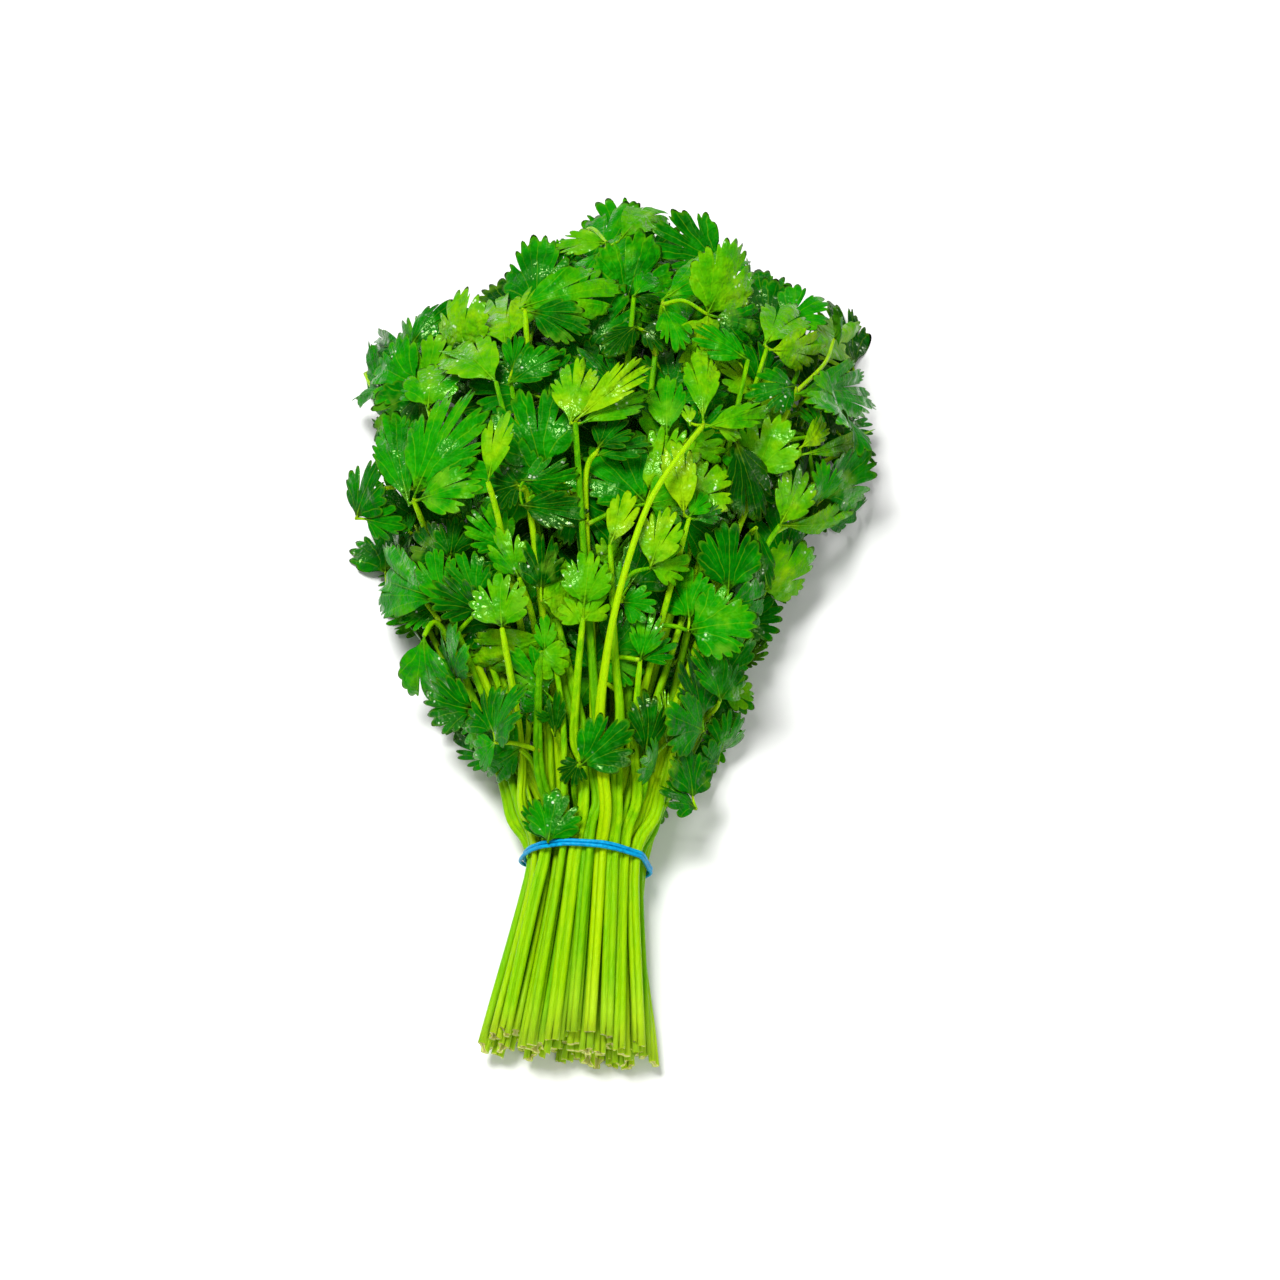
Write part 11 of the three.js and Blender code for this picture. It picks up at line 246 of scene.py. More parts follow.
def grouped_stem(soup, P, R, lobes, split, mark, seed):
    """The stem: below the band its stalks stand side by side, above it they run together as one ribbed stalk."""
    rng = np.random.default_rng(seed)
    # points round the section, closest where one stalk meets the next
    one = [-60, -50, -36, -18, 0, 18, 36, 50] if lobes == 3 else [-90, -78, -63, -47, -31, -15, 0, 15, 31, 47, 63, 78]
    sides = len(one) * lobes
    n = len(P)
    T = np.gradient(P, axis=0)
    T /= np.linalg.norm(T, axis=1)[:, None] + 1e-12
    s = np.array([0, 0, 1.0])
    ang = np.radians(np.concatenate([np.array(one) + 360.0 / lobes * q for q in range(lobes)]))
    turn0 = rng.uniform(0, 6.28)
    run = np.concatenate([[0], np.cumsum(np.linalg.norm(np.diff(P, axis=0), axis=1))])
    ends = rng.uniform(-1.3, 1.6, lobes)
    step = 2 * np.pi / lobes
    V = []
    sides_v, others = [], []
    for i in range(n):
        s = s - T[i] * (s @ T[i])
        s = s / (np.linalg.norm(s) + 1e-12)
        o = np.cross(T[i], s)
        turn = turn0 + run[i] * 0.004
        b = split[i]
        rim = section(lobes, ang, 0.0) * b + (1 - b) * (0.96 + 0.04 * np.cos(5 * ang))
        ring = P[i] + (np.cos(ang + turn)[:, None] * s + np.sin(ang + turn)[:, None] * o) * (R[i] * rim)[:, None]
        if i == 0:
            w = ((ang + step / 2) / step + 1e-9) % lobes
            k0 = np.floor(w).astype(int) % lobes
            f = w - np.floor(w)
            edge = np.clip(np.minimum(f, 1 - f) / 0.16, 0, 1)
            near = np.where(f < 0.5, (k0 - 1) % lobes, (k0 + 1) % lobes)
            shift = ends[k0] * (0.5 + 0.5 * edge) + ends[near] * (0.5 - 0.5 * edge)
            ring = ring - T[0] * shift[:, None]
            lobe_of, frame0, turn_at = k0, (s.copy(), o.copy()), turn
        V.append(ring)
    V = np.vstack(V)
    V[:, 2] = np.maximum(V[:, 2], 0.05)
    F = []
    k = np.arange(sides)
    k2 = (k + 1) % sides
    for i in range(n - 1):
        a, b = i * sides + k, i * sides + k2
        c, d = (i + 1) * sides + k2, (i + 1) * sides + k
        F.append(np.stack([a, b, c], 1))
        F.append(np.stack([a, c, d], 1))
    along = np.repeat(run / run[-1], sides)
    A = np.stack([along, np.tile(ang / (2 * np.pi), n), np.repeat(R, sides) / 3.0, np.full(n * sides, 0.5)], 1)
    s0, o0 = frame0
    mids = []
    for q in range(lobes):
        g = turn_at + q * step
        mids.append(P[0] - T[0] * (ends[q] - 0.35 * rng.uniform(0.3, 1.0)) + (math.cos(g) * s0 + math.sin(g) * o0) * R[0] * 0.5)
    mids = np.array(mids)
    rim0 = V[:sides]
    inner = rim0 + (mids[lobe_of] - rim0) * 0.34 + T[0] * 0.10
    nv = len(V)
    V = np.vstack([V, inner, mids, P[0] + T[0] * 2.4])
    A = np.vstack([A, np.tile([0, 0.45, 0.5, 1.0], (sides, 1)), np.tile([0, 1.0, 0.5, 1.0], (lobes, 1)), [[0, 1.0, 0.5, 0.5]]])
    pit = nv + sides + lobes
    F.append(np.stack([k2, k, nv + k], 1))
    F.append(np.stack([k2, nv + k, nv + k2], 1))
    extra = []
    m0 = nv + sides
    for i in range(sides):
        j = (i + 1) % sides
        extra.append((nv + j, nv + i, m0 + lobe_of[i]))
        if lobe_of[i] != lobe_of[j]:
            extra.append((nv + j, m0 + lobe_of[i], m0 + lobe_of[j]))
    # a small hollow where three stalks meet
    if lobes == 3:
        extra += [(m0, m0 + 2, pit), (m0 + 2, m0 + 1, pit), (m0 + 1, m0, pit)]
    # far end
    nv2 = len(V)
    V = np.vstack([V, P[-1] + T[-1] * R[-1] * 0.6])
    A = np.vstack([A, [[1, 0, 0.1, 0.5]]])
    e = (n - 1) * sides
    F.append(np.stack([e + k, e + k2, np.full(sides, nv2)], 1))
    F.append(np.array(extra))
    soup.add(V, np.vstack(F), 1, A, mark)


# ------------------------------------------------------------------ leaflet
def fan_topology(N):
    """A fan from the root out to the rim, its rings getting finer, both faces closed along the rim."""
    counts = [N // 4 + 1, N // 2 + 1, N + 1, N + 1, N + 1]
    start = [1]
    for c in counts[:-1]:
        start.append(start[-1] + c)
    total = start[-1] + counts[-1]
    F = []
    s = start[0]
    for i in range(counts[0] - 1):
        F.append((0, s + i, s + i + 1))
    for r in range(4):
        a, b, na, nb = start[r], start[r + 1], counts[r], counts[r + 1]
        if nb == na:
            for i in range(na - 1):
                F.append((a + i, b + i, b + i + 1))
                F.append((a + i, b + i + 1, a + i + 1))
        else:
            for i in range(na - 1):
                F.append((a + i, b + 2 * i, b + 2 * i + 1))
                F.append((a + i, b + 2 * i + 1, a + i + 1))
                F.append((a + i + 1, b + 2 * i + 1, b + 2 * i + 2))
    shared = {0}
    for st, c in zip(start, counts):
        shared |= {st, st + c - 1}
    shared |= set(range(start[-1], start[-1] + counts[-1]))
    # a triangle with all its corners on the rim would be in both faces of the blade
    F = [t for t in F if not shared.issuperset(t)]
    lower = {}
    k = total
    for i in range(total):
        if i in shared:
            lower[i] = i
        else:
            lower[i] = k
            k += 1
    G = [(lower[a], lower[c], lower[b]) for a, b, c in F]
    inner = np.array([i for i in range(total) if i not in shared])
    return np.array(F), np.array(G), counts, start, total, inner


TOPO = {n: fan_topology(n) for n in (80, 144)}
RINGS = [0.30, 0.56, 0.78, 0.92, 1.0]


def outline(kind, rng, L, ratio):
    """Rim radius and bare-blade radius against angle from the root: a soft fan edged with rounded teeth, parted into lobes by thin slits."""
    half = float(np.clip(0.85 * ratio + 0.42, 0.78, 1.36)) * rng.uniform(0.94, 1.06)
    if kind == 0:
        cuts = [-rng.uniform(0.24, 0.38), rng.uniform(0.24, 0.38)]
        deep = [rng.uniform(0.36, 0.60), rng.uniform(0.32, 0.56)]
        dome = rng.uniform(0.07, 0.13)
    elif kind == 1:
        cuts = [-rng.uniform(0.26, 0.44), rng.uniform(0.22, 0.42)]
        deep = [rng.uniform(0.24, 0.46), rng.uniform(0.26, 0.48)]
        dome = rng.uniform(0.04, 0.09)
    else:
        cuts = [-rng.uniform(0.52, 0.62), -rng.uniform(0.14, 0.24), rng.uniform(0.14, 0.26), rng.uniform(0.52, 0.62)]
        deep = [rng.uniform(0.20, 0.38), rng.uniform(0.34, 0.58), rng.uniform(0.32, 0.56), rng.uniform(0.20, 0.38)]
        dome = rng.uniform(0.06, 0.12)
    edges = [-1.0] + cuts + [1.0]
    droop = rng.uniform(0.36, 0.52), rng.uniform(0.36, 0.52)
    lean = rng.uniform(-0.06, 0.06)

    def bare(x):
        side = np.where(x < 0, droop[0], droop[1])
        r = 1 - side * np.abs(x) ** 1.9 + lean * x
        for a, b in zip(edges[:-1], edges[1:]):
            m = (x >= a) & (x <= b)
            r[m] *= 1 - dome * np.abs(2 * (x[m] - a) / (b - a) - 1) ** 2
        # the outer corners are rounded off
        r *= 1 - 0.34 * np.clip((np.abs(x) - 0.84) / 0.16, 0, 1) ** 1.5
        return r

    # teeth of uneven width along each lobe
    bite = float(np.clip(3.2 / L, 0.12, 0.23)) * rng.uniform(0.8, 1.25)
    marks, size = [-1.0], []
    for a, b in zip(edges[:-1], edges[1:]):
        n = max(2, int(round((b - a) * half * L * 0.80 / rng.uniform(2.7, 3.7))))
        w = rng.uniform(0.65, 1.35, n)
        w = np.cumsum(w / w.sum()) * (b - a) + a
        marks += list(w)
        size += list(rng.uniform(0.6, 1.35, n))
    marks = np.array(marks)
    size = np.array(size)
    slant = rng.uniform(-0.22, 0.22)

    def rim(x):
        k = np.clip(np.searchsorted(marks, x, "right") - 1, 0, len(size) - 1)
        u = (x - marks[k]) / (marks[k + 1] - marks[k])
        u = np.clip(u, 0, 1) ** (1 + slant * np.sign(x))
        r = bare(x) * (1 - bite * size[k] * (1 - np.sin(np.pi * u) ** 0.80))
        for c, d in zip(cuts, deep):
            r = r * (1 - d * np.exp(-np.abs((x - c) / 0.034) ** 1.2))
        return r

    mids = [(a + b) / 2 for a, b in zip(edges[:-1], edges[1:])]
    return half, rim, bare, mids, edges, deep


def leaflet(soup, l, hub, seed):
    rng = np.random.default_rng(seed)
    root, tip, facing = np.array(l[0:3]), np.array(l[3:6]), np.array(l[6:9])
    width, arch, fold, kind, shade, outer = l[9], l[10], l[11], int(l[12]), int(l[13]), int(l[14])
    along = tip - root
    L = np.linalg.norm(along)
    along /= L
    facing = unit(facing - along * (facing @ along))
    across = np.cross(along, facing)
    grow_w, grow_l = (1.08, 1.03) if outer else (1.15, 1.06)
    N = 144 if outer else 80
    F, G, counts, start, total, inner = TOPO[N]
    half, rim, bare, mids, edges, deep = outline(kind, rng, L, width / L)
    xs, ss = [np.array([0.0])], [np.array([0.0])]
    for c, s in zip(counts, RINGS):
        xs.append(np.linspace(-1, 1, c))
        ss.append(np.full(c, s))
    x = np.concatenate(xs)
    s = np.concatenate(ss)
    full = np.linspace(-1, 1, N + 1)
    Rf, Bf = rim(full), bare(full)
    th = full * half
    sx, sy = 1.0 / (2 * np.max(np.abs(np.sin(th) * Rf))), 1.0 / np.max(np.cos(th) * Rf)
    # inner rings keep to the bare blade, and only a slit that reaches them cuts in
    r = np.where(s >= 1, np.interp(x, full, Rf), np.minimum(np.interp(x, full, Bf) * s, np.interp(x, full, Rf) * (0.97 + 0.03 * s)))
    # the sides run in to the root in a soft hollow
    t = x * half * (0.52 + 0.48 * np.clip(r / np.maximum(np.interp(x, full, Bf), 0.2), 0, 1) ** 0.8)
    a = np.sin(t) * r * sx
    b = np.cos(t) * r * sy
    # shape out of the flat: arch, fold, each lobe leaning its own way, a slow wave along the rim
    curl = rng.uniform(-0.16, 0.05)
    out = np.clip(r, 0, 1)
    lean = np.zeros_like(x)
    for k, m in enumerate(mids):
        wide = edges[k + 1] - edges[k]
        inside = (x >= edges[k]) & (x <= edges[k + 1])
        free = max(deep[k - 1] if k else 0.0, deep[k] if k < len(deep) else 0.0)
        rise = np.clip((out - (1 - free)) / max(free, 0.05), 0, 1)
        lean[inside] += (rng.uniform(-1, 1) * 0.085 * (2 * (x[inside] - m) / wide) + rng.uniform(-1, 1) * 0.035) * rise[inside] ** 1.4
    ruffle = np.sin(x * rng.uniform(3.2, 5.8) + rng.uniform(0, 6)) * 0.050 + np.sin(x * rng.uniform(8, 13) + rng.uniform(0, 6)) * 0.024
    h = arch * L * 4 * b * (1 - b) + fold * width * 0.5 * (np.abs(a) * 2) ** 1.5
    h = h + L * (curl * out ** 3 + lean + ruffle * out ** 2.2)
    # the midrib lies in a faint trough
    h = h - 0.007 * L * np.exp(-(x / 0.10) ** 2) * out * (1.1 - out) * 2
    h = h + rng.uniform(-0.14, 0.14) * width * a * b
    P = root + along * (L * grow_l * b)[:, None] + across * (width * grow_w * a)[:, None] + facing * h[:, None]
    thick = 0.15 * np.clip(1.15 - s, 0.25, 1)
    up = P.copy()
    up[inner] += facing * thick[inner][:, None]
    low = P[inner] - facing * thick[inner][:, None]
    V = np.vstack([up, low])
    V[:, 2] = np.maximum(V[:, 2], 0.06)
    A_top = np.stack([(x + 1) / 2, r, np.clip(r / np.maximum(np.interp(x, full, Rf), 0.05), 0, 1), np.ones_like(s)], 1)
    A_low = A_top[inner].copy()
    A_low[:, 3] = 0.0
    A = np.vstack([A_top, A_low])
    mark = [shade / 4.0, rng.uniform(), rng.uniform(), min(L / 40.0, 1)]
    soup.add(V, np.vstack([F, G]), 0, A, mark)
    # midrib: a fine ridge that fades out along the blade
    k = np.linspace(0, 0.5, 5)
    rb = arch * L * 4 * k * (1 - k) - 0.007 * L * k * (1.1 - k) * 2 + L * curl * k ** 3
    M = root + along * (L * k)[:, None] + facing * (rb - 0.10)[:, None]
    M[0] -= along * 0.3
    m_marks = list(mark)
    tube(soup, M, np.linspace(0.36, 0.10, 5), 5, 0, m_marks, cap0=False, cap1=True, fixed=(0.5, 0.12, 0.3, 1.0))
    # its own short stalk
    d = np.linalg.norm(root - hub)
    if d > 0.7:
        mid = (hub + root) / 2 + facing * (-0.04 * d)
        Q = np.array([hub - unit(root - hub) * 0.3, mid, root + along * 0.8])
        tube(soup, catmull(Q, 4), np.linspace(0.48, 0.38, 9), 6, 1, [shade / 4.0, rng.uniform(), 0.6, 0.9], cap0=False, cap1=True)


# ------------------------------------------------------------------ pieces
def build(soup, name, mats):
    V = np.vstack(soup.v) * MM
    F = np.vstack(soup.f)
    me = bpy.data.meshes.new(name)
    me.vertices.add(len(V))
    me.vertices.foreach_set("co", V.astype(np.float32).ravel())
    me.loops.add(len(F) * 3)
    me.loops.foreach_set("vertex_index", F.astype(np.int32).ravel())
    me.polygons.add(len(F))
    me.polygons.foreach_set("loop_start", np.arange(0, len(F) * 3, 3, dtype=np.int32))
    me.polygons.foreach_set("material_index", np.concatenate(soup.m).astype(np.int32))
    me.polygons.foreach_set("use_smooth", np.ones(len(F), dtype=bool))
    for key, data in (("form", soup.a), ("tint", soup.b)):
        at = me.attributes.new(key, "FLOAT_COLOR", "POINT")
        at.data.foreach_set("color", np.vstack(data).astype(np.float32).ravel())
    me.update()
    me.validate()
    ob = bpy.data.objects.new(name, me)
    bpy.context.scene.collection.objects.link(ob)
    for m in mats:
        me.materials.append(m)
    return ob


# ------------------------------------------------------------------ materials
def srgb(r, g, b):
    f = lambda c: ((c / 255 + 0.055) / 1.055) ** 2.4 if c > 10 else c / 255 / 12.92
    return (f(r), f(g), f(b), 1.0)


def new_mat(name):
    m = bpy.data.materials.new(name)
    m.use_nodes = True
    nt = m.node_tree
    nt.nodes.clear()
    out = nt.nodes.new("ShaderNodeOutputMaterial")
    p = nt.nodes.new("ShaderNodeBsdfPrincipled")
    nt.links.new(p.outputs[0], out.inputs[0])
    return m, nt, p


class Net:
    def __init__(self, nt):
        self.nt = nt

    def node(self, kind, **kw):
        n = self.nt.nodes.new(kind)
        for k, v in kw.items():
            setattr(n, k, v)
        return n

    def put(self, socket, v):
        if isinstance(v, (int, float)):
            socket.default_value = v
        elif isinstance(v, tuple):
            socket.default_value = v
        else:
            self.nt.links.new(v, socket)

    def math(self, op, a, b=None, c=None, clamp=False):
        n = self.node("ShaderNodeMath", operation=op, use_clamp=clamp)
        self.put(n.inputs[0], a)
        if b is not None:
            self.put(n.inputs[1], b)
        if c is not None:
            self.put(n.inputs[2], c)
        return n.outputs[0]

    def mix(self, f, a, b, blend="MIX"):
        n = self.node("ShaderNodeMix", data_type="RGBA", blend_type=blend, clamp_factor=True)
        self.put(n.inputs["Factor"], f)
        self.put(n.inputs[6], a)
        self.put(n.inputs[7], b)
        return n.outputs[2]

    def attr(self, name):
        n = self.node("ShaderNodeAttribute", attribute_name=name)
        sep = self.node("ShaderNodeSeparateColor")
        self.nt.links.new(n.outputs["Color"], sep.inputs[0])
        return sep.outputs[0], sep.outputs[1], sep.outputs[2], n.outputs["Alpha"]

    def noise(self, vec, scale, detail=2.0, rough=0.5):
        n = self.node("ShaderNodeTexNoise")
        if vec is not None:
            self.nt.links.new(vec, n.inputs["Vector"])
        n.inputs["Scale"].default_value = scale
        n.inputs["Detail"].default_value = detail
        n.inputs["Roughness"].default_value = rough
        return n.outputs["Fac"]

    def span(self, v, a, b, lo=0.0, hi=1.0, smooth=True):
        n = self.node("ShaderNodeMapRange", interpolation_type="SMOOTHSTEP" if smooth else "LINEAR", clamp=True) if smooth else self.node("ShaderNodeMapRange", clamp=True)
        self.put(n.inputs["Value"], v)
        n.inputs["From Min"].default_value = a
        n.inputs["From Max"].default_value = b
        n.inputs["To Min"].default_value = lo
        n.inputs["To Max"].default_value = hi
        return n.outputs["Result"]

    def ramp(self, v, stops):
        n = self.node("ShaderNodeValToRGB")
        el = n.color_ramp.elements
        while len(el) > 1:
            el.remove(el[-1])
        el[0].position, el[0].color = stops[0]
        for p, c in stops[1:]:
            e = el.new(p)
            e.color = c
        self.put(n.inputs[0], v)
        return n.outputs[0]


def leaf_material():
    m, nt, p = new_mat("coriander_leaf")
    k = Net(nt)
    x, rad, s, top = k.attr("form")
    shade, r1, r2, size = k.attr("tint")
    obj = k.node("ShaderNodeTexCoord").outputs["Object"]
    # shade of the blade, drifting a little over each leaflet
    drift = k.noise(obj, 85.0, 3.0, 0.6)
    v = k.math("ADD", shade, k.math("MULTIPLY", k.math("SUBTRACT", r1, 0.5), 0.20))
    v = k.math("ADD", v, k.math("MULTIPLY", k.math("SUBTRACT", drift, 0.5), 0.62))
    v = k.math("ADD", v, k.math("MULTIPLY", k.math("SUBTRACT", k.noise(obj, 240.0, 2.0), 0.5), 0.50), clamp=True)
    base = k.ramp(v, [
        (0.0, srgb(0, 66, 0)),
        (0.25, srgb(0, 104, 0)),
        (0.5, srgb(18, 136, 0)),
        (0.75, srgb(84, 162, 0)),
        (1.0, srgb(138, 186, 4)),
    ])
    # veins spread like a fan from the root, then fork
    cx = k.math("SUBTRACT", x, 0.5)
    wav = k.math("MULTIPLY", k.math("SUBTRACT", k.noise(obj, 300.0, 1.0), 0.5), 0.045)
    xx = k.math("ADD", cx, wav)

    def lines(count, width):
        fr = k.math("ABSOLUTE", k.math("SUBTRACT", k.math("FRACT", k.math("ADD", k.math("MULTIPLY", xx, float(count)), 100.5)), 0.5))
        wd = k.math("DIVIDE", width * count, k.math("ADD", rad, 0.12))
        return k.math("SUBTRACT", 1.0, k.math("DIVIDE", fr, wd), clamp=True)

    main = lines(5, 0.0050)
    fork = k.math("MULTIPLY", lines(15, 0.0028), k.span(rad, 0.30, 0.55))
    vein = k.math("MAXIMUM", main, k.math("MULTIPLY", fork, 0.6))
    vein = k.math("MULTIPLY", vein, k.span(s, 0.80, 1.0, 1.0, 0.15))
    vein = k.math("MAXIMUM", vein, k.span(rad, 0.04, 0.20, 0.85, 0.0))
    pale = k.mix(0.55, base, srgb(158, 204, 24))
    col = k.mix(k.math("MULTIPLY", vein, 0.42), base, pale)
    # mottling, a slightly lighter rim, a soft pale painted sheen on some blades
    fine = k.noise(obj, 620.0, 3.0, 0.6)
    col = k.mix(k.span(fine, 0.40, 0.64, 0.0, 0.34), col, k.mix(1.0, col, (0.55, 0.70, 0.40, 1), "MULTIPLY"))
    col = k.mix(k.span(s, 0.90, 1.0, 0.0, 0.30), col, k.mix(0.5, col, srgb(150, 200, 20)))
    # painted sheen: soft pale patches on some blades stand in for light glancing off them
    painted_sheen = k.math("MULTIPLY", k.span(k.noise(obj, 130.0, 2.0), 0.52, 0.70), k.span(r2, 0.60, 1.0, 0.0, 0.36))
    col = k.mix(painted_sheen, col, srgb(124, 176, 36))
    # water: fine specks gathered in wet patches, painted near-white as glints of light on the drops
    wet = k.span(k.noise(obj, 95.0, 2.0), 0.52, 0.64)
    cells = k.node("ShaderNodeTexVoronoi", feature="F1")
    nt.links.new(obj, cells.inputs["Vector"])
    cells.inputs["Scale"].default_value = 560.0
    droplet_and_glint = k.span(cells.outputs["Distance"], 0.14, 0.30, 1.0, 0.0)
    pick = k.span(k.noise(obj, 360.0, 1.0), 0.56, 0.62)
    droplet_and_glint = k.math("MULTIPLY", k.math("MULTIPLY", droplet_and_glint, wet), k.math("MULTIPLY", pick, top))
    # painted glints: the specks are coloured near-white for light caught by the water drops
    col = k.mix(k.math("MULTIPLY", droplet_and_glint, 0.80), col, srgb(232, 246, 218))
    # the underside is paler and greyer
    under = k.mix(0.30, col, srgb(92, 150, 22))
    col = k.mix(top, under, col)
    k.put(p.inputs["Base Color"], col)
    rough = k.math("SUBTRACT", 0.47, k.math("MULTIPLY", wet, 0.24))
    rough = k.math("SUBTRACT", rough, k.math("MULTIPLY", droplet_and_glint, 0.28), clamp=True)
    k.put(p.inputs["Roughness"], rough)
    k.put(p.inputs["Specular IOR Level"], k.math("ADD", 0.05, k.math("MULTIPLY", wet, 0.66)))
    p.inputs["Specular Tint"].default_value = (0.60, 1.0, 0.34, 1.0)
    hgt = k.math("MULTIPLY", k.noise(obj, 330.0, 2.0, 0.55), 1.15)
    b = k.node("ShaderNodeBump")
    b.inputs["Strength"].default_value = 1.0
    b.inputs["Distance"].default_value = 0.0013
    nt.links.new(hgt, b.inputs["Height"])
    nt.links.new(b.outputs[0], p.inputs["Normal"])
    return m


def stem_material():
    m, nt, p = new_mat("coriander_stem")
    k = Net(nt)
    along, rnd, rad, cut = k.attr("form")
    shade, r1, tipness, r3 = k.attr("tint")
    tc = k.node("ShaderNodeTexCoord").outputs["Object"]
    mp = k.node("ShaderNodeMapping")
    mp.inputs["Scale"].default_value = (1.0, 0.03, 1.0)
    nt.links.new(tc, mp.inputs["Vector"])
    streak = k.noise(mp.outputs[0], 2300.0, 2.0, 0.6)
    broad = k.noise(mp.outputs[0], 620.0, 2.0)
    v = k.math("ADD", k.math("MULTIPLY", r1, 0.40), k.math("MULTIPLY", broad, 0.60))
    low = k.ramp(v, [
        (0.24, srgb(88, 164, 0)),
        (0.42, srgb(118, 180, 0)),
        (0.58, srgb(138, 188, 0)),
        (0.80, srgb(162, 200, 0)),
    ])
    high = k.ramp(v, [
        (0.26, srgb(64, 144, 0)),
        (0.46, srgb(108, 176, 0)),
        (0.70, srgb(154, 202, 4)),
    ])
    f = k.math("MAXIMUM", k.span(along, 0.30, 0.85), tipness)
    col = k.mix(f, low, high)
    # darker streaks along the stem: fine striation, partly painted shade in the grooves between the fine stalks
    col = k.mix(k.span(streak, 0.42, 0.64, 0.0, 0.34), col, k.mix(1.0, col, (0.56, 0.84, 0.22, 1), "MULTIPLY"))
    # paler and yellower close to the cut
    col = k.mix(k.span(along, 0.0, 0.14, 0.45, 0.0), col, srgb(186, 212, 48))
    # cut faces: a pale rim round darker, wetter pith
    isc = k.span(cut, 0.55, 0.95)
    pith = k.ramp(rnd, [
        (0.0, srgb(240, 242, 186)),
        (0.40, srgb(222, 224, 142)),
        (0.85, srgb(178, 184, 84)),
    ])
    pith = k.mix(k.span(k.noise(tc, 1500.0, 2.0), 0.45, 0.65, 0.0, 0.5), pith, srgb(184, 172, 104))
    col = k.mix(isc, col, pith)
    k.put(p.inputs["Base Color"], col)
    k.put(p.inputs["Roughness"], k.span(broad, 0.35, 0.65, 0.30, 0.50))
    p.inputs["Specular IOR Level"].default_value = 0.14
    p.inputs["Specular Tint"].default_value = (0.80, 1.0, 0.20, 1.0)
    p.inputs["Subsurface Weight"].default_value = 0.45
    p.inputs["Subsurface Radius"].default_value = (0.8, 1.0, 0.05)
    p.inputs["Subsurface Scale"].default_value = 0.0026
    b = k.node("ShaderNodeBump")
    b.inputs["Strength"].default_value = 0.7
    b.inputs["Distance"].default_value = 0.0004
    nt.links.new(streak, b.inputs["Height"])
    nt.links.new(b.outputs[0], p.inputs["Normal"])
    return m


def band_material():
    m, nt, p = new_mat("elastic_band_rubber")
    k = Net(nt)
    along, rnd, rad, cut = k.attr("form")
    tc = k.node("ShaderNodeTexCoord").outputs["Object"]
    n1 = k.noise(tc, 900.0, 2.0)
    col = k.ramp(k.math("ADD", n1, k.math("MULTIPLY", cut, 0.0)), [
        (0.3, srgb(0, 122, 176)),
        (0.6, srgb(0, 156, 208)),
        (0.8, srgb(4, 180, 226)),
    ])
    k.put(p.inputs["Base Color"], col)
    k.put(p.inputs["Roughness"], k.span(n1, 0.3, 0.7, 0.28, 0.42))
    p.inputs["Specular IOR Level"].default_value = 0.25
    p.inputs["Specular Tint"].default_value = (0.4, 0.9, 1.0, 1.0)
    p.inputs["Subsurface Weight"].default_value = 0.1
    p.inputs["Subsurface Radius"].default_value = (0.1, 0.6, 1.0)
    p.inputs["Subsurface Scale"].default_value = 0.0008
    b = k.node("ShaderNodeBump")
    b.inputs["Strength"].default_value = 0.3
    b.inputs["Distance"].default_value = 0.0002
    nt.links.new(k.noise(tc, 2600.0, 2.0), b.inputs["Height"])
    nt.links.new(b.outputs[0], p.inputs["Normal"])
    return m


def floor_material():
    m, nt, p = new_mat("pale_floor")
    k = Net(nt)
    tc = k.node("ShaderNodeTexCoord").outputs["Object"]
    k.put(p.inputs["Base Color"], k.ramp(k.noise(tc, 3.0, 2.0), [(0.3, (0.88, 0.88, 0.87, 1)), (0.7, (0.92, 0.92, 0.91, 1))]))
    p.inputs["Roughness"].default_value = 0.85
    p.inputs["Specular IOR Level"].default_value = 0.2
    return m


LEAF, STEM, BAND = leaf_material(), stem_material(), band_material()
LONG_STEM = "sprig_04"  # the long pale stem that leans across the top of the bunch

# ------------------------------------------------------------------ sprigs
for i, (stem, leaves) in enumerate(SPRIGS):
    name = "sprig_%02d" % (i + 1)
    rng = np.random.default_rng(100 + i)
    soup = Soup()
    S = np.array(stem)
    C = catmull(S, 6)
    end = C[-1, :3]
    mark = [rng.uniform(), rng.uniform(), 0.0, rng.uniform()]
    P = eased(C[:, :3])
    # stems swell a little where the band does not hold them, and taper to the head
    R = C[:, 3] * 1.18 + 0.26
    R[-1] *= 0.8
    split = np.clip((BAND_Y + 62 - P[:, 1]) / 50, 0, 1)
    split = split * split * (3 - 2 * split)
    R = R * (1 - 0.30 * (1 - split))
    if name == LONG_STEM:
        mark[1] = 1.3
        R = R * (1 - 0.10 * (1 - split))
    grouped_stem(soup, P, R, 3 if rng.random() < 0.68 else 2, split, mark, 4000 + i)
    for j, (stalk, hub_at, leaflets) in enumerate(leaves):
        hub = np.array(hub_at, float)
        if stalk:
            B = catmull(np.array(stalk), 6)
            n = len(B)
            tube(soup, B, np.linspace(0.76, 0.52, n), 7, 1, [rng.uniform(), rng.uniform(), 0.55, 0.8], rib=0.04, ribs=3, cap0=False)
        for q, l in enumerate(leaflets):
            leaflet(soup, l, hub, 7919 * (i + 1) + 97 * j + q)
    ob = build(soup, "look_" + name, [LEAF, STEM])
    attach(ob, "root")
    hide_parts(name)

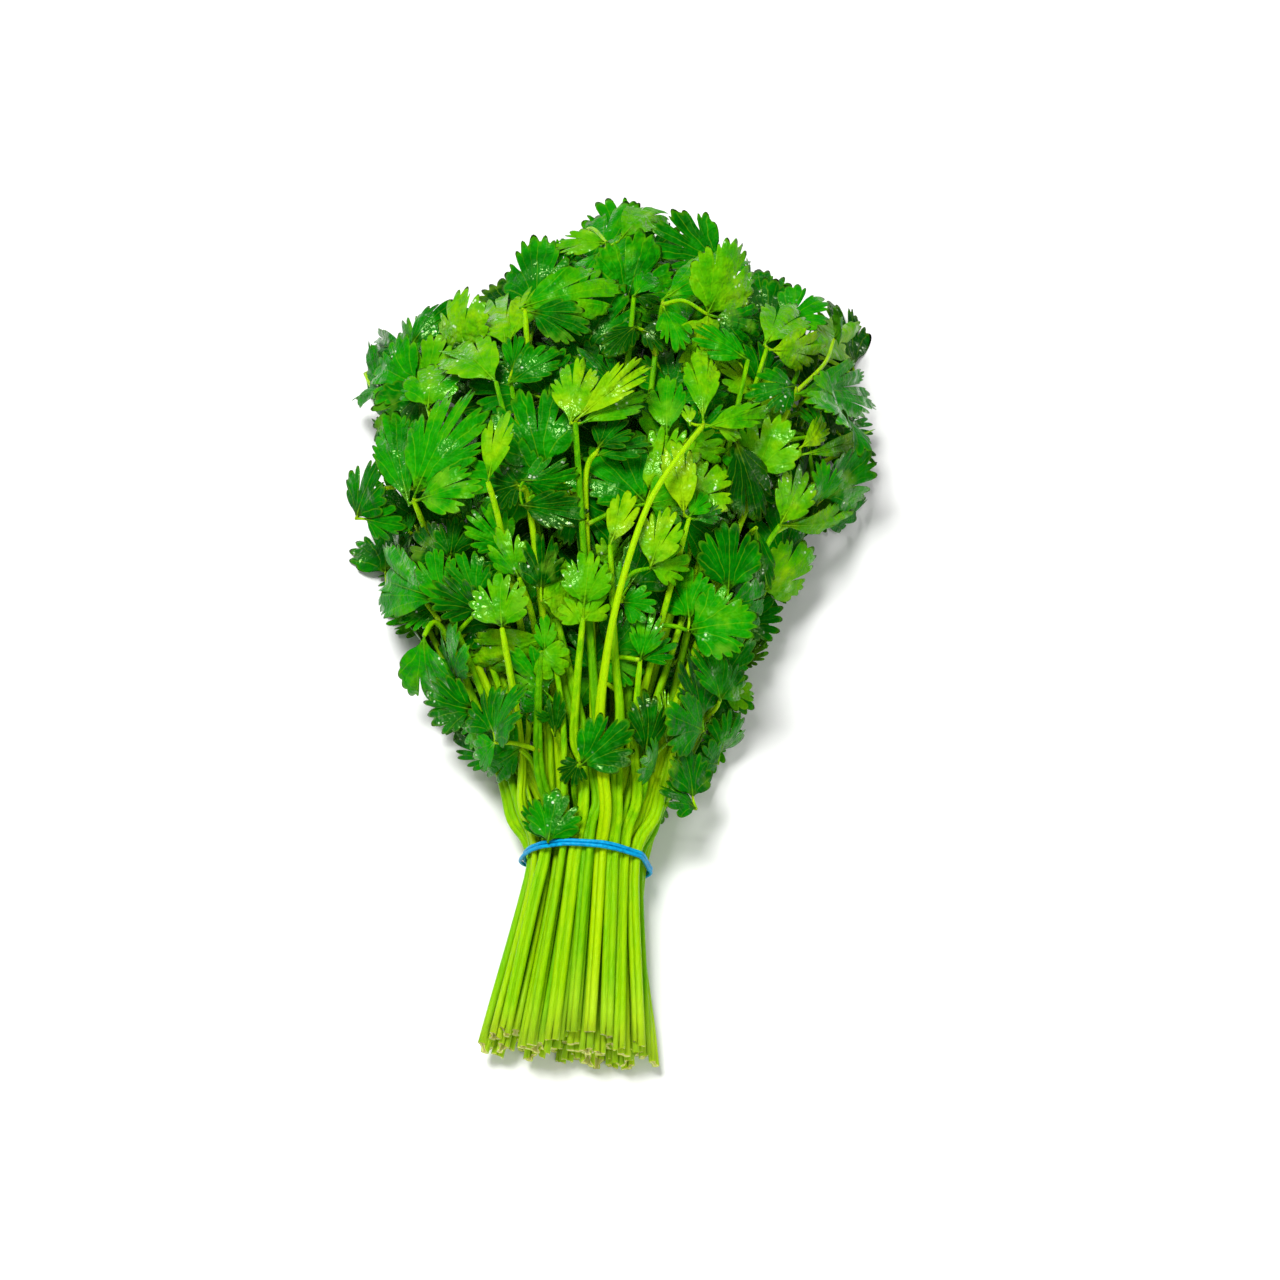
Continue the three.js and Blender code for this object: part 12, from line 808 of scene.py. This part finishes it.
# ------------------------------------------------------------------ band: one loop wound twice
CROSS_AT, CROSS_HALF, LIFT, PITCH, STRAND = 0.57, 0.07, 1.3, 0.56, 0.56
loop = np.array(BAND_LOOP)
n = len(loop)
ctr = loop.mean(0)
line = []
for turn in range(2):
    for i in range(n):
        share = i / n
        d = (share - CROSS_AT) / CROSS_HALF
        u = min(max((d + 1) / 2, 0), 1)
        swap = u * u * (3 - 2 * u)
        side = 1 - 2 * swap if turn == 0 else 2 * swap - 1
        lift = LIFT * 0.5 * (1 + math.cos(math.pi * d / 1.6)) if turn == 1 and abs(d) < 1.6 else 0.0
        o = unit([loop[i, 0] - ctr[0], (loop[i, 1] - ctr[1]) * 1.5])
        wav = 0.05 * math.sin(i * 0.9 + turn * 2.1)
        line.append([loop[i, 0] + o[0] * lift, BAND_Y + side * PITCH + wav, loop[i, 1] + o[1] * lift])
line = np.array(line)
per = 3
m_ = len(line)
smooth = []
for i in range(m_):
    a, b, c, d = line[i - 1], line[i], line[(i + 1) % m_], line[(i + 2) % m_]
    for q in range(per):
        t = q / per
        smooth.append(0.5 * (2 * b + (-a + c) * t + (2 * a - 5 * b + 4 * c - d) * t * t + (-a + 3 * b - 3 * c + d) * t ** 3))
smooth = np.array(smooth)
m_ = len(smooth)
sides = 10
V = []
for i in range(m_):
    T = unit(smooth[(i + 1) % m_] - smooth[i - 1])
    y = np.array([0, 1.0, 0])
    y = unit(y - T * (y @ T))
    o = np.cross(T, y)
    for q in range(sides):
        g = 2 * math.pi * q / sides
        V.append(smooth[i] + (y * math.cos(g) + o * math.sin(g)) * STRAND)
F = []
for i in range(m_):
    for q in range(sides):
        a, b = i * sides + q, i * sides + (q + 1) % sides
        c, d = ((i + 1) % m_) * sides + q, ((i + 1) % m_) * sides + (q + 1) % sides
        F += [(a, b, d), (a, d, c)]
soup = Soup()
A = np.stack([np.repeat(np.arange(m_) / m_, sides), np.tile(np.arange(sides) / sides, m_), np.full(m_ * sides, 0.2), np.full(m_ * sides, 0.5)], 1)
soup.add(np.array(V), np.array(F), 0, A, [0.5, 0.5, 0.5, 0.5])
ob = build(soup, "look_elastic_band", [BAND])
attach(ob, "root")
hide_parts("elastic_band")

# ------------------------------------------------------------------ floor, light, camera
fm = bpy.data.meshes.new("floor")
fm.from_pydata([(-6, -6, 0), (6, -6, 0), (6, 6, 0), (-6, 6, 0)], [], [(0, 1, 2, 3)])
floor = bpy.data.objects.new("floor", fm)
fm.materials.append(floor_material())
bpy.context.scene.collection.objects.link(floor)
floor.location.z = -0.0002

world = bpy.data.worlds.new("studio")
bpy.context.scene.world = world
world.use_nodes = True
bg = world.node_tree.nodes.get("Background") or world.node_tree.nodes.new("ShaderNodeBackground")
bg.inputs["Color"].default_value = (1, 1, 1, 1)
bg.inputs["Strength"].default_value = 0.31


def area(name, loc, aim, size, power, color=(1, 1, 1)):
    d = bpy.data.lights.new(name, "AREA")
    d.energy = power
    d.size = size
    d.color = color
    o = bpy.data.objects.new(name, d)
    bpy.context.scene.collection.objects.link(o)
    v = unit(np.array(loc) - np.array(aim))
    x = unit(np.cross([0, 1, 0.001], v))
    y = np.cross(v, x)
    o.matrix_world = Matrix([[x[0], y[0], v[0], loc[0]], [x[1], y[1], v[1], loc[1]], [x[2], y[2], v[2], loc[2]], [0, 0, 0, 1]])
    return o


area("key", (-0.30, 0.10, 1.25), (0, 0.02, 0.03), 0.45, 19.0)
area("fill", (0.5, -0.9, 0.9), (0, 0.0, 0.03), 0.9, 5.5)

cam = bpy.data.cameras.new("camera")
cam.lens = 77.597
cam.sensor_width = 36.0
cam.clip_start = 0.01
camera = bpy.data.objects.new("camera", cam)
bpy.context.scene.collection.objects.link(camera)
camera.matrix_world = Matrix([[0.996195, -0.076954, 0.040917, 0.048465], [0.087156, 0.879588, -0.467685, -0.397057], [0.0, 0.469472, 0.882948, 0.735968], [0.0, 0.0, 0.0, 1.0]])
bpy.context.scene.camera = camera
bpy.context.scene.view_settings.view_transform = "Standard"
bpy.context.scene.view_settings.look = "None"
